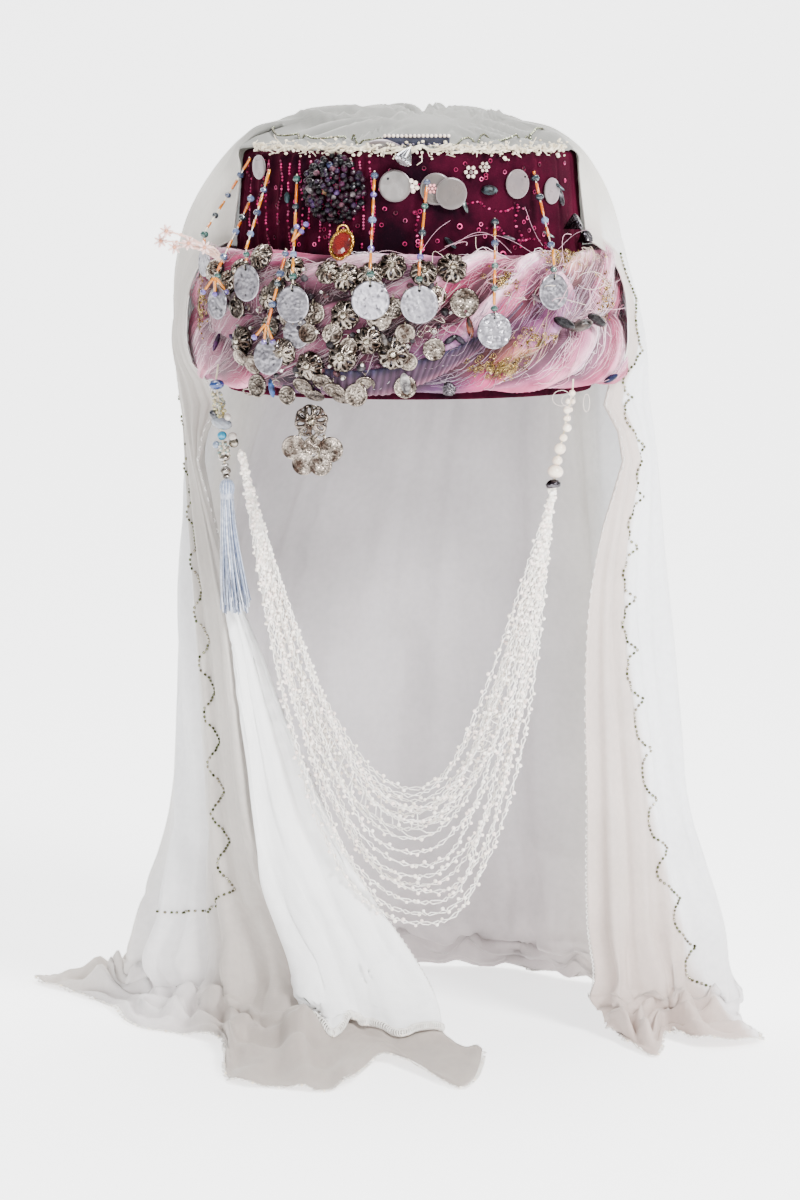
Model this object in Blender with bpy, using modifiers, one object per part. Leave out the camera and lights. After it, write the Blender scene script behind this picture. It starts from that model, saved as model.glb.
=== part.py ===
"""Bridal fez: a velvet fez with a twisted roll, coins, beads, a chin swag and a long veil.

All sizes below are in millimetres, and MM turns them into Blender's metres.
+Z is up and the front faces -Y. The origin is the middle of the fez's open rim.
An azimuth is 0 at the front, and negative towards -X.
"""
import math

import bmesh
import bpy
from mathutils import Matrix, Vector

MM = 0.001
GAP = 0.4
SEAT_GAP = 0.2
SIDE_MARGIN = 1.0

# Fez: a tapered shell with a rounded top edge
FEZ_BASE_RADIUS = 93.2
FEZ_TOP_RADIUS = 85.0
FEZ_HEIGHT = 121.5
FEZ_EDGE_ROUND = 4.0
FEZ_WALL = 2.6
PLEAT_START = -80.0
PLEAT_END = -14.0
PLEAT_STEP = 6.6
PLEAT_DEPTH = 1.8
PLAIN_STEP = 11.7

# Roll: a padded ring of two strands twisted round each other
ROLL_MIDDLE = 38.0
ROLL_HALF_HEIGHT = 35.5
ROLL_DEPTH = 22.0
ROLL_INNER_GAP = 0.7
ROLL_TWISTS = 3
ROLL_PINCH_AZIMUTH = 70.0
ROLL_PINCH = 0.6
ROLL_SQUARENESS = 0.8
ROLL_SECTIONS = 42
ROLL_SIDES = 14

# Veil: one sheet, its rows given by height above the rim
VEIL_THICKNESS = 1.0
VEIL_FRONT_RADIUS = 82.3
VEIL_FRONT_HEIGHT = 122.9
VEIL_TOP_HEIGHT = 142.0
VEIL_FRONT_AZIMUTH = 73.0
VEIL_FRONT_COLUMNS = 14
VEIL_COLUMNS = 43
VEIL_FOOT_SHARE = 0.3
VEIL_FOOT_RISE = 4.0
FLOOR = -326.0

# Profile of the veil over the hat: height, radius on the left, on the back and on the right
VEIL_PROFILE = (
    (138.0, 62.0, 52.0, 50.0),
    (131.0, 78.0, 72.0, 70.0),
    (122.0, 90.0, 87.0, 86.0),
    (104.0, 104.5, 99.0, 100.0),
    (84.0, 114.5, 107.0, 108.5),
    (60.0, 119.6, 114.0, 113.5),
    (38.0, 120.5, 118.5, 119.5),
    (10.0, 120.0, 119.5, 123.0),
)

# Folds of the veil below the hat: azimuth over the roll, then the place (x, y) of the fold
# at each of three heights and at the hem, and how high the hem stands over the floor
VEIL_FOLD_HEIGHTS = (-100.0, -225.0, -295.0)
# Every second fold stands out by this much at each of those heights, over the sides and the back
VEIL_RIPPLES = (2.6, 4.0, 5.0)
VEIL_RIPPLE_REACH = 80.0
VEIL_FOLDS = (
    # azimuth, breast x, y, elbow x, y, low x, y, hem x, y, hem lift
    (-84, -88, -40, -37, -46, 8, -68, 36, -104, 0),
    (-86, -90, -42, -50, -48, -14, -70, 26, -184, 0),
    (-88, -92, -43, -62, -50, -30, -70, -12, -122, 3),
    (-90, -95, -45, -72, -50, -45, -70, -34, -185, 0),
    (-93, -99, -46, -82, -50, -58, -70, -60, -183, 0),
    (-97, -103, -38, -89, -40, -80, -54, -88, -164, 0),
    (-101, -106, -30, -98, -30, -92, -40, -94, -84, 3),
    (-106, -112, -20, -107, -20, -112, -28, -118, -54, 0),
    (-112, -115, -5, -118, -6, -127, -8, -140, -34, 0),
    (-119, -114, 11, -119, 10, -132, 10, -156, 16, 0),
    (-127, -113, 26, -121, 28, -142, 30, -178, 54, 0),
    (-136, -106, 42, -114, 46, -140, 54, -199, 88, 0),
    (-146, -99, 58, -104, 64, -120, 78, -158, 106, 0),
    (-156, -82, 72, -86, 80, -96, 94, -116, 118, 2),
    (-166, -62, 90, -66, 96, -72, 108, -80, 126, 0),
    (-176, -36, 99, -38, 106, -42, 116, -46, 131, 1),
    (-186, -8, 105, -10, 112, -12, 121, -12, 133, 0),
    (-196, 20, 104, 20, 110, 24, 120, 24, 132, 1),
    (-206, 46, 100, 50, 106, 54, 114, 56, 124, 0),
    (-216, 70, 88, 76, 92, 80, 94, 82, 96, 1),
    (-226, 92, 70, 98, 72, 102, 74, 104, 78, 0),
    (-236, 108, 52, 118, 54, 124, 54, 122, 58, 2),
    (-246, 124, 32, 136, 32, 144, 26, 144, 18, 0),
    (-254, 132, 12, 148, 6, 162, -12, 168, -36, 0),
    (-261, 130, -4, 146, -14, 164, -36, 177, -73, 0),
    (-266, 120, -16, 131, -26, 140, -50, 150, -88, 2),
    (-270, 111, -26, 118, -36, 124, -52, 130, -64, 3),
    (-273, 101, -32, 105, -38, 108, -54, 122, -110, 0),
    (-276, 92, -34, 91, -34, 94, -42, 104, -66, 2),
)

# Chin swag: end places, then one row for each strand
SWAG_LEFT = (-84.6, -56.5, -28.0)
SWAG_RIGHT = (71.5, -70.0, -42.4)
SWAG_BUNDLE_END = 0.40
SWAG_BUNDLE_RADII = (2.4, 6.4)
STRAND_RADIUS = 1.6
STRAND_POINTS = 17
SWAG_STRANDS = (
    # lowest x, lowest z, curve power, sideways offset of the strand in depth
    (2.0, -206.0, 2.05, 2.4),
    (3.0, -213.5, 2.10, -2.2),
    (1.0, -224.0, 2.20, 1.6),
    (5.0, -237.0, 2.30, -1.4),
    (6.0, -248.0, 2.40, 2.6),
    (9.0, -257.0, 2.55, -1.0),
    (8.0, -266.5, 2.70, 1.2),
)

# Hanging strands, each with the disc at its end
STRAND_TUBE_RADIUS = 1.5
STRAND_STANDOFF = 3.6
STRAND_STEPS = 6
STRAND_END_GAP = 0.45
DISC_CLEARANCE = 2.4
DISC_STANDOFF = 4.6
DISC_THICKNESS = 0.9
DISC_SIDES = 16
HANGING = (
    # top x, top z, top's distance from the velvet, disc x, disc z, disc diameter, disc tilt
    (-80.0, 117.5, -0.8, -103.0, 65.6, 13.8, 8.0),
    (-79.0, 99.0, -0.6, -95.6, 46.4, 16.0, 5.0),
    (-70.0, 112.0, -0.3, -80.8, 57.0, 18.0, -6.0),
    (-56.0, 110.0, -0.4, -57.4, 47.6, 18.0, 4.0),
    (-60.6, 74.4, 9.0, -69.8, 21.4, 17.6, 6.0),
    (-17.5, 112.0, 0.2, -19.4, 50.2, 18.6, -4.0),
    (8.4, 108.0, 3.0, 4.4, 48.2, 18.2, 3.0),
    (41.8, 88.0, -0.4, 41.0, 35.0, 17.6, 5.0),
    (61.5, 111.0, 0.2, 70.4, 53.2, 17.6, -7.0),
)
# A tenth disc lies flat behind the fifth strand, at (x, z)
BACK_DISC = (-55.6, 33.4, 15.0)

# Flat pearl discs on the velvet: x, z, diameter, layer (0 lies on the velvet)
TOP_DISCS = (
    (-75.5, 113.2, 12.0, 0),
    (-7.5, 104.9, 15.6, 0),
    (12.7, 103.4, 15.6, 0),
    (20.2, 101.2, 15.6, 1),
    (53.2, 105.4, 14.4, 0),
    (70.8, 101.5, 13.0, 0),
)
TOP_DISC_THICKNESS = 0.9
TOP_DISC_LAYER = 1.8

# Pierced rosettes on the roll: x, z, diameter
FILIGREE = (
    (-85.0, 62.0, 12.0),
    (-74.0, 70.0, 12.0),
    (-91.7, 56.0, 12.0),
    (-31.4, 61.0, 13.5),
    (-32.0, 42.6, 13.5),
    (-8.9, 66.5, 13.0),
    (20.5, 65.5, 14.0),
    (-84.0, 28.0, 13.0),
    (-49.6, 17.5, 13.0),
    (-33.4, 22.0, 13.5),
    (-8.4, 23.8, 14.0),
)
FILIGREE_PETALS = 6
FILIGREE_DOME = 3.4
FILIGREE_WALL = 0.7
FILIGREE_LEAN = 24.0

# Coins and small discs: x, z, diameter
COINS = (
    (-75.5, 6.5, 11.5),
    (-60.5, 2.5, 9.5),
    (-26.5, 3.5, 11.5),
    (-2.4, 7.5, 11.0),
    (11.6, 26.0, 11.0),
    (26.5, 48.5, 14.5),
)
COIN_THICKNESS = 1.1
COIN_SIDES = 12

# Right string: where it is sewn to the roll (x, z), its ends, then each pearl's place and diameter
PEARL_SEAT = (81.0, 9.0)
PEARL_TOP = (80.8, -71.5, 2.8)
PEARL_BOTTOM = (72.0, -70.0, -39.5)
PEARLS = (
    (0.02, 3.4),
    (0.12, 3.2),
    (0.22, 4.0),
    (0.32, 3.4),
    (0.43, 4.6),
    (0.55, 4.2),
    (0.68, 6.0),
    (0.82, 5.2),
    (0.95, 8.2),
)
# Left string: the same, with the place along the string, diameter and length of each bead
DROP_SEAT = (-96.0, 15.0)
DROP_TOP = (-97.0, -57.5, 7.6)
DROP_BOTTOM = (-92.0, -59.0, -41.5)
DROP_BEADS = (
    (0.05, 7.2, 4.6),
    (0.28, 5.8, 9.0),
    (0.44, 10.0, 6.0),
    (0.57, 4.6, 4.0),
    (0.70, 5.0, 4.0),
    (0.80, 5.6, 3.6),
    (0.93, 5.4, 4.6),
)
THREAD_RADIUS = 0.8
BEAD_SIDES = 10

# Tassel: distance below its top, radius and lean to the right of each section
TASSEL_TOP = (-91.6, -59.4, -41.9)
TASSEL_SECTIONS = (
    (0.0, 1.6, 0.0),
    (2.0, 3.4, 0.0),
    (7.0, 3.6, 0.1),
    (9.0, 2.7, 0.1),
    (24.0, 4.6, 0.4),
    (44.0, 6.2, 2.0),
    (61.0, 8.0, 4.2),
)
TASSEL_LOCKS = 9
TASSEL_LOCK_DEPTH = 0.22

# Edging along the front of the top
EDGING_RADIUS = 2.2
EDGING_LUMP = 0.45
EDGING_STEP = 4.6
EDGING_END = 64.0

# Dark rosette of beads: place (x, z), diameter and height of its dome
ROSETTE_PLACE = (-37.6, 103.2)
ROSETTE_DIAMETER = 33.0
ROSETTE_HEIGHT = 9.5
ROSETTE_PETALS = 10

# Crystal pendant: place (x, z), width and height
PENDANT_PLACE = (-32.6, 74.6)
PENDANT_WIDTH = 12.0
PENDANT_HEIGHT = 15.6
PENDANT_FACETS = 12
PENDANT_LEAN = 40.0
BAIL_RADIUS = 2.9
BAIL_WIRE = 0.55

# Rosette with coins that hangs under the roll: x, y, z
COIN_PENDANT = (-48.6, -98.5, -10.0)
PENDANT_HOOK_HEIGHT = 7.0
PENDANT_HOOK_WIRE = 0.9
PENDANT_LINK_WIRE = 0.8
PENDANT_COINS = (
    # x, z and diameter of each coin, from the rosette's middle
    (-8.6, -13.0, 12.0),
    (-3.8, -21.0, 11.5),
    (4.6, -21.6, 11.0),
    (9.4, -14.2, 12.5),
    (0.6, -12.0, 9.0),
)

TAB_SIZE = (33.0, 7.0, 5.6)
TAB_PLACE = (3.0, -76.0, 127.2)
TAB_ROUND = 1.8

# Cones and horns: name, x, z, base radius, length
SPIKES = (
    ("side_horn_1", 78.0, 86.0, 4.2, 9.5),
    ("side_horn_2", 84.0, 78.0, 3.6, 8.5),
    ("rim_stud", 18.1, 7.0, 3.6, 8.5),
)
TOP_CONE_PLACE = (-3.4, -92.2, 124.8)
TOP_CONE_RADIUS = 4.4
TOP_CONE_LENGTH = 10.5
CONE_SIDES = 12

# Colour, roughness and metallic value of each kind of material
FINISHES = {
    "velvet": ((0.13, 0.008, 0.035), 0.9, 0.0),
    "rose_silk": ((0.55, 0.26, 0.36), 0.5, 0.0),
    "muslin": ((0.62, 0.60, 0.57), 0.85, 0.0),
    "cream_thread": ((0.75, 0.72, 0.62), 0.8, 0.0),
    "navy_cloth": ((0.015, 0.02, 0.06), 0.7, 0.0),
    "dark_beads": ((0.03, 0.012, 0.03), 0.15, 0.2),
    "orange_crystal": ((0.85, 0.16, 0.04), 0.05, 0.0),
    "glass_beads": ((0.35, 0.28, 0.40), 0.2, 0.0),
    "hammered_silver": ((0.72, 0.72, 0.73), 0.3, 1.0),
    "pearl_shell": ((0.74, 0.70, 0.66), 0.3, 0.1),
    "antique_silver": ((0.30, 0.28, 0.27), 0.4, 1.0),
    "mixed_beads": ((0.16, 0.25, 0.42), 0.3, 0.1),
    "silver_blue_thread": ((0.42, 0.48, 0.58), 0.45, 0.2),
    "pearl": ((0.80, 0.75, 0.68), 0.25, 0.1),
    "seed_pearl": ((0.80, 0.73, 0.70), 0.35, 0.1),
    "dark_metal": ((0.10, 0.09, 0.10), 0.3, 0.9),
}


def clear_scene():
    """Remove what a new file holds."""
    for thing in list(bpy.data.objects):
        bpy.data.objects.remove(thing, do_unlink=True)


def make_finish(name):
    """A plain material with the finish's colour, roughness and metallic value."""
    colour, roughness, metallic = FINISHES[name]
    material = bpy.data.materials.get(name)
    if material is None:
        material = bpy.data.materials.new(name)
        material.use_nodes = True
        shader = material.node_tree.nodes["Principled BSDF"]
        shader.inputs["Base Color"].default_value = (*colour, 1.0)
        shader.inputs["Roughness"].default_value = roughness
        shader.inputs["Metallic"].default_value = metallic
    return material


def finish_mesh(mesh, name):
    """Turn a bmesh with millimetre coordinates into a mesh in metres."""
    bmesh.ops.scale(mesh, vec=(MM, MM, MM), verts=mesh.verts)
    data = bpy.data.meshes.new(name)
    mesh.to_mesh(data)
    mesh.free()
    return data


def add_object(name, data, finish, matrix=None):
    """Place a mesh or curve as one named piece, with its place given in millimetres."""
    piece = bpy.data.objects.new(name, data)
    if not data.materials:
        data.materials.append(make_finish(finish))
    COLLECTION.objects.link(piece)
    piece.parent = HAT
    if matrix is not None:
        place = matrix.copy()
        place.translation = matrix.translation * MM
        piece.matrix_basis = place
    return piece


def loft(sections, ring=True, loop=False, caps=True):
    """Skin the sections in order: ring closes each section, loop joins the last to the first."""
    mesh = bmesh.new()
    rows = [[mesh.verts.new(point) for point in section] for section in sections]
    count = len(rows[0])
    spans = len(rows) if loop else len(rows) - 1
    columns = count if ring else count - 1
    for row in range(spans):
        lower = rows[row]
        upper = rows[(row + 1) % len(rows)]
        for column in range(columns):
            after = (column + 1) % count
            mesh.faces.new((lower[column], lower[after], upper[after], upper[column]))
    if caps and not loop:
        mesh.faces.new(list(reversed(rows[0])))
        mesh.faces.new(rows[-1])
    if ring:
        bmesh.ops.recalc_face_normals(mesh, faces=mesh.faces)
    return mesh


def smoothstep(low, high, value):
    """Rise smoothly from 0 at low to 1 at high."""
    share = min(max((value - low) / (high - low), 0.0), 1.0)
    return share * share * (3.0 - 2.0 * share)


def mix(first, second, share):
    """The point at a share of the way between two points or numbers."""
    return first + (second - first) * share


def spline_point(points, place):
    """A point on the smooth curve through the given points, place counted in points."""
    last = len(points) - 1
    index = min(int(place), last - 1)
    share = place - index
    before = points[max(index - 1, 0)]
    start = points[index]
    end = points[index + 1]
    after = points[min(index + 2, last)]
    slope_start = (end - before) * 0.5
    slope_end = (after - start) * 0.5
    square = share * share
    cube = square * share
    return (
        start * (2 * cube - 3 * square + 1)
        + slope_start * (cube - 2 * square + share)
        + end * (3 * square - 2 * cube)
        + slope_end * (cube - square)
    )


def resample(points, count):
    """The same path with its points spread evenly along it."""
    lengths = [0.0]
    for first, second in zip(points, points[1:]):
        lengths.append(lengths[-1] + (second - first).length)
    spread = []
    index = 0
    for step in range(count):
        target = lengths[-1] * step / (count - 1)
        while index < len(points) - 2 and lengths[index + 1] < target:
            index += 1
        span = lengths[index + 1] - lengths[index]
        spread.append(points[index].lerp(points[index + 1], (target - lengths[index]) / span))
    return spread


def tube(path, radii, sides):
    """A closed tube whose sections stand square to the path, with a radius at each point."""
    sections = []
    across = None
    for index, point in enumerate(path):
        ahead = path[min(index + 1, len(path) - 1)]
        behind = path[max(index - 1, 0)]
        forward = (ahead - behind).normalized()
        if across is None:
            across = forward.orthogonal().normalized()
        across = (across - forward * across.dot(forward)).normalized()
        upward = forward.cross(across)
        turn = 2 * math.pi / sides
        sections.append([
            point + (across * math.cos(turn * side) + upward * math.sin(turn * side)) * radii[index]
            for side in range(sides)
        ])
    return loft(sections)


def polar(azimuth, radius, height):
    """The place at an azimuth in degrees, a radius and a height."""
    angle = math.radians(azimuth)
    return Vector((radius * math.sin(angle), -radius * math.cos(angle), height))


def fez_radius(height):
    """Outer radius of the velvet, without its pleats."""
    return mix(FEZ_BASE_RADIUS, FEZ_TOP_RADIUS, height / FEZ_HEIGHT)


def lobe(angle):
    """Section of two strands side by side: 1 on their outsides, smaller in the two grooves."""
    spread = ROLL_PINCH * abs(math.cos(angle))
    rest = math.sqrt(1.0 - (ROLL_PINCH * math.sin(angle)) ** 2)
    return (spread + rest) / (1.0 + ROLL_PINCH)


def roll_twist(azimuth):
    """How far the two strands have turned round each other at an azimuth."""
    return ROLL_TWISTS * math.radians(azimuth - ROLL_PINCH_AZIMUTH) + math.pi / 2


def hat_radius(azimuth, height):
    """Radius of the outermost surface at a place: the velvet with its pleats, or the roll."""
    share = (height - ROLL_MIDDLE) / ROLL_HALF_HEIGHT
    if abs(share) >= 1.0:
        pleated = PLEAT_START < azimuth < PLEAT_END and height > ROLL_MIDDLE
        return fez_radius(height) + PLEAT_DEPTH * pleated
    angle = math.copysign(math.asin(abs(share) ** (1.0 / ROLL_SQUARENESS)), share)
    across = math.cos(angle) ** ROLL_SQUARENESS * lobe(angle - roll_twist(azimuth))
    return fez_radius(height) + ROLL_INNER_GAP + ROLL_DEPTH * 0.5 * (1.0 + across)


def seat_radius(x, height, half, lean, gap):
    """Radius at which a flat piece of half width, leaning back, just clears what is behind it."""
    radius = fez_radius(height) + ROLL_DEPTH
    tip = math.radians(lean)
    for _ in range(3):
        azimuth = math.degrees(math.asin(max(-0.98, min(0.98, x / radius))))
        needed = 0.0
        for row in range(-4, 5):
            for column in range(-4, 5):
                aside = half * column / 4
                up = half * row / 4
                if aside * aside + up * up > half * half * 1.05:
                    continue
                turn = math.degrees(aside / radius)
                behind = hat_radius(azimuth + turn, height + up)
                needed = max(needed, behind * math.cos(math.radians(turn)) + up * math.tan(tip))
        radius = needed + gap / math.cos(tip)
    return radius


def front_place(x, height, radius):
    """The place seen from the front at x and a height, on a circle of at least the given radius."""
    radius = max(radius, abs(x) + SIDE_MARGIN)
    return Vector((x, -math.sqrt(radius * radius - x * x), height))


def facing(place, tilt=0.0, lean=0.0):
    """Turn a piece that faces +Z so that it faces out from the hat's axis at its place.

    The tilt turns it in its own plane, and the lean tips its face upwards.
    """
    azimuth = math.atan2(place.x, -place.y)
    turn = Matrix.Rotation(azimuth, 4, "Z")
    stand = Matrix.Rotation(math.radians(90.0 - lean), 4, "X")
    spin = Matrix.Rotation(math.radians(tilt), 4, "Z")
    return Matrix.Translation(place) @ turn @ stand @ spin


def build_fez():
    """Lofted shell, open below, with vertical pleats on the front left."""
    half = PLEAT_STEP / 2
    pleat_columns = round((PLEAT_END - PLEAT_START) / half)
    plain_columns = round((360.0 - PLEAT_END + PLEAT_START) / PLAIN_STEP)
    azimuths = [PLEAT_START + half * step for step in range(pleat_columns)]
    plain_span = 360.0 - (PLEAT_END - PLEAT_START)
    azimuths += [PLEAT_END + plain_span * step / plain_columns for step in range(plain_columns)]
    wall_top = FEZ_HEIGHT - FEZ_EDGE_ROUND
    shoulder = FEZ_TOP_RADIUS - FEZ_EDGE_ROUND * (1.0 - math.cos(math.radians(45.0)))
    # height, radius and share of the pleats' depth
    rows = (
        (0.0, fez_radius(0.0), 0.0),
        (ROLL_MIDDLE + ROLL_HALF_HEIGHT, fez_radius(ROLL_MIDDLE + ROLL_HALF_HEIGHT), 0.0),
        (92.0, fez_radius(92.0), 1.0),
        (wall_top - 2.0, fez_radius(wall_top - 2.0), 1.0),
        (FEZ_HEIGHT - FEZ_EDGE_ROUND * 0.3, shoulder, 0.4),
        (FEZ_HEIGHT, FEZ_TOP_RADIUS - FEZ_EDGE_ROUND, 0.0),
        (FEZ_HEIGHT, FEZ_TOP_RADIUS * 0.5, 0.0),
    )
    sections = []
    for height, radius, share in rows:
        section = []
        for index, azimuth in enumerate(azimuths):
            pleated = index % 2 == 1 and index < pleat_columns
            section.append(polar(azimuth, radius + PLEAT_DEPTH * share * pleated, height))
        sections.append(section)
    mesh = loft(sections, caps=False)
    mesh.verts.ensure_lookup_table()
    middle = mesh.verts.new((0.0, 0.0, FEZ_HEIGHT))
    count = len(azimuths)
    inner = mesh.verts[(len(rows) - 1) * count:len(rows) * count]
    for index in range(count):
        mesh.faces.new((inner[index], inner[(index + 1) % count], middle))
    bmesh.ops.recalc_face_normals(mesh, faces=mesh.faces)
    if sum(face.normal.z for face in mesh.faces) < 0:
        bmesh.ops.reverse_faces(mesh, faces=mesh.faces)
    crown = add_object("fez_crown", finish_mesh(mesh, "fez_crown"), "velvet")
    wall = crown.modifiers.new("wall", "SOLIDIFY")
    wall.thickness = FEZ_WALL * MM
    wall.offset = -1.0


def build_roll():
    """Ring of flattened sections whose two grooves wind round it."""
    sections = []
    for step in range(ROLL_SECTIONS):
        azimuth = 360.0 * step / ROLL_SECTIONS
        twist = roll_twist(azimuth)
        section = []
        for side in range(ROLL_SIDES):
            angle = 2 * math.pi * side / ROLL_SIDES
            factor = lobe(angle - twist)
            across = math.copysign(abs(math.cos(angle)) ** ROLL_SQUARENESS, math.cos(angle))
            along = math.copysign(abs(math.sin(angle)) ** ROLL_SQUARENESS, math.sin(angle))
            height = ROLL_MIDDLE + ROLL_HALF_HEIGHT * along
            depth = ROLL_DEPTH * 0.5 * (1.0 + across * factor)
            section.append(polar(azimuth, fez_radius(height) + ROLL_INNER_GAP + depth, height))
        sections.append(section)
    roll = add_object("turban_roll", finish_mesh(loft(sections, loop=True), "turban_roll"), "rose_silk")
    roll.data.shade_smooth()


def veil_radius(row, azimuth):
    """Radius of the veil's profile row, blended between the left, the back and the right."""
    _, left, back, right = VEIL_PROFILE[row]
    share = smoothstep(90.0, 150.0, -azimuth) - smoothstep(210.0, 270.0, -azimuth)
    side = left if azimuth > -180.0 else right
    return mix(side, back, share)


def veil_columns():
    """Control points of each fold of the veil, from the top edge of the hat to the hem."""
    first, last = VEIL_FOLDS[0][0], VEIL_FOLDS[-1][0]
    columns = []
    for number, (azimuth, *places, lift) in enumerate(VEIL_FOLDS):
        lean = 11.0 * smoothstep(24.0, 0.0, first - azimuth) if azimuth > -180 else 0.0
        lean -= 11.0 * smoothstep(24.0, 0.0, azimuth - last) if azimuth < -180 else 0.0
        points = []
        for row, (height, *_) in enumerate(VEIL_PROFILE):
            turned = azimuth + lean * (1.0 - smoothstep(122.0, 60.0, height))
            points.append(polar(turned, veil_radius(row, azimuth), height))
        for level, height in enumerate(VEIL_FOLD_HEIGHTS):
            plan = Vector((places[2 * level], places[2 * level + 1], 0.0))
            ripple = VEIL_RIPPLES[level] * (-1) ** number * (abs(azimuth + 180.0) < VEIL_RIPPLE_REACH)
            plan += plan.normalized() * ripple
            points.append(Vector((plan.x, plan.y, height)))
        hem = Vector((places[6], places[7], FLOOR + VEIL_THICKNESS + lift))
        foot = points[-1].lerp(hem, VEIL_FOOT_SHARE)
        foot.z = FLOOR + VEIL_FOOT_RISE + lift
        points += [foot, hem]
        columns.append(points)
    return columns


def veil_front_profile(radius):
    """Height of the veil over the front of the top."""
    rise = smoothstep(VEIL_FRONT_RADIUS, 20.0, radius)
    return mix(VEIL_FRONT_HEIGHT, VEIL_TOP_HEIGHT, rise)


def build_veil():
    """One sheet: a gathered dome over the top, and folds that fall from it round the back."""
    columns = veil_columns()
    pitch = (len(columns) - 1) / (VEIL_COLUMNS - 1)
    fine = [
        [spline_point([column[row] for column in columns], step * pitch) for row in range(len(columns[0]))]
        for step in range(VEIL_COLUMNS)
    ]
    # Places along each fold, counted in its control points
    rows = (0, 1, 2, 3, 4, 5.5, 7, 8, 9, 9.6, 10.3, 11, 11.5, 12)
    curtain = [[spline_point(points, row) for row in rows] for points in fine]
    mesh = bmesh.new()
    hanging = [[mesh.verts.new(point) for point in column] for column in curtain]
    for left, right in zip(hanging, hanging[1:]):
        for row in range(len(rows) - 1):
            mesh.faces.new((left[row], left[row + 1], right[row + 1], right[row]))
    # The front of the top ends at the edging, so its outer row stops there
    front = []
    for step in range(1, VEIL_FRONT_COLUMNS):
        azimuth = VEIL_FRONT_AZIMUTH * math.cos(math.pi * step / VEIL_FRONT_COLUMNS)
        side = smoothstep(EDGING_END, VEIL_FRONT_AZIMUTH, abs(azimuth))
        column = []
        for row in range(3):
            height, left_radius, _, right_radius = VEIL_PROFILE[row]
            edge = polar(azimuth, right_radius if azimuth > 0 else left_radius, height)
            radius = (60.0, 72.0, VEIL_FRONT_RADIUS)[row]
            front_edge = polar(azimuth, radius, veil_front_profile(radius))
            column.append(mesh.verts.new(front_edge.lerp(edge, side)))
        front.append(column)
    ring = [column[:3] for column in hanging] + front
    for index, column in enumerate(ring):
        after = ring[(index + 1) % len(ring)]
        for row in range(2):
            if index >= len(hanging) - 1:
                mesh.faces.new((column[row], column[row + 1], after[row + 1], after[row]))
    # The dome inside the first row, down to one middle point
    outer = [column[0] for column in ring]
    for share in (0.66, 0.33):
        height = mix(VEIL_TOP_HEIGHT, VEIL_PROFILE[0][0], share * share)
        inner = []
        for vert in outer:
            rise = mix(height, vert.co.z, share * share * 0.5)
            inner.append(mesh.verts.new((vert.co.x * share, vert.co.y * share, rise)))
        for index, vert in enumerate(outer):
            after = (index + 1) % len(outer)
            mesh.faces.new((inner[index], vert, outer[after], inner[after]))
        outer = inner
    middle = mesh.verts.new((0.0, 0.0, VEIL_TOP_HEIGHT))
    for index, vert in enumerate(outer):
        mesh.faces.new((middle, vert, outer[(index + 1) % len(outer)]))
    bmesh.ops.recalc_face_normals(mesh, faces=mesh.faces)
    if middle.link_faces[0].normal.z < 0:
        bmesh.ops.reverse_faces(mesh, faces=mesh.faces)
    veil = add_object("veil", finish_mesh(mesh, "veil"), "muslin")
    veil.data.shade_smooth()
    wall = veil.modifiers.new("wall", "SOLIDIFY")
    wall.thickness = VEIL_THICKNESS * MM
    wall.offset = -1.0


def build_edging():
    """Lumpy cord on the rounded front edge of the top."""
    reach = FEZ_EDGE_ROUND + GAP + EDGING_RADIUS + EDGING_LUMP
    slant = math.radians(44.0)
    radius = FEZ_TOP_RADIUS - FEZ_EDGE_ROUND + reach * math.sin(slant)
    height = FEZ_HEIGHT - FEZ_EDGE_ROUND + reach * math.cos(slant)
    count = round(2 * EDGING_END / EDGING_STEP) + 1
    path = []
    radii = []
    for step in range(count):
        azimuth = EDGING_END * (2 * step / (count - 1) - 1)
        swell = PLEAT_DEPTH * 0.5 * (PLEAT_START < azimuth < PLEAT_END)
        path.append(polar(azimuth, radius + swell, height + swell * 0.3))
        radii.append(EDGING_RADIUS + EDGING_LUMP * (-1) ** step)
    add_object("veil_edging", finish_mesh(tube(path, radii, 6), "veil_edging"), "cream_thread")


def build_tab():
    """Small rounded pad on the front of the veil's top."""
    mesh = bmesh.new()
    bmesh.ops.create_cube(mesh, size=1.0)
    bmesh.ops.scale(mesh, vec=TAB_SIZE, verts=mesh.verts)
    data = finish_mesh(mesh, "navy_tab")
    tab = add_object("navy_tab", data, "navy_cloth", Matrix.Translation(TAB_PLACE))
    edge = tab.modifiers.new("round", "BEVEL")
    edge.width = TAB_ROUND * MM
    edge.segments = 2


def disc_mesh(name, diameter, thickness, sides):
    """A flat round disc that faces +Z, with its middle at the origin."""
    mesh = bmesh.new()
    bmesh.ops.create_cone(
        mesh, cap_ends=True, segments=sides, radius1=diameter / 2, radius2=diameter / 2, depth=thickness
    )
    return finish_mesh(mesh, name)


def hanging_radius(height):
    """How far from the axis a strand hangs: on the velvet, then out over the roll's shoulder."""
    velvet = fez_radius(height) + STRAND_STANDOFF + STRAND_TUBE_RADIUS
    shoulder_top = ROLL_MIDDLE + ROLL_HALF_HEIGHT + 4.0
    front = fez_radius(ROLL_MIDDLE) + ROLL_DEPTH + STRAND_TUBE_RADIUS + DISC_STANDOFF - 1.0
    return mix(front, velvet, smoothstep(60.0, shoulder_top + 11.0, height))


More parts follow.
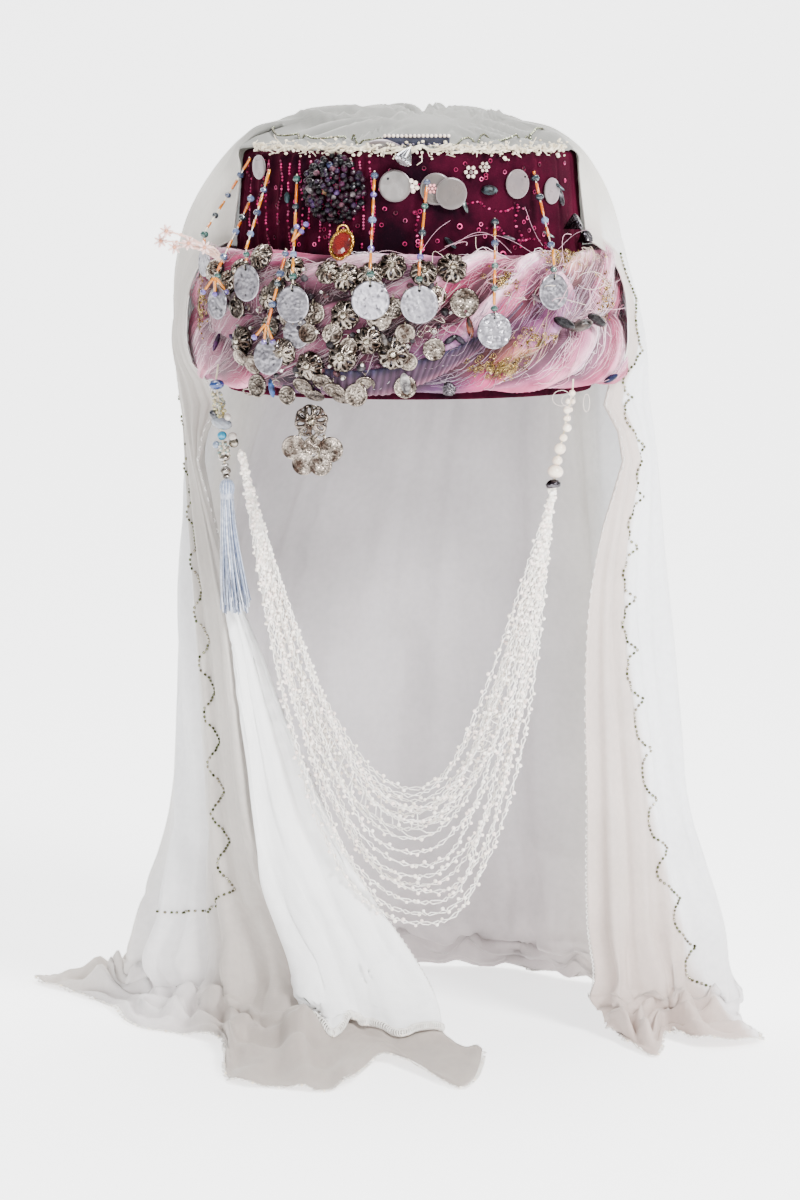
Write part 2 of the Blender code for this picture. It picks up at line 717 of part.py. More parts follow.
def build_strands():
    """Beaded strands as tubes, each with the disc that hangs at its end."""
    for index, (top_x, top_z, off, disc_x, disc_z, diameter, tilt) in enumerate(HANGING, start=1):
        end_z = disc_z + diameter / 2 + GAP + STRAND_END_GAP
        clear = seat_radius(disc_x, disc_z, diameter / 2, 0.0, DISC_CLEARANCE)
        disc_radius = max(hanging_radius(disc_z + diameter / 2), clear)
        path = []
        for step in range(STRAND_STEPS + 1):
            height = mix(top_z, end_z, step / STRAND_STEPS)
            share = min(step / (STRAND_STEPS - 1), 1.0)
            x = mix(top_x, disc_x, share)
            radius = mix(hanging_radius(height), disc_radius, share ** 3)
            if step == 0:
                radius = seat_radius(x, height, STRAND_TUBE_RADIUS, 0.0, STRAND_TUBE_RADIUS + off)
            path.append(front_place(x, height, radius))
        name = f"bead_strand_{index}"
        strand = tube(path, [STRAND_TUBE_RADIUS] * len(path), 8)
        add_object(name, finish_mesh(strand, name), "glass_beads")
        disc_name = f"hanging_disc_{index}"
        place = front_place(disc_x, disc_z, disc_radius)
        data = disc_mesh(disc_name, diameter, DISC_THICKNESS, DISC_SIDES)
        add_object(disc_name, data, "hammered_silver", facing(place, tilt))
    x, height, diameter = BACK_DISC
    place = front_place(x, height, seat_radius(x, height, diameter / 2, 0.0, SEAT_GAP + DISC_THICKNESS / 2))
    data = disc_mesh("hanging_disc_10", diameter, DISC_THICKNESS, DISC_SIDES)
    add_object("hanging_disc_10", data, "hammered_silver", facing(place))


def build_top_discs():
    """Flat pearl discs that lie on the velvet."""
    for index, (x, height, diameter, layer) in enumerate(TOP_DISCS, start=1):
        gap = GAP + TOP_DISC_THICKNESS / 2 + layer * TOP_DISC_LAYER
        place = front_place(x, height, seat_radius(x, height, diameter / 2, 0.0, gap))
        data = disc_mesh(f"top_disc_{index}", diameter, TOP_DISC_THICKNESS, DISC_SIDES)
        add_object(f"top_disc_{index}", data, "pearl_shell", facing(place))


def filigree_bmesh(diameter):
    """Domed rosette of petals, each pierced by one slot, as an open surface that faces +Z."""
    mesh = bmesh.new()
    points = FILIGREE_PETALS * 2
    # share of the radius in the middle of a petal and between petals
    rings = ((0.30, 0.30), (0.66, 0.62), (1.0, 0.84))
    rows = []
    for on_petal, between in rings:
        row = []
        for step in range(points):
            angle = 2 * math.pi * (step + 0.5) / points
            share = on_petal if step % 2 == 0 else between
            height = FILIGREE_DOME * (1.0 - share * share)
            radius = diameter / 2 * share
            row.append(mesh.verts.new((radius * math.cos(angle), radius * math.sin(angle), height)))
        rows.append(row)
    middle = mesh.verts.new((0.0, 0.0, FILIGREE_DOME))
    for step in range(points):
        after = (step + 1) % points
        mesh.faces.new((middle, rows[0][step], rows[0][after]))
        if step % 2 == 1:
            mesh.faces.new((rows[0][step], rows[1][step], rows[1][after], rows[0][after]))
        mesh.faces.new((rows[1][step], rows[2][step], rows[2][after], rows[1][after]))
    return mesh


def build_filigree():
    """Pierced rosettes that lie on the roll's upper and outer side."""
    for index, (x, height, diameter) in enumerate(FILIGREE, start=1):
        name = f"filigree_{index}"
        lean = FILIGREE_LEAN * smoothstep(ROLL_MIDDLE + 12.0, ROLL_MIDDLE + 32.0, height)
        radius = seat_radius(x, height, diameter / 2, lean, FILIGREE_WALL / 2)
        place = front_place(x, height, radius)
        rosette = add_object(name, finish_mesh(filigree_bmesh(diameter), name), "antique_silver",
                             facing(place, lean=lean))
        wall = rosette.modifiers.new("wall", "SOLIDIFY")
        wall.thickness = FILIGREE_WALL * MM
        wall.offset = 0.0


def build_coins():
    """Coins that hang flat in front of the roll's lower side."""
    for index, (x, height, diameter) in enumerate(COINS, start=1):
        name = f"coin_{index}"
        radius = seat_radius(x, height, diameter / 2, 0.0, GAP + COIN_THICKNESS / 2)
        place = front_place(x, height, radius)
        data = disc_mesh(name, diameter, COIN_THICKNESS, COIN_SIDES)
        add_object(name, data, "antique_silver", facing(place))


def bead_string(seat, top, bottom, beads, thread, sides):
    """Beads on a thread from its seat on the roll, then between two places.

    Each bead has its share of the way, its diameter and its length.
    """
    span = bottom - top
    path = [front_place(*seat, seat_radius(*seat, thread, 0.0, thread + SEAT_GAP)), top]
    radii = [thread, thread]
    for share, diameter, length in beads:
        middle = share * span.length
        for along, across in ((-0.5, 0.42), (-0.2, 1.0), (0.2, 1.0), (0.5, 0.42)):
            place = max(middle + along * length, (path[-1] - top).length + 0.05)
            path.append(top + span * (place / span.length))
            radii.append(max(diameter / 2 * across, thread))
    path.append(path[-1] + span.normalized() * 0.8)
    radii.append(thread)
    return tube(path, radii, sides)


def build_strings():
    """The pearls on the right and the mixed beads on the left of the chin swag."""
    pearls = [(share, diameter, diameter * 0.94) for share, diameter in PEARLS]
    right = bead_string(PEARL_SEAT, Vector(PEARL_TOP), Vector(PEARL_BOTTOM), pearls, THREAD_RADIUS, BEAD_SIDES)
    add_object("pearl_string", finish_mesh(right, "pearl_string"), "pearl").data.shade_smooth()
    left = bead_string(DROP_SEAT, Vector(DROP_TOP), Vector(DROP_BOTTOM), DROP_BEADS, THREAD_RADIUS, BEAD_SIDES)
    add_object("left_drop", finish_mesh(left, "left_drop"), "mixed_beads").data.shade_smooth()


def build_tassel():
    """A head with a flared skirt of locks."""
    sections = []
    for below, radius, lean in TASSEL_SECTIONS:
        depth = TASSEL_LOCK_DEPTH * smoothstep(8.0, 30.0, below)
        section = []
        for step in range(2 * TASSEL_LOCKS):
            angle = math.pi * step / TASSEL_LOCKS
            wide = radius * (1.0 - depth * (step % 2))
            section.append(Vector(TASSEL_TOP) + Vector((
                lean + wide * math.cos(angle), wide * math.sin(angle), -below
            )))
        sections.append(section)
    add_object("tassel", finish_mesh(loft(sections), "tassel"), "silver_blue_thread").data.shade_smooth()


def strand_path(lowest_x, lowest_z, power, offset):
    """One strand of the swag: a deep curve between the two ends through its lowest point."""
    left, right = Vector(SWAG_LEFT), Vector(SWAG_RIGHT)
    dense = []
    steps = 160
    for step in range(steps + 1):
        x = mix(left.x, right.x, step / steps)
        end = left if x < lowest_x else right
        share = (x - lowest_x) / (end.x - lowest_x)
        height = mix(lowest_z, end.z, share ** power)
        across = (x - left.x) / (right.x - left.x)
        depth = mix(left.y, right.y, across) + offset * (1.0 - smoothstep(0.45, 0.95, share))
        dense.append(Vector((x, depth, height)))
    return dense


def build_swag():
    """The strands, joined at both ends inside a gathered bundle."""
    parts = []
    bundle_points = 5
    middle_path = strand_path(*SWAG_STRANDS[3])
    for end_index in (0, -1):
        path = middle_path if end_index == 0 else list(reversed(middle_path))
        lengths = resample(path, 41)
        cut = lengths[:int(41 * SWAG_BUNDLE_END * 0.5)]
        points = resample(cut, bundle_points)
        small, large = SWAG_BUNDLE_RADII
        radii = [mix(small, large, step / (bundle_points - 1)) for step in range(bundle_points)]
        radii[-1] = large * 0.7
        parts.append(tube(points, radii, 8))
    for row in SWAG_STRANDS:
        path = resample(strand_path(*row), 61)
        inner = resample(path[5:-5], STRAND_POINTS)
        parts.append(tube(inner, [STRAND_RADIUS] * len(inner), 6))
    pieces = [add_object(f"swag_part_{index}", finish_mesh(part, "swag_part"), "seed_pearl")
              for index, part in enumerate(parts)]
    fuse("chin_swag", pieces)


def fuse(name, pieces):
    """Join closed pieces that overlap into one body."""
    base = pieces[0]
    for piece in pieces[1:]:
        union = base.modifiers.new("join", "BOOLEAN")
        union.operation = "UNION"
        union.object = piece
    bpy.context.view_layer.update()
    graph = bpy.context.evaluated_depsgraph_get()
    data = bpy.data.meshes.new_from_object(base.evaluated_get(graph))
    data.name = name
    data.transform(base.matrix_world)
    body = add_object(name, data, "seed_pearl")
    for piece in pieces:
        bpy.data.objects.remove(piece, do_unlink=True)
    return body


def build_rosette():
    """Low dome with scalloped petals in two tiers, flat behind."""
    x, height = ROSETTE_PLACE
    # share of the radius and share of the height of each tier
    tiers = ((0.86, 0.0), (1.0, 0.3), (0.78, 0.62), (0.55, 0.7), (0.5, 0.9), (0.2, 1.0))
    sections = []
    for share, rise in tiers:
        section = []
        for step in range(2 * ROSETTE_PETALS):
            angle = math.pi * step / ROSETTE_PETALS
            wide = ROSETTE_DIAMETER / 2 * share * (1.0 - 0.12 * (step % 2))
            section.append((wide * math.cos(angle), wide * math.sin(angle), ROSETTE_HEIGHT * rise))
        sections.append(section)
    place = front_place(x, height, fez_radius(height - 10.0) + PLEAT_DEPTH + GAP)
    add_object("bead_rosette", finish_mesh(loft(sections), "bead_rosette"), "dark_beads", facing(place))


def build_pendant():
    """Oval setting with a faceted stone, hung from a ring, fused into one body."""
    # share of the width, height above the back
    profile = ((0.80, 0.0), (1.0, 0.8), (1.0, 2.0), (0.84, 2.4), (0.80, 2.2), (0.46, 4.2))
    sections = []
    for share, rise in profile:
        section = []
        for step in range(PENDANT_FACETS):
            angle = 2 * math.pi * (step + 0.5) / PENDANT_FACETS
            section.append((
                PENDANT_WIDTH / 2 * share * math.cos(angle), PENDANT_HEIGHT / 2 * share * math.sin(angle), rise
            ))
        sections.append(section)
    bail_middle = Vector((0.0, PENDANT_HEIGHT / 2 + BAIL_RADIUS - 0.3, 1.3))
    ring = []
    for step in range(10):
        angle = 2 * math.pi * step / 10
        outward = Vector((math.cos(angle), math.sin(angle), 0.0))
        centre = bail_middle + outward * BAIL_RADIUS
        ring.append([
            centre + (outward * math.cos(turn) + Vector((0, 0, 1)) * math.sin(turn)) * BAIL_WIRE
            for turn in (2 * math.pi * side / 5 for side in range(5))
        ])
    stone = add_object("pendant_stone", finish_mesh(loft(sections), "pendant_stone"), "orange_crystal")
    bail = add_object("pendant_bail", finish_mesh(loft(ring, loop=True), "pendant_bail"), "orange_crystal")
    body = fuse("crystal_pendant", [stone, bail])
    body.data.materials.clear()
    body.data.materials.append(make_finish("orange_crystal"))
    x, height = PENDANT_PLACE
    place = front_place(x, height, seat_radius(x, height, PENDANT_HEIGHT / 2, PENDANT_LEAN, GAP))
    matrix = facing(place, tilt=4.0, lean=PENDANT_LEAN)
    matrix.translation = matrix.translation * MM
    body.matrix_basis = matrix


def build_coin_pendant():
    """Domed rosette with its coins, fused into one body under the roll."""
    pieces = []
    middle = Vector(COIN_PENDANT)
    upright = Matrix.Rotation(math.radians(90.0), 4, "X")
    dome = bmesh.new()
    bmesh.ops.create_cone(dome, cap_ends=True, segments=12, radius1=7.0, radius2=3.0, depth=3.4)
    pieces.append(add_object("pendant_dome", finish_mesh(dome, "pendant_dome"), "antique_silver",
                             Matrix.Translation(middle) @ upright))
    for index, (x, z, diameter) in enumerate(PENDANT_COINS):
        mesh = disc_mesh("pendant_coin", diameter, COIN_THICKNESS, COIN_SIDES)
        depth = 0.7 * (index % 2) - 0.4
        place = Matrix.Translation(middle + Vector((x, depth, z))) @ upright
        pieces.append(add_object(f"pendant_coin_{index}", mesh, "antique_silver", place))
        link_top = middle + Vector((x * 0.3, 0.0, -3.0))
        link_end = middle + Vector((x, depth, z + diameter * 0.3))
        link = finish_mesh(tube([link_top, link_end], [PENDANT_LINK_WIRE] * 2, 5), "pendant_link")
        pieces.append(add_object(f"pendant_link_{index}", link, "antique_silver"))
    wire = PENDANT_HOOK_WIRE
    hook_radius = seat_radius(middle.x, PENDANT_HOOK_HEIGHT, wire, 0.0, wire)
    hook_top = front_place(middle.x, PENDANT_HOOK_HEIGHT, hook_radius)
    hook = tube([middle + Vector((0.0, 0.5, 4.0)), hook_top], [wire] * 2, 6)
    pieces.append(add_object("pendant_hook", finish_mesh(hook, "pendant_hook"), "antique_silver"))
    body = fuse("coin_pendant", pieces)
    body.data.materials.clear()
    body.data.materials.append(make_finish("antique_silver"))


def cone_mesh(name, radius, length):
    """A cone with its base on the origin and its point towards +Z."""
    mesh = bmesh.new()
    bmesh.ops.create_cone(
        mesh, cap_ends=True, segments=CONE_SIDES, radius1=radius, radius2=radius * 0.12, depth=length,
        matrix=Matrix.Translation((0.0, 0.0, length / 2)),
    )
    return finish_mesh(mesh, name)


def build_spikes():
    """Metal cones and horns on the velvet, on the roll and on the top edge."""
    for name, x, height, radius, length in SPIKES:
        place = front_place(x, height, seat_radius(x, height, radius, 0.0, GAP))
        add_object(name, cone_mesh(name, radius, length), "dark_metal", facing(place))
    down = Matrix.Rotation(math.radians(170.0), 4, "X")
    cone = cone_mesh("top_cone", TOP_CONE_RADIUS, TOP_CONE_LENGTH)
    add_object("top_cone", cone, "hammered_silver", Matrix.Translation(TOP_CONE_PLACE) @ down)


clear_scene()
COLLECTION = bpy.data.collections.new("bridal_fez")
bpy.context.scene.collection.children.link(COLLECTION)
HAT = bpy.data.objects.new("bridal_fez", None)
COLLECTION.objects.link(HAT)
build_fez()
build_roll()
build_veil()
build_edging()
build_tab()
build_rosette()
build_pendant()
build_strands()
build_top_discs()
build_filigree()
build_coins()
build_coin_pendant()
build_strings()
build_tassel()
build_swag()
build_spikes()
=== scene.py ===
"""Looks of a bridal fez: velvet crown, twisted roll, long muslin veil, silver, beads and a chin swag."""

import logging
import math
from dataclasses import dataclass, field
from enum import Enum

import bmesh
import bpy
import numpy as np
from mathutils import Matrix, Vector


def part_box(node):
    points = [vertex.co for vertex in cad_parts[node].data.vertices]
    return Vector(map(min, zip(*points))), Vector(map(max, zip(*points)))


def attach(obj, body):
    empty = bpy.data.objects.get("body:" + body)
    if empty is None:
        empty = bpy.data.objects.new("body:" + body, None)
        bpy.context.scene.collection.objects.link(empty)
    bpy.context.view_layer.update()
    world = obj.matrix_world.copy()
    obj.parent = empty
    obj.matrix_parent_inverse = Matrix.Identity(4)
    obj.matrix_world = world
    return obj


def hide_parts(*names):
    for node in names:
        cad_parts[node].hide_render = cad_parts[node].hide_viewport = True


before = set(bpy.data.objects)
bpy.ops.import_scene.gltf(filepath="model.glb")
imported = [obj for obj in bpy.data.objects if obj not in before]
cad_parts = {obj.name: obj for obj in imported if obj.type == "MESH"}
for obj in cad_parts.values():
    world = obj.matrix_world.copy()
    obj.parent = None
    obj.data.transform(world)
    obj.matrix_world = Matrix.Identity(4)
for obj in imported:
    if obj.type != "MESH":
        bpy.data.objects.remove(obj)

LOG = logging.getLogger("bridal_fez")
MM = 0.001
BODY = "root"
FLOOR_HEIGHT = -326.0
Colour = tuple[float, float, float]


def linear(colour: Colour) -> tuple[float, float, float, float]:
    """Turn a screen colour of 0 to 255 into the linear colour that shaders use.

    Args:
        colour: red, green and blue.

    Returns:
        Linear red, green and blue, and 1 for alpha.
    """
    parts = [channel / 255.0 for channel in colour]
    curved = [part / 12.92 if part <= 0.04045 else ((part + 0.055) / 1.055) ** 2.4 for part in parts]
    return (curved[0], curved[1], curved[2], 1.0)


def smooth(low: float, high: float, value: np.ndarray | float) -> np.ndarray | float:
    """Soft step from 0 at low to 1 at high.

    Args:
        low: where it starts.
        high: where it ends.
        value: one number or an array.

    Returns:
        The share, from 0 to 1.
    """
    share = np.clip((np.asarray(value, dtype=float) - low) / (high - low), 0.0, 1.0)
    return share * share * (3.0 - 2.0 * share)


def lattice(across: np.ndarray, along: np.ndarray, seed: int) -> np.ndarray:
    """Smooth noise over a plane, from -1 to 1, the same for the same seed.

    Args:
        across: first coordinate, one unit for each lump.
        along: second coordinate.
        seed: which noise.

    Returns:
        The noise at each place.
    """
    table = np.random.default_rng(seed).uniform(-1.0, 1.0, (64, 64))
    first = np.floor(across).astype(int)
    second = np.floor(along).astype(int)
    share_a = smooth(0.0, 1.0, across - first)
    share_b = smooth(0.0, 1.0, along - second)
    low = table[first % 64, second % 64] * (1 - share_a) + table[(first + 1) % 64, second % 64] * share_a
    high = table[first % 64, (second + 1) % 64] * (1 - share_a)
    high = high + table[(first + 1) % 64, (second + 1) % 64] * share_a
    return low * (1 - share_b) + high * share_b


def ridge(phase: np.ndarray, sharpness: float = 1.6) -> np.ndarray:
    """Rounded folds with narrow valleys: 1 on a fold's crest and 0 in its valley.

    Args:
        phase: one unit for each fold.
        sharpness: above 1 the valleys are narrower.

    Returns:
        The height share of the fold.
    """
    return 1.0 - np.abs(np.cos(np.pi * phase)) ** (sharpness * 2.0)


def catmull(points: np.ndarray, places: np.ndarray) -> np.ndarray:
    """Points on a smooth curve through control points, along the first axis.

    Args:
        points: control points, any shape after the first axis.
        places: where on the curve, counted in control points.

    Returns:
        One row for each place.
    """
    last = len(points) - 1
    places = np.clip(places, 0.0, last - 1e-9)
    index = np.floor(places).astype(int)
    share = (places - index).reshape((-1,) + (1,) * (points.ndim - 1))
    before = points[np.maximum(index - 1, 0)]
    start = points[index]
    end = points[index + 1]
    after = points[np.minimum(index + 2, last)]
    square = share * share
    cube = square * share
    return 0.5 * (
        2.0 * start
        + (end - before) * share
        + (2.0 * before - 5.0 * start + 4.0 * end - after) * square
        + (3.0 * start - before - 3.0 * end + after) * cube
    )


def fez_radius(height: np.ndarray | float) -> np.ndarray | float:
    """Radius in mm of the velvet's outside at a height."""
    return 93.2 + (85.0 - 93.2) * height / 121.5


def polar(azimuth: float, radius: float, height: float) -> Vector:
    """Place in mm at an azimuth in degrees: 0 is the front, negative is the wearer's right."""
    turn = math.radians(azimuth)
    return Vector((radius * math.sin(turn), -radius * math.cos(turn), height))


def grid_normals(points: np.ndarray) -> np.ndarray:
    """Unit normals of a grid of points.

    Args:
        points: rows by columns by 3.

    Returns:
        The normals, in the same shape.
    """
    across = np.gradient(points, axis=0)
    along = np.gradient(points, axis=1)
    normal = np.cross(across, along)
    length = np.linalg.norm(normal, axis=2, keepdims=True)
    return normal / np.maximum(length, 1e-9)


class Graph:
    """Adds and joins the nodes of one shader or geometry tree."""

    def __init__(self, tree: bpy.types.NodeTree) -> None:
        """Keep the tree that is built."""
        self.tree = tree

    def add(self, kind: str, inputs: dict | None = None, **settings: object) -> bpy.types.Node:
        """Add a node.

        Args:
            kind: the node's type name.
            inputs: a socket or a value for each named or numbered input.
            settings: the node's own properties.

        Returns:
            The new node.
        """
        node = self.tree.nodes.new(kind)
        for name, value in settings.items():
            setattr(node, name, value)
        for key, value in (inputs or {}).items():
            if isinstance(value, bpy.types.NodeSocket):
                self.tree.links.new(value, node.inputs[key])
            else:
                node.inputs[key].default_value = value
        return node

    def math(self, operation: str, first: object, second: object = 0.0) -> bpy.types.NodeSocket:
        """Add a math node and give its output."""
        return self.add("ShaderNodeMath", {0: first, 1: second}, operation=operation).outputs[0]

    def ramp(self, value: object, low: float, high: float) -> bpy.types.NodeSocket:
        """Stretch low to high over 0 to 1, held at both ends."""
        inputs = {"Value": value, "From Min": low, "From Max": high}
        return self.add("ShaderNodeMapRange", inputs, interpolation_type="SMOOTHSTEP").outputs["Result"]

    def blend(self, factor: object, first: object, second: object) -> bpy.types.NodeSocket:
        """Mix two colours and give the output."""
        node = self.add("ShaderNodeMix", {"Factor": factor}, data_type="RGBA")
        for socket, value in ((node.inputs[6], first), (node.inputs[7], second)):
            if isinstance(value, bpy.types.NodeSocket):
                self.tree.links.new(value, socket)
            else:
                socket.default_value = value
        return node.outputs[2]


class Effects:
    """Shader node groups that several finishes share."""

    made: dict[str, bpy.types.NodeTree] = {}

    @classmethod
    def start(cls, name: str, inputs: dict[str, object],
              outputs: dict[str, str]) -> tuple[Graph, dict, dict]:
        """Open a new group.

        Args:
            name: the group's name.
            inputs: a default value, or None for a vector, for each named input.
            outputs: the socket type of each named output.

        Returns:
            The graph, the group's input sockets by name, and the output node's sockets by name.
        """
        tree = bpy.data.node_groups.new(name, "ShaderNodeTree")
        for label, value in inputs.items():
            kind = "NodeSocketVector" if value is None else "NodeSocketFloat"
            kind = "NodeSocketColor" if isinstance(value, tuple) else kind
            socket = tree.interface.new_socket(name=label, in_out="INPUT", socket_type=kind)
            if value is not None:
                socket.default_value = value
        for label, kind in outputs.items():
            tree.interface.new_socket(name=label, in_out="OUTPUT", socket_type=kind)
        graph = Graph(tree)
        entry = graph.add("NodeGroupInput")
        leave = graph.add("NodeGroupOutput")
        return graph, entry.outputs, leave.inputs

    @classmethod
    def mottle(cls) -> bpy.types.NodeTree:
        """Two colours in soft clouds with a finer grain over them.

        Returns:
            The group, with inputs Vector, Scale, Grain, First and Second.
        """
        if "mottle" in cls.made:
            return cls.made["mottle"]
        inputs = {"Vector": None, "Scale": 60.0, "Grain": 0.3, "First": (1, 1, 1, 1),
                  "Second": (0, 0, 0, 1)}
        outputs = {"Colour": "NodeSocketColor", "Value": "NodeSocketFloat"}
        graph, given, result = cls.start("mottle", inputs, outputs)
        cloud = graph.add("ShaderNodeTexNoise",
                          {"Vector": given["Vector"], "Scale": given["Scale"], "Detail": 3.0})
        fine_scale = graph.math("MULTIPLY", given["Scale"], 9.0)
        fine = graph.add("ShaderNodeTexNoise",
                         {"Vector": given["Vector"], "Scale": fine_scale, "Detail": 2.0})
        grain = graph.math("MULTIPLY", graph.math("SUBTRACT", fine.outputs[0], 0.5), given["Grain"])
        value = graph.math("ADD", graph.ramp(cloud.outputs[0], 0.32, 0.68), grain)
        held = graph.add("ShaderNodeClamp", {"Value": value}).outputs[0]
        graph.tree.links.new(graph.blend(held, given["First"], given["Second"]), result["Colour"])
        graph.tree.links.new(held, result["Value"])
        cls.made["mottle"] = graph.tree
        return graph.tree

    @classmethod
    def weave(cls) -> bpy.types.NodeTree:
        """Threads that cross, with slubs.

        Returns:
            The group, with inputs Vector and Threads (threads to a metre) and outputs Height and Mask.
        """
        if "weave" in cls.made:
            return cls.made["weave"]
        outputs = {"Height": "NodeSocketFloat", "Mask": "NodeSocketFloat"}
        graph, given, result = cls.start("weave", {"Vector": None, "Threads": 1200.0}, outputs)
        parts = graph.add("ShaderNodeSeparateXYZ", {0: given["Vector"]})
        waves = []
        for label in ("X", "Y"):
            turned = graph.math("MULTIPLY", parts.outputs[label], given["Threads"])
            wave = graph.math("SINE", graph.math("MULTIPLY", turned, 6.2832))
            waves.append(graph.math("ABSOLUTE", wave))
        slub = graph.add("ShaderNodeTexNoise", {"Vector": given["Vector"], "Scale": 260.0, "Detail": 2.0})
        crossed = graph.math("MULTIPLY", waves[0], waves[1])
        total = graph.math("ADD", crossed, graph.math("MULTIPLY", slub.outputs[0], 0.8))
        graph.tree.links.new(total, result["Height"])
        graph.tree.links.new(slub.outputs[0], result["Mask"])
        cls.made["weave"] = graph.tree
        return graph.tree

    @classmethod
    def dents(cls) -> bpy.types.NodeTree:
        """Small hammer marks with tarnish in the hollows.

        Returns:
            The group, with inputs Vector and Scale and outputs Height and Hollow.
        """
        if "dents" in cls.made:
            return cls.made["dents"]
        outputs = {"Height": "NodeSocketFloat", "Hollow": "NodeSocketFloat"}
        graph, given, result = cls.start("dents", {"Vector": None, "Scale": 700.0}, outputs)
        cell = graph.add(
            "ShaderNodeTexVoronoi",
            {"Vector": given["Vector"], "Scale": given["Scale"], "Smoothness": 0.35},
            feature="SMOOTH_F1",
        )
        grime = graph.add("ShaderNodeTexNoise", {"Vector": given["Vector"], "Scale": 380.0, "Detail": 5.0})
        bent = graph.add("ShaderNodeNewGeometry")
        crease = graph.ramp(bent.outputs["Pointiness"], 0.52, 0.44)
        hollow = graph.math("MAXIMUM", crease, graph.ramp(grime.outputs[0], 0.5, 0.72))
        graph.tree.links.new(cell.outputs["Distance"], result["Height"])
        graph.tree.links.new(hollow, result["Hollow"])
        cls.made["dents"] = graph.tree
        return graph.tree


class Surface(Enum):
    """How a finish's surface is broken up."""

    CLOTH = "cloth"
    NAP = "nap"
    METAL = "metal"
    BEAD = "bead"
    PEARL = "pearl"
    GLASS = "glass"
    THREAD = "thread"


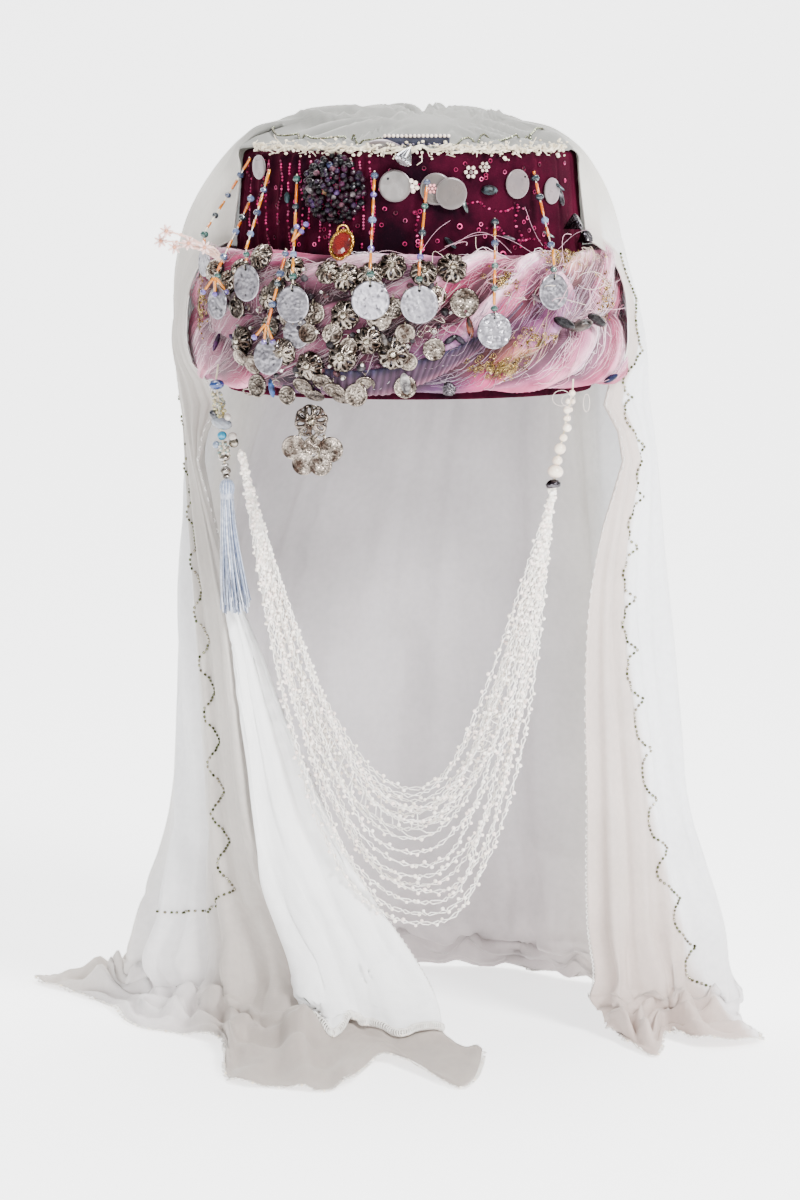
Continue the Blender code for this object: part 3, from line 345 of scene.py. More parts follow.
@dataclass(frozen=True)
class Finish:
    """One finish: its colours, and the numbers set on the shader's own sockets."""

    name: str
    slot: str
    surface: Surface
    colour: Colour
    second: Colour
    roughness: float = 0.5
    metallic: float = 0.0
    sheen: float = 0.0
    sheen_colour: Colour = (255, 255, 255)
    coat: float = 0.0
    bump: float = 0.3
    scale: float = 80.0
    tinted: bool = False
    weave_threads: float = 1200.0
    transmission: float = 0.0
    film: float = 0.0
    grain: float = 0.3
    glow: float = 0.0
    specular: float = 0.5

    def build(self) -> bpy.types.Material:
        """Make the material, or give the one that exists.

        Returns:
            The material.
        """
        found = bpy.data.materials.get(self.name)
        if found is not None:
            return found
        material = bpy.data.materials.new(self.name)
        material.use_nodes = True
        graph = Graph(material.node_tree)
        shader = material.node_tree.nodes["Principled BSDF"]
        fixed = {
            "Metallic": self.metallic,
            "Sheen Weight": self.sheen,
            "Sheen Roughness": 0.45,
            "Sheen Tint": linear(self.sheen_colour),
            "Coat Weight": self.coat,
            "Coat Roughness": 0.12,
            "Transmission Weight": self.transmission,
            "Thin Film Thickness": self.film,
            "Specular IOR Level": self.specular,
            "Subsurface Weight": self.glow,
            "Subsurface Scale": 0.004,
            "Subsurface Radius": (1.0, 1.0, 1.0),
        }
        for label, value in fixed.items():
            shader.inputs[label].default_value = value
        place = graph.add("ShaderNodeTexCoord")
        where = place.outputs["Object"]
        group = graph.add("ShaderNodeGroup", node_tree=Effects.mottle())
        graph.tree.links.new(where, group.inputs["Vector"])
        group.inputs["Scale"].default_value = self.scale
        group.inputs["Grain"].default_value = self.grain
        group.inputs["First"].default_value = linear(self.colour)
        group.inputs["Second"].default_value = linear(self.second)
        colour = group.outputs["Colour"]
        if self.tinted:
            tint = graph.add("ShaderNodeAttribute", attribute_name="tint")
            mixed = graph.add("ShaderNodeMix", {"Factor": 1.0}, data_type="RGBA", blend_type="MULTIPLY")
            graph.tree.links.new(tint.outputs["Color"], mixed.inputs[6])
            graph.tree.links.new(colour, mixed.inputs[7])
            colour = mixed.outputs[2]
        self.dress(graph, shader, where, colour, group.outputs["Value"])
        return material

    def dress(
        self,
        graph: Graph,
        shader: bpy.types.Node,
        where: bpy.types.NodeSocket,
        colour: bpy.types.NodeSocket,
        value: bpy.types.NodeSocket,
    ) -> None:
        """Join the colour, the roughness and the bump that this surface has.

        Args:
            graph: the material's tree.
            shader: its Principled shader.
            where: the object's coordinates.
            colour: the colour so far.
            value: the mottle from 0 to 1.
        """
        links = graph.tree.links
        if self.surface is Surface.METAL:
            group = graph.add("ShaderNodeGroup", node_tree=Effects.dents())
            links.new(where, group.inputs["Vector"])
            group.inputs["Scale"].default_value = self.weave_threads
            dark = tuple(part * 0.24 for part in linear(self.second)[:3]) + (1.0,)
            colour = graph.blend(group.outputs["Hollow"], colour, dark)
            height = group.outputs["Height"]
            spread = graph.math("MULTIPLY_ADD", group.outputs["Hollow"], 0.3)
            spread.node.inputs[2].default_value = self.roughness
            links.new(spread, shader.inputs["Roughness"])
        elif self.surface in (Surface.CLOTH, Surface.THREAD):
            group = graph.add("ShaderNodeGroup", node_tree=Effects.weave())
            vector = where
            if self.surface is Surface.CLOTH:
                vector = graph.add("ShaderNodeUVMap", uv_map="cloth").outputs[0]
            links.new(vector, group.inputs["Vector"])
            group.inputs["Threads"].default_value = self.weave_threads
            height = group.outputs["Height"]
            shaded = graph.math("MULTIPLY_ADD", group.outputs["Mask"], 0.2)
            shaded.node.inputs[2].default_value = 0.92
            colour = graph.add(
                "ShaderNodeMix", {"Factor": 1.0, 6: colour, 7: shaded}, data_type="RGBA",
                blend_type="MULTIPLY"
            ).outputs[2]
            shader.inputs["Roughness"].default_value = self.roughness
        else:
            noise_scale = 1400.0 if self.surface is Surface.NAP else 420.0
            noise = graph.add("ShaderNodeTexNoise", {"Vector": where, "Scale": noise_scale, "Detail": 4.0})
            height = noise.outputs[0]
            spread = graph.math("MULTIPLY_ADD", value, 0.14)
            spread.node.inputs[2].default_value = self.roughness
            links.new(spread, shader.inputs["Roughness"])
        # Painted sheen: velvet and pearls are blended towards their sheen colour where they turn away from
        # view, a painted rim of light.
        if self.surface in (Surface.PEARL, Surface.NAP):
            facing = graph.add("ShaderNodeLayerWeight", {"Blend": 0.35}).outputs["Facing"]
            rim = linear(self.sheen_colour)
            strength = 0.55 if self.surface is Surface.PEARL else 0.2
            factor = graph.math("MULTIPLY", facing, strength)
            colour = graph.blend(factor, colour, rim)
        links.new(colour, shader.inputs["Base Color"])
        bump = graph.add("ShaderNodeBump", {"Strength": self.bump, "Distance": 0.0006, "Height": height})
        links.new(bump.outputs[0], shader.inputs["Normal"])


VELVET = Finish(
    "velvet_burgundy", "velvet", Surface.NAP, (44, 0, 18), (12, 0, 7), roughness=0.9, sheen=0.04,
    sheen_colour=(130, 6, 58), bump=0.4, scale=48.0, grain=0.5, specular=0.08,
)
ROLL_SILK = Finish(
    "roll_silk_crepe", "roll_silk", Surface.CLOTH, (255, 248, 250), (206, 184, 196), roughness=0.46,
    sheen=0.3,
    sheen_colour=(255, 214, 230), bump=0.35, scale=90.0, tinted=True, weave_threads=900.0, specular=0.25,
)
MUSLIN = Finish(
    "muslin_ivory", "muslin", Surface.CLOTH, (255, 255, 255), (244, 244, 244), roughness=0.82, sheen=0.2,
    sheen_colour=(255, 252, 244), bump=0.14, scale=26.0, tinted=True, weave_threads=700.0, grain=0.2,
    glow=0.35,
)
CREAM_THREAD = Finish(
    "cream_thread_pale", "cream_thread", Surface.THREAD, (232, 222, 200), (196, 180, 150), roughness=0.75,
    sheen=0.3, bump=0.5, scale=300.0, weave_threads=600.0,
)
NAVY = Finish(
    "navy_cloth_deep", "navy_cloth", Surface.NAP, (26, 28, 48), (12, 12, 24), roughness=0.7, sheen=0.3,
    sheen_colour=(90, 96, 140), bump=0.4, scale=200.0,
)
SILVER = Finish(
    "hammered_silver_bright", "hammered_silver", Surface.METAL, (164, 161, 168), (134, 131, 139),
    roughness=0.3,
    metallic=0.85, bump=0.3, scale=240.0, weave_threads=520.0,
)
ANTIQUE = Finish(
    "antique_silver_worn", "antique_silver", Surface.METAL, (160, 149, 138), (52, 40, 34), roughness=0.2,
    metallic=1.0, bump=0.4, scale=200.0, weave_threads=900.0,
)
SHELL = Finish(
    "pearl_shell_white", "pearl_shell", Surface.PEARL, (84, 77, 73), (68, 63, 60), roughness=0.26, coat=0.3,
    sheen_colour=(236, 214, 226), bump=0.12, scale=160.0,
)
PEARL = Finish(
    "pearl_cream", "pearl", Surface.PEARL, (248, 240, 226), (226, 210, 192), roughness=0.16, coat=0.6,
    sheen_colour=(232, 206, 214), bump=0.05, scale=120.0, tinted=True,
)
SEED = Finish(
    "seed_pearl_cream", "seed_pearl", Surface.PEARL, (255, 253, 249), (252, 244, 238), roughness=0.28,
    coat=0.35,
    sheen_colour=(248, 228, 226), bump=0.2, scale=90.0, tinted=True,
)
GLASS_BEAD = Finish(
    "bead_glass", "strung_beads", Surface.BEAD, (255, 255, 255), (212, 206, 204), roughness=0.07, coat=0.7,
    bump=0.05, scale=260.0, tinted=True, transmission=0.35,
)
DARK_BEAD = Finish(
    "dark_bead_facets", "dark_beads", Surface.BEAD, (255, 255, 255), (46, 38, 48), roughness=0.2, coat=0.0,
    specular=0.25,
    metallic=0.1, bump=0.04, scale=300.0, tinted=True,
)
MIXED_BEAD = Finish(
    "mixed_bead_glass", "mixed_beads", Surface.BEAD, (214, 212, 212), (170, 164, 162), roughness=0.12,
    coat=0.6,
    bump=0.06, scale=260.0, tinted=True,
)
METAL_BEAD = Finish(
    "metal_bead_worn", "antique_silver", Surface.METAL, (232, 228, 220), (150, 140, 126), roughness=0.24,
    metallic=1.0, bump=0.3, scale=300.0, weave_threads=1200.0, tinted=True,
)
CRYSTAL = Finish(
    "orange_crystal_cut", "orange_crystal", Surface.GLASS, (124, 18, 14), (44, 2, 6), roughness=0.04,
    coat=0.6,
    bump=0.0, scale=70.0, transmission=0.3,
)
GILT = Finish(
    "gilt_setting", "antique_silver", Surface.METAL, (226, 180, 92), (150, 104, 44), roughness=0.22,
    metallic=1.0,
    bump=0.3, scale=240.0, weave_threads=1300.0,
)
DARK_METAL = Finish(
    "dark_metal_worn", "dark_metal", Surface.METAL, (96, 92, 96), (52, 48, 54), roughness=0.26,
    metallic=1.0,
    bump=0.3, scale=200.0, weave_threads=1000.0,
)
BRIGHT_CONE = Finish(
    "bright_cone_fluted", "bright_cone", Surface.METAL, (226, 226, 228), (150, 150, 156), roughness=0.16,
    metallic=1.0, bump=0.2, scale=200.0, weave_threads=900.0,
)
TASSEL = Finish(
    "tassel_thread_silver", "tassel_thread", Surface.THREAD, (255, 255, 255), (198, 202, 214),
    roughness=0.42,
    sheen=0.5, bump=0.25, scale=500.0, tinted=True, weave_threads=400.0,
)
TINTED_THREAD = Finish(
    "thread_tinted", "cream_thread", Surface.THREAD, (255, 255, 255), (232, 228, 226), roughness=0.6,
    sheen=0.4,
    bump=0.3, scale=400.0, tinted=True, weave_threads=600.0,
)


def mesh_object(name: str, mesh: bpy.types.Mesh, finish: Finish, shade: bool = True) -> bpy.types.Object:
    """Put a mesh in the scene with its finish.

    Args:
        name: the piece's name.
        mesh: its mesh, in metres and in place.
        finish: what it is made of.
        shade: True for a smooth surface.

    Returns:
        The object.
    """
    piece = bpy.data.objects.new(name, mesh)
    bpy.context.scene.collection.objects.link(piece)
    mesh.materials.clear()
    mesh.materials.append(finish.build())
    mesh.polygons.foreach_set("use_smooth", [shade] * len(mesh.polygons))
    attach(piece, BODY)
    return piece


def sheet_faces(rows: int, columns: int, start: int = 0, loop: bool = False) -> list[tuple[int, ...]]:
    """Faces of a grid of vertices that is numbered row by row.

    Args:
        rows: how many rows.
        columns: vertices in a row.
        start: number of the first vertex.
        loop: True if the last row joins the first.

    Returns:
        Four numbers for each face.
    """
    faces = []
    for row in range(rows if loop else rows - 1):
        here = start + row * columns
        after = start + ((row + 1) % rows) * columns
        for column in range(columns - 1):
            faces.append((here + column, here + column + 1, after + column + 1, after + column))
    return faces


def mesh_from(
    name: str,
    points: np.ndarray,
    faces: list[tuple[int, ...]],
    tint: np.ndarray | None = None,
    cloth: np.ndarray | None = None,
) -> bpy.types.Mesh:
    """A mesh from points in mm.

    Args:
        name: the mesh's name.
        points: the vertices, in mm.
        faces: vertex numbers of each face.
        tint: linear colour of each vertex, if it has one.
        cloth: the cloth's own flat coordinates of each vertex, in metres, if it has them.

    Returns:
        The mesh, in metres.
    """
    mesh = bpy.data.meshes.new(name)
    mesh.from_pydata((np.asarray(points) * MM).tolist(), [], faces)
    if tint is not None:
        layer = mesh.color_attributes.new("tint", "FLOAT_COLOR", "POINT")
        colours = np.ones((len(points), 4), dtype=np.float32)
        colours[:, :3] = tint
        layer.data.foreach_set("color", colours.ravel())
    if cloth is not None:
        corners = np.empty(len(mesh.loops), dtype=np.int32)
        mesh.loops.foreach_get("vertex_index", corners)
        layer = mesh.uv_layers.new(name="cloth")
        layer.data.foreach_set("uv", np.asarray(cloth, dtype=np.float32)[corners].ravel())
    mesh.update()
    return mesh


def tube_mesh(name: str, paths: list[np.ndarray], radii: list, sides: int,
              tints: list | None = None) -> bpy.types.Mesh:
    """Round tubes along paths, closed at their ends, in one mesh.

    Args:
        name: the mesh's name.
        paths: the points of each tube, in mm.
        radii: one radius, or one for each point, for each tube.
        sides: sides of the section.
        tints: linear colour of each tube, if they have one.

    Returns:
        The mesh.
    """
    points, faces, colours = [], [], []
    turn = np.arange(sides) * 2.0 * np.pi / sides
    for number, path in enumerate(paths):
        path = np.asarray(path, dtype=float)
        radius = np.broadcast_to(np.asarray(radii[number], dtype=float), (len(path),))
        along = np.gradient(path, axis=0)
        along /= np.maximum(np.linalg.norm(along, axis=1, keepdims=True), 1e-9)
        side = np.cross(along[0], (0.0, 0.0, 1.0) if abs(along[0][2]) < 0.9 else (1.0, 0.0, 0.0))
        start = len(points)
        for index, place in enumerate(path):
            side = side - along[index] * np.dot(side, along[index])
            side /= max(np.linalg.norm(side), 1e-9)
            other = np.cross(along[index], side)
            for angle in turn:
                points.append(place + radius[index] * (side * math.cos(angle) + other * math.sin(angle)))
        for row in range(len(path) - 1):
            for corner in range(sides):
                after = (corner + 1) % sides
                low = start + row * sides
                high = low + sides
                faces.append((low + corner, low + after, high + after, high + corner))
        faces.append(tuple(start + corner for corner in reversed(range(sides))))
        last = start + (len(path) - 1) * sides
        faces.append(tuple(last + corner for corner in range(sides)))
        if tints is not None:
            colours += [tints[number]] * (len(path) * sides)
    return mesh_from(name, np.array(points), faces, np.array(colours) if tints is not None else None)


def aim_turn(aim: Vector, spin: float = 0.0) -> tuple[float, float, float]:
    """Euler angles that point a template's Z axis along aim, spun about it by an angle in degrees."""
    turn = (aim.normalized().to_track_quat("Z", "Y").to_matrix()
            @ Matrix.Rotation(math.radians(spin), 3, "Z"))
    return tuple(turn.to_euler())


@dataclass
class Spots:
    """Places for one kind of bead, ring or sequin: where, which way, how large and what colour."""

    places: list = field(default_factory=list)
    turns: list = field(default_factory=list)
    sizes: list = field(default_factory=list)
    tints: list = field(default_factory=list)

    def put(self, place: Vector, aim: Vector, size: tuple, colour: Colour = (255, 255, 255),
            spin: float = 0.0) -> None:
        """Add one.

        Args:
            place: its middle, in mm.
            aim: which way its Z axis points.
            size: its width, depth and length along Z, in mm.
            colour: its screen colour.
            spin: its turn about Z, in degrees.
        """
        self.places.append(tuple(place))
        self.turns.append(aim_turn(Vector(aim), spin))
        self.sizes.append(size)
        self.tints.append(linear(colour))

    def scatter(self, name: str, template: bpy.types.Mesh, finish: Finish,
                shade: bool = True) -> bpy.types.Object:
        """Set the template on every place with Geometry Nodes and bake the result.

        Args:
            name: the new piece's name.
            template: a mesh of unit size.
            finish: the beads' finish.
            shade: True for smooth beads.

        Returns:
            The piece.
        """
        mesh = bpy.data.meshes.new(name)
        mesh.from_pydata((np.array(self.places) * MM).tolist(), [], [])
        for label, kind, key, values in (
            ("turn", "FLOAT_VECTOR", "vector", self.turns),
            ("size", "FLOAT_VECTOR", "vector", np.array(self.sizes) * MM),
            ("tint", "FLOAT_COLOR", "color", self.tints),
        ):
            layer = mesh.attributes.new(label, kind, "POINT")
            layer.data.foreach_set(key, np.array(values, dtype=np.float32).ravel())
        model = bpy.data.objects.new(name + "_template", template)
        bpy.context.scene.collection.objects.link(model)
        piece = bpy.data.objects.new(name, mesh)
        bpy.context.scene.collection.objects.link(piece)
        run_tree(piece, scatter_tree(), {"Template": model, "Material": finish.build(), "Smooth": shade})
        bpy.data.objects.remove(model)
        for label in ("turn", "size"):
            if label in piece.data.attributes:
                piece.data.attributes.remove(piece.data.attributes[label])
        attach(piece, BODY)
        return piece


def scatter_tree() -> bpy.types.NodeTree:
    """The tree that sets a template on points that carry turn, size and tint.

    Returns:
        The tree, with inputs Template, Material and Smooth.
    """
    found = bpy.data.node_groups.get("set_on_places")
    if found is not None:
        return found
    tree = bpy.data.node_groups.new("set_on_places", "GeometryNodeTree")
    kinds = {"Geometry": "Geometry", "Template": "Object", "Material": "Material", "Smooth": "Bool"}
    for label, kind in kinds.items():
        tree.interface.new_socket(name=label, in_out="INPUT", socket_type=f"NodeSocket{kind}")
    tree.interface.new_socket(name="Geometry", in_out="OUTPUT", socket_type="NodeSocketGeometry")
    graph = Graph(tree)
    given = graph.add("NodeGroupInput").outputs
    model = graph.add("GeometryNodeObjectInfo", {"Object": given["Template"]})
    turn = graph.add("GeometryNodeInputNamedAttribute", {"Name": "turn"}, data_type="FLOAT_VECTOR")
    size = graph.add("GeometryNodeInputNamedAttribute", {"Name": "size"}, data_type="FLOAT_VECTOR")
    angle = graph.add("FunctionNodeEulerToRotation", {0: turn.outputs["Attribute"]})
    placed = graph.add(
        "GeometryNodeInstanceOnPoints",
        {
            "Points": given["Geometry"],
            "Instance": model.outputs["Geometry"],
            "Rotation": angle.outputs[0],
            "Scale": size.outputs["Attribute"],
        },
    )
    real = graph.add("GeometryNodeRealizeInstances", {"Geometry": placed.outputs[0]})
    soft = graph.add("GeometryNodeSetShadeSmooth",
                     {"Geometry": real.outputs[0], "Shade Smooth": given["Smooth"]})
    done = graph.add("GeometryNodeSetMaterial",
                     {"Geometry": soft.outputs[0], "Material": given["Material"]})
    graph.add("NodeGroupOutput", {"Geometry": done.outputs[0]})
    return tree


def run_tree(piece: bpy.types.Object, tree: bpy.types.NodeTree, values: dict[str, object]) -> None:
    """Run a Geometry Nodes tree on a piece and keep the result as its plain mesh.

    Args:
        piece: the object that carries the points.
        tree: the tree.
        values: a value for each of the tree's named inputs.
    """
    modifier = piece.modifiers.new("made", "NODES")
    modifier.node_group = tree
    for item in tree.interface.items_tree:
        if item.in_out == "INPUT" and item.name in values:
            modifier[item.identifier] = values[item.name]
    graph = bpy.context.evaluated_depsgraph_get()
    graph.update()
    made = bpy.data.meshes.new_from_object(
        piece.evaluated_get(graph), preserve_all_data_layers=True, depsgraph=graph
    )
    piece.modifiers.clear()
    piece.data = made
    made.name = piece.name


class Templates:
    """Small unit meshes that are set many times."""

    @staticmethod
    def ball(sides: int = 10, rings: int = 7) -> bpy.types.Mesh:
        """A round bead one unit across."""
        mesh = bmesh.new()
        bmesh.ops.create_uvsphere(mesh, u_segments=sides, v_segments=rings, radius=0.5)
        return Templates.close(mesh, "ball")

    @staticmethod
    def gem(level: int = 1) -> bpy.types.Mesh:
        """A faceted bead one unit across."""
        mesh = bmesh.new()
        bmesh.ops.create_icosphere(mesh, subdivisions=level, radius=0.5)
        return Templates.close(mesh, "gem")

    @staticmethod
    def turned(profile: list[tuple[float, float]], sides: int, name: str = "turned") -> bpy.types.Mesh:
        """A closed turned form round Z.

        Args:
            profile: radius and height of each ring, from the bottom up.
            sides: how many sides.
            name: the mesh's name.

        Returns:
            The mesh.
        """
        mesh = bmesh.new()
        rings = []
        for radius, height in profile:
            rings.append(
                [
                    mesh.verts.new(
                        (
                            radius * math.cos(2 * math.pi * k / sides),
                            radius * math.sin(2 * math.pi * k / sides),
                            height,
                        )
                    )
                    for k in range(sides)
                ]
            )
        for low, high in zip(rings, rings[1:]):
            for k in range(sides):
                mesh.faces.new((low[k], low[(k + 1) % sides], high[(k + 1) % sides], high[k]))
        mesh.faces.new(list(reversed(rings[0])))
        mesh.faces.new(rings[-1])
        return Templates.close(mesh, name)

    @staticmethod
    def bugle() -> bpy.types.Mesh:
        """A long six-sided bead, one unit across and one long."""
        return Templates.turned([(0.36, -0.5), (0.5, -0.44), (0.5, 0.44), (0.36, 0.5)], 6, "bugle")

    @staticmethod
    def ring(thick: float = 0.14, sides: int = 14, section: int = 6) -> bpy.types.Mesh:
        """A ring one unit across, flat in X and Y.

        Args:
            thick: thickness of its wire.
            sides: corners round the ring.
            section: corners of the wire.

        Returns:
            The mesh.
        """
        mesh = bmesh.new()
        loops = []
        for k in range(sides):
            turn = 2 * math.pi * k / sides
            loop = []
            for s in range(section):
                lean = 2 * math.pi * s / section
                out = 0.5 - thick / 2 + thick / 2 * math.cos(lean)
                place = (out * math.cos(turn), out * math.sin(turn), thick / 2 * math.sin(lean))
                loop.append(mesh.verts.new(place))
            loops.append(loop)
        for k, loop in enumerate(loops):
            after = loops[(k + 1) % sides]
            for s in range(section):
                mesh.faces.new((loop[s], after[s], after[(s + 1) % section], loop[(s + 1) % section]))
        return Templates.close(mesh, "ring")

    @staticmethod
    def close(mesh: bmesh.types.BMesh, name: str) -> bpy.types.Mesh:
        """Turn the faces outwards and give the mesh.

        Args:
            mesh: the editable mesh, which is freed.
            name: its name.

        Returns:
            The finished mesh.
        """
        bmesh.ops.recalc_face_normals(mesh, faces=mesh.faces)
        data = bpy.data.meshes.new(name)
        mesh.to_mesh(data)
        mesh.free()
        return data


@dataclass
class FezCrown:
    """The velvet fez: a closed shell with gathered pleats on its front left."""

    columns: int = 500
    height: float = 121.5
    wall: float = 2.6
    edge: float = 4.0
    pleat_start: float = -84.0
    pleat_end: float = -12.0
    pleat_depth: float = 2.3

    def fold(self, azimuth: np.ndarray, height: np.ndarray) -> np.ndarray:
        """How far the velvet stands out of its cone.

        Args:
            azimuth: in degrees.
            height: in mm.

        Returns:
            Millimetres outwards.
        """
        inside = smooth(self.pleat_start, self.pleat_start + 8, azimuth)
        inside = inside * (1.0 - smooth(self.pleat_end - 3, self.pleat_end + 1, azimuth))
        drift = (0.35 * lattice(height / 34.0, azimuth / 9.0, 5)
                 + 0.12 * lattice(height / 11.0, azimuth / 4.0, 6))
        pleats = (ridge(azimuth / 5.1 + drift, 0.55)
                  * (0.75 + 0.35 * lattice(azimuth / 5.1, height / 26.0, 7)))
        pucker = 0.22 * np.sin(height / 1.35 + 2.0 * lattice(azimuth / 4.0, height / 18.0, 8))
        plain = (0.28 * lattice(azimuth / 9.0, height / 30.0, 9)
                 + 0.12 * lattice(azimuth / 2.2, height / 6.0, 10))
        seam = -0.5 * np.exp(-(((azimuth + 180.0) % 11.7 - 5.85) ** 2) / 0.5)
        return inside * (self.pleat_depth * pleats + pucker - 0.1) + (1.0 - inside) * (plain + seam - 0.2)

    def build(self) -> bpy.types.Object:
        """Make the shell and let it stand for the plain node.

        Returns:
            The piece.
        """
        azimuth = np.linspace(-180.0, 180.0, self.columns, endpoint=False)
        profile = [(0.0, self.height, 0.0), (40.0, self.height, 0.0), (70.0, self.height, 0.0)]
        for step in range(7):
            lean = math.radians(90.0 * step / 6)
            centre = fez_radius(self.height) - self.edge
            out = centre + self.edge * math.sin(lean)
            profile.append((out, self.height - self.edge + self.edge * math.cos(lean), step / 6))
        for height in np.linspace(self.height - self.edge - 1.5, 1.4, 66):
            profile.append((fez_radius(height), height, 1.0))
        profile += [(fez_radius(0.0) - 0.3, 0.5, 0.5), (fez_radius(0.0) - 1.0, 0.0, 0.0)]
        profile += [(fez_radius(0.0) - self.wall + 0.6, 0.0, 0.0), (fez_radius(0.0) - self.wall, 0.6, 0.0)]
        for height in np.linspace(12.0, self.height - self.wall - 3.0, 8):
            profile.append((fez_radius(height) - self.wall, height, 0.0))
        profile += [(80.0, self.height - self.wall, 0.0), (40.0, self.height - self.wall, 0.0)]
        profile += [(0.0, self.height - self.wall, 0.0)]
        rows = np.array(profile)
        turn = np.radians(azimuth)
        radius = (rows[None, 1:-1, 0]
                  + rows[None, 1:-1, 2] * self.fold(azimuth[:, None], rows[None, 1:-1, 1]))
        grid = np.empty((self.columns, len(rows) - 2, 3))
        grid[:, :, 0] = radius * np.sin(turn)[:, None]
        grid[:, :, 1] = -radius * np.cos(turn)[:, None]
        grid[:, :, 2] = rows[None, 1:-1, 1]
        inner = grid.shape[1]
        points = np.vstack([grid.reshape(-1, 3), [[0, 0, rows[0, 1]], [0, 0, rows[-1, 1]]]])
        faces = [tuple(reversed(face)) for face in sheet_faces(self.columns, inner, loop=True)]
        top, under = len(points) - 2, len(points) - 1
        for column in range(self.columns):
            after = (column + 1) % self.columns
            faces.append((column * inner, after * inner, top))
            faces.append((after * inner + inner - 1, column * inner + inner - 1, under))
        piece = mesh_object("fez_velvet", outward(mesh_from("fez_velvet", points, faces)), VELVET)
        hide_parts("fez_crown")
        return piece

    def surface(self, x: float, height: float, out: float = 0.0) -> tuple[Vector, Vector]:
        """Place on the front of the velvet, and the way that it faces there.

        Args:
            x: across, in mm.
            height: up, in mm.
            out: how far off the velvet.

        Returns:
            The place and the outward direction.
        """
        radius = float(fez_radius(height)) + out
        azimuth = math.degrees(math.asin(max(-0.999, min(0.999, x / radius))))
        radius += float(self.fold(np.array([azimuth]), np.array([height]))[0])
        place = polar(azimuth, radius, height)
        return place, Vector((place.x, place.y, 0.0)).normalized()


def outward(mesh: bpy.types.Mesh) -> bpy.types.Mesh:
    """Turn the faces of a closed mesh outwards.

    Args:
        mesh: the mesh, which is changed.

    Returns:
        The same mesh.
    """
    edit = bmesh.new()
    edit.from_mesh(mesh)
    bmesh.ops.recalc_face_normals(edit, faces=edit.faces)
    edit.to_mesh(mesh)
    edit.free()
    return mesh


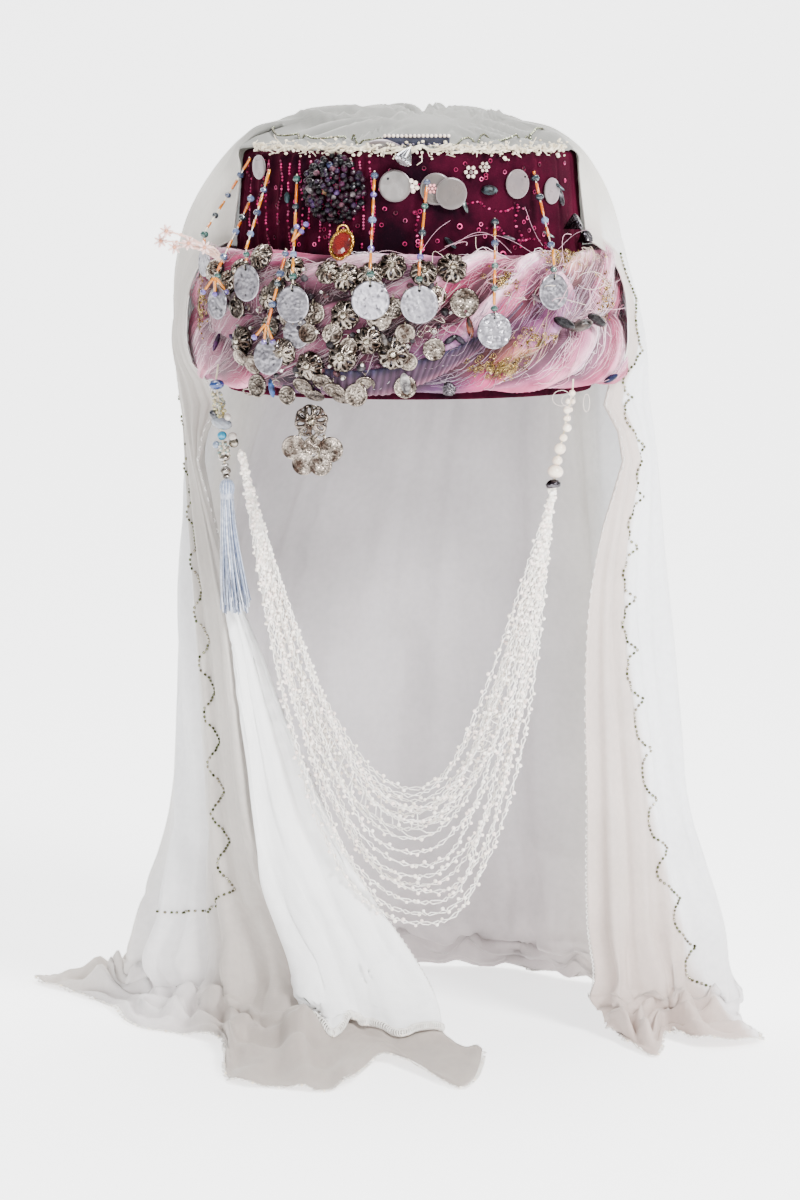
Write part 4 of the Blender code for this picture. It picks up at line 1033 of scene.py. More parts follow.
@dataclass
class TurbanRoll:
    """The padded roll: two strands of silk twisted round each other, tied round the lower half."""

    sections: int = 520
    sides: int = 84
    middle: float = 38.0
    half: float = 35.5
    depth: float = 22.0
    twists: float = 3.0
    pinch_azimuth: float = 70.0
    pinch: float = 0.6
    square: float = 0.8
    rib_depth: float = 1.5

    # Azimuth and height along the creases
    CREASES = (
        ((92.0, 37.0), (76.0, 39.0), (62.0, 38.0), (50.0, 36.0), (38.0, 24.0), (22.0, 11.0)),
        ((62.0, 38.0), (52.0, 52.0), (44.0, 70.0)),
        ((30.0, 66.0), (18.0, 52.0), (6.0, 36.0), (-10.0, 26.0)),
        ((-92.0, 44.0), (-72.0, 36.0), (-56.0, 22.0), (-44.0, 10.0)),
        ((-74.0, 66.0), (-60.0, 50.0), (-40.0, 40.0), (-22.0, 34.0)),
    )

    def lobe(self, angle: np.ndarray) -> np.ndarray:
        """Reach of the twisted pair of strands at an angle of its section."""
        waist = self.pinch * np.sin(angle)
        return (self.pinch * np.abs(np.cos(angle)) + np.sqrt(1.0 - waist * waist)) / (1.0 + self.pinch)

    def twist(self, azimuth: np.ndarray) -> np.ndarray:
        """Turn of the pair of strands at an azimuth."""
        return self.twists * np.radians(azimuth - self.pinch_azimuth) + np.pi / 2

    def place(self, azimuth: np.ndarray, angle: np.ndarray) -> tuple[np.ndarray, np.ndarray]:
        """Radius and height of the smooth roll.

        Args:
            azimuth: in degrees.
            angle: round the section, in radians: 0 is outwards.

        Returns:
            The radius and the height in mm.
        """
        up = np.sign(np.sin(angle)) * np.abs(np.sin(angle)) ** self.square
        height = self.middle + self.half * up
        out = np.sign(np.cos(angle)) * np.abs(np.cos(angle)) ** self.square
        reach = 1.0 + out * self.lobe(angle - self.twist(azimuth))
        return fez_radius(height) + 0.7 + self.depth / 2 * reach, height

    def run(self, azimuth: np.ndarray, angle: np.ndarray) -> np.ndarray:
        """Place across the ropes: it stays the same along each rope.

        Args:
            azimuth: in degrees.
            angle: round the section, in radians.

        Returns:
            Radians round the section.
        """
        around = np.radians(azimuth)
        steep = 1.5 * np.maximum(around - 0.25, 0.0) - 0.5 * np.maximum(-around - 1.0, 0.0)
        return angle - 2.0 * around - steep

    def ribs(self, azimuth: np.ndarray, angle: np.ndarray) -> np.ndarray:
        """Depth of the valleys between the ropes, and of the finer gathers on them.

        Args:
            azimuth: in degrees.
            angle: round the section, in radians.

        Returns:
            Millimetres inwards.
        """
        run = self.run(azimuth, angle) / (2 * np.pi)
        slow = (0.22 * lattice(azimuth / 26.0, angle * 1.1 + 4.0, 21)
                + 0.06 * lattice(azimuth / 9.0, angle * 3.0, 22))
        ropes = 1.0 - ridge(run * 5.0 + slow, 0.55)
        folds = 1.0 - ridge(run * 17.0 + 2.4 * slow, 0.7)
        fine = 1.0 - ridge(run * 52.0 + 1.5 * lattice(azimuth / 12.0, angle * 2.2, 23), 0.7)
        lumps = lattice(azimuth / 10.0, angle * 2.0, 24)
        out = np.cos(angle)
        height = self.middle + self.half * np.sin(angle)
        knot = 5.0 * np.exp(-(((azimuth - 66.0) / 6.0) ** 2) - ((height - 38.0) / 8.0) ** 2) * (out > 0)
        deep = 4.6 * np.exp(-((self.crease(azimuth, height) / 3.2) ** 2)) * (out > 0)
        total = (5.0 * ropes**1.5 + 1.5 * folds * (0.8 + 0.4 * lumps) + 0.34 * fine + 0.4 * (lumps + 1.0)
                 + knot + deep)
        return total * (1.0 - 0.45 * np.exp(-(((np.abs(azimuth) - 90.0) / 14.0) ** 2)))

    def crease(self, azimuth: np.ndarray, height: np.ndarray) -> np.ndarray:
        """Distance, in mm, to the nearest of the deep creases between the ropes.

        Args:
            azimuth: in degrees.
            height: in mm.

        Returns:
            Millimetres.
        """
        nearest = np.full(np.broadcast(azimuth, height).shape, 99.0)
        for path in self.CREASES:
            for (from_x, from_z), (to_x, to_z) in zip(path, path[1:]):
                run, rise = (to_x - from_x) * 1.8, to_z - from_z
                part = (((azimuth - from_x) * 1.8 * run + (height - from_z) * rise)
                        / (run * run + rise * rise))
                part = np.clip(part, 0.0, 1.0)
                off = np.hypot((azimuth - from_x) * 1.8 - part * run, height - from_z - part * rise)
                nearest = np.minimum(nearest, off)
        return nearest

    def skin(self, azimuth: np.ndarray, angle: np.ndarray) -> tuple[np.ndarray, np.ndarray, np.ndarray]:
        """Radius and height of the gathered silk, and how deep it lies.

        Args:
            azimuth: in degrees.
            angle: round the section, in radians.

        Returns:
            The radius, the height and the depth in mm.
        """
        radius, height = self.place(azimuth, angle)
        wrapped = (angle + np.pi) % (2 * np.pi) - np.pi
        depth = self.ribs(azimuth, wrapped)
        inward = depth * smooth(-0.55, 0.1, np.cos(angle))
        middle = fez_radius(height) + 0.7 + self.depth / 2
        away = np.sqrt((radius - middle) ** 2 + (height - self.middle) ** 2)
        share = 1.0 - inward / np.maximum(away, 6.0)
        return middle + (radius - middle) * share, self.middle + (height - self.middle) * share, depth

    def tint(self, azimuth: np.ndarray, height: np.ndarray, angle: np.ndarray) -> np.ndarray:
        """Colour of the silk: rose, pale pink and lilac that run along the twist, with painted shade.

        Args:
            azimuth: in degrees.
            height: in mm.
            angle: round the section, in radians.

        Returns:
            Linear colours.
        """
        rose = np.array(linear((184, 66, 112))[:3])
        pale = np.array(linear((255, 220, 232))[:3])
        lilac = np.array(linear((132, 98, 138))[:3])
        violet = np.array(linear((82, 56, 100))[:3])
        gold = np.array(linear((196, 160, 104))[:3])
        run = self.run(azimuth, angle) * 5.0 / (2 * np.pi)
        band = 0.5 + 0.5 * lattice(run * 2.0, azimuth / 60.0 + 9.0, 31)
        shade = lattice(run * 7.0, azimuth / 24.0, 32)
        colour = rose + (pale - rose) * smooth(0.3, 0.7, band + 0.15 * shade)[..., None]
        # The broad lilac ribbon comes down over the front from the right, under the middle
        ribbon = np.abs(height - (24.0 + 0.62 * (azimuth - 16.0)))
        ribbon = ((1.0 - smooth(7.0, 13.0, ribbon)) * smooth(-34.0, -16.0, azimuth)
                  * (1 - smooth(44.0, 60.0, azimuth)))
        colour = colour + (lilac - colour) * (ribbon * (0.85 + 0.15 * shade))[..., None]
        low = ((1.0 - smooth(6.0, 12.0, height)) * smooth(-48.0, -34.0, azimuth)
               * (1 - smooth(8.0, 22.0, azimuth)))
        colour = colour + (violet - colour) * low[..., None]
        for middle, level, wide, tall in ((27.0, 18.0, 8.0, 7.0), (54.0, 66.0, 12.0, 6.0),
                                          (-66.0, 46.0, 9.0, 8.0)):
            gap = ((azimuth - middle) / wide) ** 2 + ((height - level) / tall) ** 2
            patch = 1.0 - smooth(0.6, 1.2, gap + 0.3 * shade)
            colour = colour + (gold - colour) * (0.75 * patch)[..., None]
        streak = 1.0 + 0.24 * shade + 0.18 * lattice(run * 19.0, azimuth / 12.0, 33)
        # Painted shade: on the front left, the silk among the rosettes is darker and browner, for the shade
        # between them.
        rosette_shade = smooth(-88.0, -70.0, azimuth) * smooth(16.0, -6.0, azimuth) * smooth(70.0, 56.0, height)
        streak = streak * (1.0 - 0.72 * rosette_shade * smooth(2.0, 16.0, height))
        rosette_shade_tint = 1.0 - rosette_shade[..., None] * np.array((0.0, 0.3, 0.2))
        return np.clip(colour * streak[..., None] * rosette_shade_tint, 0.0, 1.0)

    def build(self) -> bpy.types.Object:
        """Make the roll and let it stand for the plain node.

        Returns:
            The piece.
        """
        azimuth = np.linspace(0.0, 360.0, self.sections, endpoint=False)[:, None] - 180.0
        angle = np.linspace(0.0, 2 * np.pi, self.sides, endpoint=False)[None, :]
        wrapped = (angle + np.pi) % (2 * np.pi) - np.pi
        radius, height_in, depth = self.skin(azimuth, angle)
        _, height = self.place(azimuth, angle)
        grid = np.empty((self.sections, self.sides, 3))
        turn = np.radians(azimuth)
        grid[:, :, 0] = radius * np.sin(turn)
        grid[:, :, 1] = -radius * np.cos(turn)
        grid[:, :, 2] = height_in
        faces = []
        for row in range(self.sections):
            here = row * self.sides
            after = (row + 1) % self.sections * self.sides
            for side in range(self.sides):
                next_side = (side + 1) % self.sides
                faces.append((here + side, here + next_side, after + next_side, after + side))
        tint = self.tint(azimuth + 0 * angle, height, wrapped + 0 * azimuth)
        # Painted shade: the silk is darker and redder the deeper it lies in the creases between the ropes.
        shaded = 1.0 - 0.9 * smooth(1.2, 6.5, depth)
        deep = np.array((1.0, 0.62, 0.84)) ** (1.6 * smooth(0.6, 5.0, depth))[..., None]
        tint = tint * shaded[..., None] * deep
        cloth = np.stack(np.broadcast_arrays(turn * 0.11, angle * 0.02), axis=-1)
        mesh = mesh_from("roll_silk", grid.reshape(-1, 3), faces, tint.reshape(-1, 3), cloth.reshape(-1, 2))
        piece = mesh_object("roll_silk", outward(mesh), ROLL_SILK)
        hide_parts("turban_roll")
        return piece

    def surface(self, x: float, height: float, out: float = 0.0) -> tuple[Vector, Vector]:
        """Place on the front of the roll, and the way that it faces there.

        Args:
            x: across, in mm.
            height: up, in mm.
            out: how far off the roll.

        Returns:
            The place and the outward direction.
        """
        share = max(-0.999, min(0.999, (height - self.middle) / self.half))
        angle = math.asin(math.copysign(abs(share) ** (1.0 / self.square), share))
        azimuth = 0.0
        for _ in range(4):
            radius, _ = self.place(np.array([azimuth]), np.array([angle]))
            reach = float(radius[0]) + out
            azimuth = math.degrees(math.asin(max(-0.999, min(0.999, x / reach))))
        place = polar(azimuth, reach, height)
        tip = Vector((place.x, place.y, 0.0)).normalized() * math.cos(angle * 0.7)
        return place, (tip + Vector((0.0, 0.0, math.sin(angle * 0.7)))).normalized()


@dataclass
class VeilSheet:
    """The long veil: one sheet of fine muslin, gathered over the top, that hangs and pools."""

    per_fold: int = 9
    rows: int = 150
    thickness: float = 0.9
    top_height: float = 142.0
    front_height: float = 122.9
    front_radius: float = 82.3
    front_azimuth: float = 73.0
    edging_end: float = 64.0
    front_columns: int = 96
    dome_rings: int = 15

    # Height, and radius on the left, on the back and on the right
    PROFILE = (
        (138.0, 62.0, 52.0, 50.0),
        (131.0, 78.0, 72.0, 70.0),
        (122.0, 90.0, 87.0, 86.0),
        (104.0, 104.5, 99.0, 100.0),
        (84.0, 114.5, 107.0, 108.5),
        (60.0, 119.6, 114.0, 113.5),
        (38.0, 120.5, 118.5, 119.5),
        (10.0, 120.0, 119.5, 123.0),
    )
    HEIGHTS = (-100.0, -225.0, -295.0)
    RIPPLES = (2.6, 4.0, 5.0)
    # Azimuth over the roll, the fold's place (x, y) at three heights and at the hem, and the hem's lift
    FOLDS = (
        (-84, -88, -40, -37, -46, 8, -68, 36, -104, 0),
        (-86, -90, -42, -50, -48, -14, -70, 26, -184, 0),
        (-88, -92, -43, -62, -50, -30, -70, -12, -122, 3),
        (-90, -95, -45, -72, -50, -45, -70, -34, -185, 0),
        (-93, -99, -46, -82, -50, -58, -70, -60, -183, 0),
        (-97, -103, -38, -89, -40, -80, -54, -88, -164, 0),
        (-101, -106, -30, -98, -30, -92, -40, -94, -84, 3),
        (-106, -112, -20, -107, -20, -112, -28, -118, -54, 0),
        (-112, -115, -5, -118, -6, -127, -8, -140, -34, 0),
        (-119, -114, 11, -119, 10, -132, 10, -156, 16, 0),
        (-127, -113, 26, -121, 28, -142, 30, -178, 54, 0),
        (-136, -106, 42, -114, 46, -140, 54, -199, 88, 0),
        (-146, -99, 58, -104, 64, -120, 78, -158, 106, 0),
        (-156, -82, 72, -86, 80, -96, 94, -116, 118, 2),
        (-166, -62, 90, -66, 96, -72, 108, -80, 126, 0),
        (-176, -36, 99, -38, 106, -42, 116, -46, 131, 1),
        (-186, -8, 105, -10, 112, -12, 121, -12, 133, 0),
        (-196, 20, 104, 20, 110, 24, 120, 24, 132, 1),
        (-206, 46, 100, 50, 106, 54, 114, 56, 124, 0),
        (-216, 70, 88, 76, 92, 80, 94, 82, 96, 1),
        (-226, 92, 70, 98, 72, 102, 74, 104, 78, 0),
        (-236, 108, 52, 118, 54, 124, 54, 122, 58, 2),
        (-246, 124, 32, 136, 32, 144, 26, 144, 18, 0),
        (-254, 132, 12, 148, 6, 162, -12, 168, -36, 0),
        (-261, 130, -4, 146, -14, 164, -36, 177, -73, 0),
        (-266, 120, -16, 131, -26, 140, -50, 150, -88, 2),
        (-270, 111, -26, 118, -36, 124, -52, 130, -64, 3),
        (-273, 101, -32, 105, -38, 108, -54, 122, -110, 0),
        (-276, 92, -34, 91, -34, 94, -42, 104, -66, 2),
    )

    def control(self) -> np.ndarray:
        """Control points of each fold, from the top edge of the hat down to the hem.

        Returns:
            Folds by points by 3, in mm.
        """
        first, last = self.FOLDS[0][0], self.FOLDS[-1][0]
        table = []
        for number, (azimuth, *places, lift) in enumerate(self.FOLDS):
            lean = 11.0 * smooth(24.0, 0.0, first - azimuth) if azimuth > -180 else 0.0
            lean -= 11.0 * smooth(24.0, 0.0, azimuth - last) if azimuth < -180 else 0.0
            points = []
            for height, left, back, right in self.PROFILE:
                share = smooth(90.0, 150.0, -azimuth) - smooth(210.0, 270.0, -azimuth)
                side = left if azimuth > -180.0 else right
                turned = azimuth + lean * (1.0 - 0.55 * smooth(122.0, 60.0, height))
                points.append(polar(turned, side + (back - side) * share, height))
            for level, height in enumerate(self.HEIGHTS):
                plan = Vector((places[2 * level], places[2 * level + 1], 0.0))
                ripple = self.RIPPLES[level] * (-1) ** number * (abs(azimuth + 180.0) < 80.0)
                plan += plan.normalized() * ripple
                points.append(Vector((plan.x, plan.y, height)))
            hem = Vector((places[6], places[7], FLOOR_HEIGHT + 1.0 + lift))
            foot = points[-1].lerp(hem, 0.3)
            foot.z = FLOOR_HEIGHT + 4.0 + lift
            table.append([tuple(point) for point in points + [foot, hem]])
        return np.array(table)

    def gathers(self, fold: np.ndarray, along: np.ndarray) -> np.ndarray:
        """Depth of the fine folds of the hanging part.

        Args:
            fold: place across the sheet, counted in control folds.
            along: place down the sheet, counted in control points.

        Returns:
            Millimetres outwards.
        """
        below = smooth(5.5, 8.5, along)
        near_hem = smooth(10.4, 11.8, along)
        warp = 0.55 * lattice(along / 2.4, fold / 3.0, 41) + 0.2 * lattice(along / 0.9, fold / 1.6, 42)
        low = smooth(8.2, 10.0, along)
        broad = (ridge(fold * 1.1 + 1.6 * warp, 0.8) - 0.5) * (0.5 + 3.4 * below + 3.0 * low)
        thin = (ridge(fold * 2.7 + 2.6 * warp + 0.3, 0.8) - 0.5) * (0.5 + 0.6 * below + 0.5 * low)
        wave = lattice(fold / 1.3, along / 0.8, 43) * (0.3 + 2.4 * below)
        crease = (1.0 - np.abs(lattice(fold / 2.0 + along * 0.5, along / 0.7 - fold * 0.2, 44))) ** 5
        strength = 0.6 + 0.4 * lattice(fold / 2.1, along / 3.0, 45)
        return (broad * strength + thin * strength + wave + 1.8 * crease * below) * (1.0 - 0.45 * near_hem)

    def hanging(self) -> tuple[np.ndarray, np.ndarray, np.ndarray]:
        """The hanging part as a fine grid.

        Returns:
            The points, and the fold and the control point that each row and column stands at.
        """
        control = self.control()
        folds = np.linspace(0.0, len(control) - 1, (len(control) - 1) * self.per_fold + 1)
        along = np.concatenate([np.linspace(0, 8, 62), np.linspace(8, 10.3, 58)[1:],
                                np.linspace(10.3, 12, 32)[1:]])
        across = catmull(control, folds)
        grid = np.moveaxis(catmull(np.moveaxis(across, 1, 0), along), 0, 1)
        return grid, folds, along

    def build(self) -> bpy.types.Object:
        """Make the sheet and let it stand for the plain node.

        Returns:
            The piece.
        """
        grid, folds, along = self.hanging()
        count, tall = grid.shape[:2]
        front = []
        turn = np.pi * np.arange(1, self.front_columns) / self.front_columns
        for azimuth in self.front_azimuth * np.cos(turn):
            side = float(smooth(self.edging_end, self.front_azimuth, abs(azimuth)))
            rows = []
            for row in range(3):
                height, left, _, right = self.PROFILE[row]
                edge = polar(azimuth, right if azimuth > 0 else left, height)
                radius = (60.0, 72.0, self.front_radius)[row]
                rise = float(smooth(self.front_radius, 20.0, radius))
                level = self.front_height + (self.top_height - self.front_height) * rise
                rows.append(tuple(polar(azimuth, radius, level).lerp(edge, side)))
            front.append(catmull(np.array(rows), along[along <= 2.0001]))
        front = np.array(front)
        top = front.shape[1]
        rim = np.vstack([grid[:, 0], front[:, 0]])
        total = len(rim)
        rings = []
        for share in np.linspace(1.0, 0.0, self.dome_rings + 1)[1:-1]:
            height = self.top_height + (self.PROFILE[0][0] - self.top_height) * share * share
            level = height + (rim[:, 2] - height) * share * share * 0.5
            rings.append(np.column_stack([rim[:, :2] * share, level]))
        points = np.vstack([grid.reshape(-1, 3), front.reshape(-1, 3), *rings,
                            [[0.0, 0.0, self.top_height]]])
        faces = sheet_faces(count, tall)
        start = count * tall
        faces += sheet_faces(len(front), top, start)
        for row in range(top - 1):
            last = (count - 1) * tall
            faces.append((last + row, last + row + 1, start + row + 1, start + row))
            end = start + (len(front) - 1) * top
            faces.append((end + row, end + row + 1, row + 1, row))
        outer = ([column * tall for column in range(count)]
                 + [start + column * top for column in range(len(front))])
        number = start + len(front) * top
        for _ in rings:
            inner = list(range(number, number + total))
            for index in range(total):
                after = (index + 1) % total
                faces.append((inner[index], outer[index], outer[after], inner[after]))
            outer = inner
            number += total
        for index in range(total):
            faces.append((number, outer[index], outer[(index + 1) % total]))
        points = self.relax(points, faces, count, tall, start, top)
        self.close_in(points[:count * tall].reshape(count, tall, 3), folds)
        points, tint, cloth = self.wrinkle(points, folds, along, count, tall)
        self.brow = points[start:start + top * len(front)].reshape(len(front), top, 3)
        flap, flap_faces, flap_tint, flap_cloth = self.flap(points[:count * tall].reshape(count, tall, 3),
                                                            folds, along)
        faces += [tuple(corner + len(points) for corner in face) for face in flap_faces]
        shown = points
        points = np.vstack([points, flap])
        mesh = mesh_from("veil_muslin", points, faces, np.vstack([tint, flap_tint]),
                         np.vstack([cloth, flap_cloth]))
        mesh.flip_normals()
        self.fine = shown[:count * tall].reshape(count, tall, 3)
        self.folds, self.along = folds, along
        piece = mesh_object("veil_muslin", mesh, MUSLIN)
        wall = piece.modifiers.new("wall", "SOLIDIFY")
        wall.thickness = self.thickness * MM
        wall.offset = 0.0
        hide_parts("veil")
        self.piece = piece
        return piece

    def flap_edge(self, down: np.ndarray) -> np.ndarray:
        """How many folds wide the turned-over front edge is at each place down."""
        level = (7.5, 8.0, 8.5, 9.0, 9.5, 10.0, 10.3, 10.6, 10.9)
        return np.interp(down, level, (1.6, 2.9, 3.6, 3.75, 3.9, 4.15, 3.95, 3.4, 3.2))

    def flap(self, grid: np.ndarray, folds: np.ndarray, along: np.ndarray) -> tuple:
        """The front edge on the left, which is turned over and lies on the sheet down to its lace.

        Args:
            grid: the hanging part, in mm.
            folds: fold number of each column.
            along: control point number of each row.

        Returns:
            The vertices, faces, linear colours and flat coordinates.
        """
        wide, tall = 46, 110
        start, end = 8.0, 10.78
        share, run = np.meshgrid(np.linspace(0.0, 1.0, wide), np.linspace(0.0, 1.0, tall), indexing="ij")
        low = (end + 0.05 * np.sin(share * 9.0) + 0.05 * np.sin(share * 23.0 + 1.0)
               - 0.22 * smooth(0.86, 1.0, share))
        down = start + (low - start) * run
        fold = share * self.flap_edge(down)
        column = np.interp(fold, folds, np.arange(len(folds)))
        row = np.interp(down, along, np.arange(len(along)))
        low_c = np.minimum(column.astype(int), len(folds) - 2)
        low_r = np.minimum(row.astype(int), len(along) - 2)
        part_c, part_r = (column - low_c)[..., None], (row - low_r)[..., None]
        above = grid[low_c, low_r] * (1 - part_c) + grid[low_c + 1, low_r] * part_c
        under = grid[low_c, low_r + 1] * (1 - part_c) + grid[low_c + 1, low_r + 1] * part_c
        place = above * (1 - part_r) + under * part_r
        normal = grid_normals(place)
        soft = 2.6 * ridge(share * 2.1 + 0.35 * np.sin(down * 1.7) + 0.2, 0.9) * smooth(7.6, 8.8, down)
        crease = (1.0 - np.abs(lattice(share * 2.4 + down * 0.8, down * 0.9 - share * 2.0, 61))) ** 6
        lift = 1.5 + soft + 2.2 * crease * smooth(8.2, 9.4, down) + 1.4 * smooth(0.0, 0.06, share)
        lift = (lift - 1.6 * smooth(0.93, 1.0, share)) * smooth(7.95, 8.3, down)
        place = place + normal * lift[..., None]
        self.turned = place
        place[..., 2] = np.maximum(place[..., 2], FLOOR_HEIGHT + 2.4)
        # Painted light: the turned-over front, which faces the key lamp, is whiter than the rest of the
        # muslin.
        lit_white = np.array(linear((252, 252, 252))[:3])
        tint = np.broadcast_to(lit_white, place.shape).reshape(-1, 3)
        cloth = np.stack([0.9 + fold * 0.02, 0.9 + down * 0.03], axis=-1).reshape(-1, 2)
        return place.reshape(-1, 3), sheet_faces(wide, tall), tint, cloth

    @staticmethod
    def close_in(grid: np.ndarray, folds: np.ndarray) -> None:
        """Bring the two front edges in until they lie on the velvet and on the roll.

        Args:
            grid: the hanging part, in mm, which changes.
            folds: fold number of each column.
        """
        last = folds[-1]
        near = np.maximum(smooth(4.6, 0.4, folds), smooth(last - 4.6, last - 0.4, folds))[:, None]
        height = grid[..., 2]
        away = np.hypot(grid[..., 0], grid[..., 1])
        bulge = np.sqrt(np.clip(1.0 - (np.abs(height - 38.0) / 36.5) ** 2.3, 0.0, 1.0))
        held = fez_radius(np.clip(height, 0, 121)) + 3.4 + (20.0 - 1.5 * np.sign(grid[..., 0])) * bulge
        share = 1.0 + near * smooth(126.0, 113.0, height) * smooth(-40.0, 4.0, height) * (held / away - 1.0)
        grid[..., 0] *= share
        grid[..., 1] *= share

    def relax(self, points: np.ndarray, faces: list, count: int, tall: int, start: int,
              top: int) -> np.ndarray:
        """Soften the joins of the top, the front and the hanging part.

        Args:
            points: every vertex, in mm.
            faces: the sheet's faces.
            count: columns of the hanging part.
            tall: rows of the hanging part.
            start: first vertex of the front part.
            top: rows of the front part.

        Returns:
            The moved vertices.
        """
        edges = np.array([(face[k], face[(k + 1) % len(face)]) for face in faces for k in range(len(face))])
        weight = smooth(2.6, 1.6, np.broadcast_to(np.arange(tall)[None, :] * 8.0 / 61.0, (count, tall)))
        free = np.concatenate([weight.ravel(), np.ones(len(points) - count * tall)])
        free[start + top - 1:start + top * (self.front_columns - 1):top] = 0.0
        degree = np.bincount(edges.ravel(), minlength=len(points)).astype(float)
        for _ in range(26):
            total = np.zeros_like(points)
            for axis in range(3):
                total[:, axis] = np.bincount(edges[:, 0], points[edges[:, 1], axis], len(points))
                total[:, axis] += np.bincount(edges[:, 1], points[edges[:, 0], axis], len(points))
            points = points + (total / degree[:, None] - points) * 0.5 * free[:, None]
        return points

    def wrinkle(self, points: np.ndarray, folds: np.ndarray, along: np.ndarray, count: int,
                tall: int) -> tuple:
        """Add the gathers, and give each vertex its colour and its place on the flat cloth.

        Args:
            points: every vertex, in mm.
            folds: fold number of each column.
            along: control point number of each row.
            count: columns of the hanging part.
            tall: rows of the hanging part.

        Returns:
            The vertices, their linear colours and their flat coordinates in metres.
        """
        grid = points[:count * tall].reshape(count, tall, 3)
        normal = -grid_normals(grid)
        fold, down = np.meshgrid(folds, along, indexing="ij")
        # Gathers that fan out from the front of the top
        rest = points[count * tall:]
        reach = np.hypot(rest[:, 0] - 10.0, rest[:, 1] + 42.0)
        bearing = np.degrees(np.arctan2(rest[:, 0] - 10.0, rest[:, 1] + 42.0))
        fan = self.fan(bearing, reach)
        away = np.hypot(grid[..., 0] - 10.0, grid[..., 1] + 42.0)
        side = self.fan(np.degrees(np.arctan2(grid[..., 0] - 10.0, grid[..., 1] + 42.0)), away)
        upper = 1.0 - smooth(0.8, 3.2, down)
        near = np.maximum(smooth(4.6, 0.4, fold), smooth(folds[-1] - 4.6, folds[-1] - 0.4, fold))
        quiet = 1.0 - 0.8 * near * smooth(-30.0, 10.0, grid[..., 2]) * smooth(126.0, 118.0, grid[..., 2])
        under = (smooth(0.3, -0.4, fold - self.flap_edge(down)) * smooth(7.7, 8.1, down)
                 * smooth(12.0, 11.3, down))
        turned = smooth(0.0, 1.2, down)
        move = ((self.gathers(fold, down) * (1.0 - upper) + side * upper * turned) * quiet
                * (1.0 - 0.8 * under))
        grid = grid + normal * move[..., None]
        grid[..., 2] += 0.35 * side * (1.0 - turned)
        lift, aside = self.rumple(fold, down)
        lift, aside = lift * (1.0 - 0.85 * under), aside * (1.0 - 0.8 * under)
        grid[..., 2] = np.maximum(grid[..., 2] + lift, FLOOR_HEIGHT + 0.8)
        flat = grid[..., :2] / np.maximum(np.linalg.norm(grid[..., :2], axis=2, keepdims=True), 1.0)
        grid[..., :2] += flat * aside[..., None]
        edge_hold = smooth(84.0, 76.0, np.hypot(rest[:, 0], rest[:, 1]))
        rest = rest + np.column_stack([0 * fan, 0 * fan, fan * (0.35 + 0.65 * edge_hold)])
        # The tints paint light and shade on one ivory muslin: left and back are darker for the shaded left
        # side and inside of the back, outer is a lit bluish pale tone, inner a beige for the shaded inside
        # of the right front edge.
        ivory = np.array(linear((208, 204, 196))[:3])
        left = np.array(linear((174, 168, 162))[:3])
        outer = np.array(linear((244, 246, 250))[:3])
        inner = np.array(linear((198, 185, 178))[:3])
        back = np.array(linear((184, 179, 181))[:3])
        # Painted shade: the left side below the top is darker, and the inside of the back is greyer.
        left_shade = (smooth(11.0, 8.0, fold) * smooth(3.0, 6.0, down))[..., None]
        rear = (smooth(10.0, 12.5, fold) * smooth(21.0, 18.5, fold))[..., None]
        # Painted light on the outer right side, which faces the key lamp, and painted shade on the inside
        # of its turned-in front edge.
        right = (smooth(20.0, 22.0, fold) * smooth(3.0, 6.0, down))[..., None]
        turn = smooth(0.15, -0.15,
                      fold - np.interp(down, (4.6, 8.3, 9.2, 10.2, 11.6), (25.9, 25.9, 25.2, 24.6, 24.2)))
        cloud = 1.0 + 0.05 * lattice(fold / 2.0, down / 1.5, 51)
        tint = ivory + (left - ivory) * left_shade + (back - ivory) * rear
        # Painted light: a thin stretch of the left side is paler and bluer, as if lit through.
        lit_thin_side = (smooth(5.8, 7.8, fold) * smooth(11.0, 9.0, fold) * smooth(2.0, 4.0, down))[..., None]
        tint = tint + (outer - tint) * 0.7 * lit_thin_side
        tint = (tint + (inner + (outer - inner) * turn[..., None] - tint) * right) * cloud[..., None]
        # Darker and warmer towards the hem.
        floor = smooth(8.4, 11.0, down)[..., None] * np.array((0.2, 0.25, 0.27))
        tint = tint * (1.0 - floor)
        # Painted shade: the top is grey, for the dark fez and its shade seen through the thin muslin.
        upper = (smooth(3.2, 1.0, down))[..., None]
        grey = np.array(linear((122, 122, 118))[:3])
        tint = tint + (grey - tint) * upper
        tint = np.vstack([tint.reshape(-1, 3), np.broadcast_to(grey, rest.shape)])
        step = np.linalg.norm(np.diff(grid, axis=1), axis=2).mean(axis=0)
        run = np.concatenate([[0.0], np.cumsum(step)]) * MM
        cloth = np.stack(np.broadcast_arrays(folds[:, None] * 0.03, run[None, :]), axis=-1).reshape(-1, 2)
        cloth = np.vstack([cloth, rest[:, :2] * MM])
        return np.vstack([grid.reshape(-1, 3), rest]), np.clip(tint, 0, 1), cloth

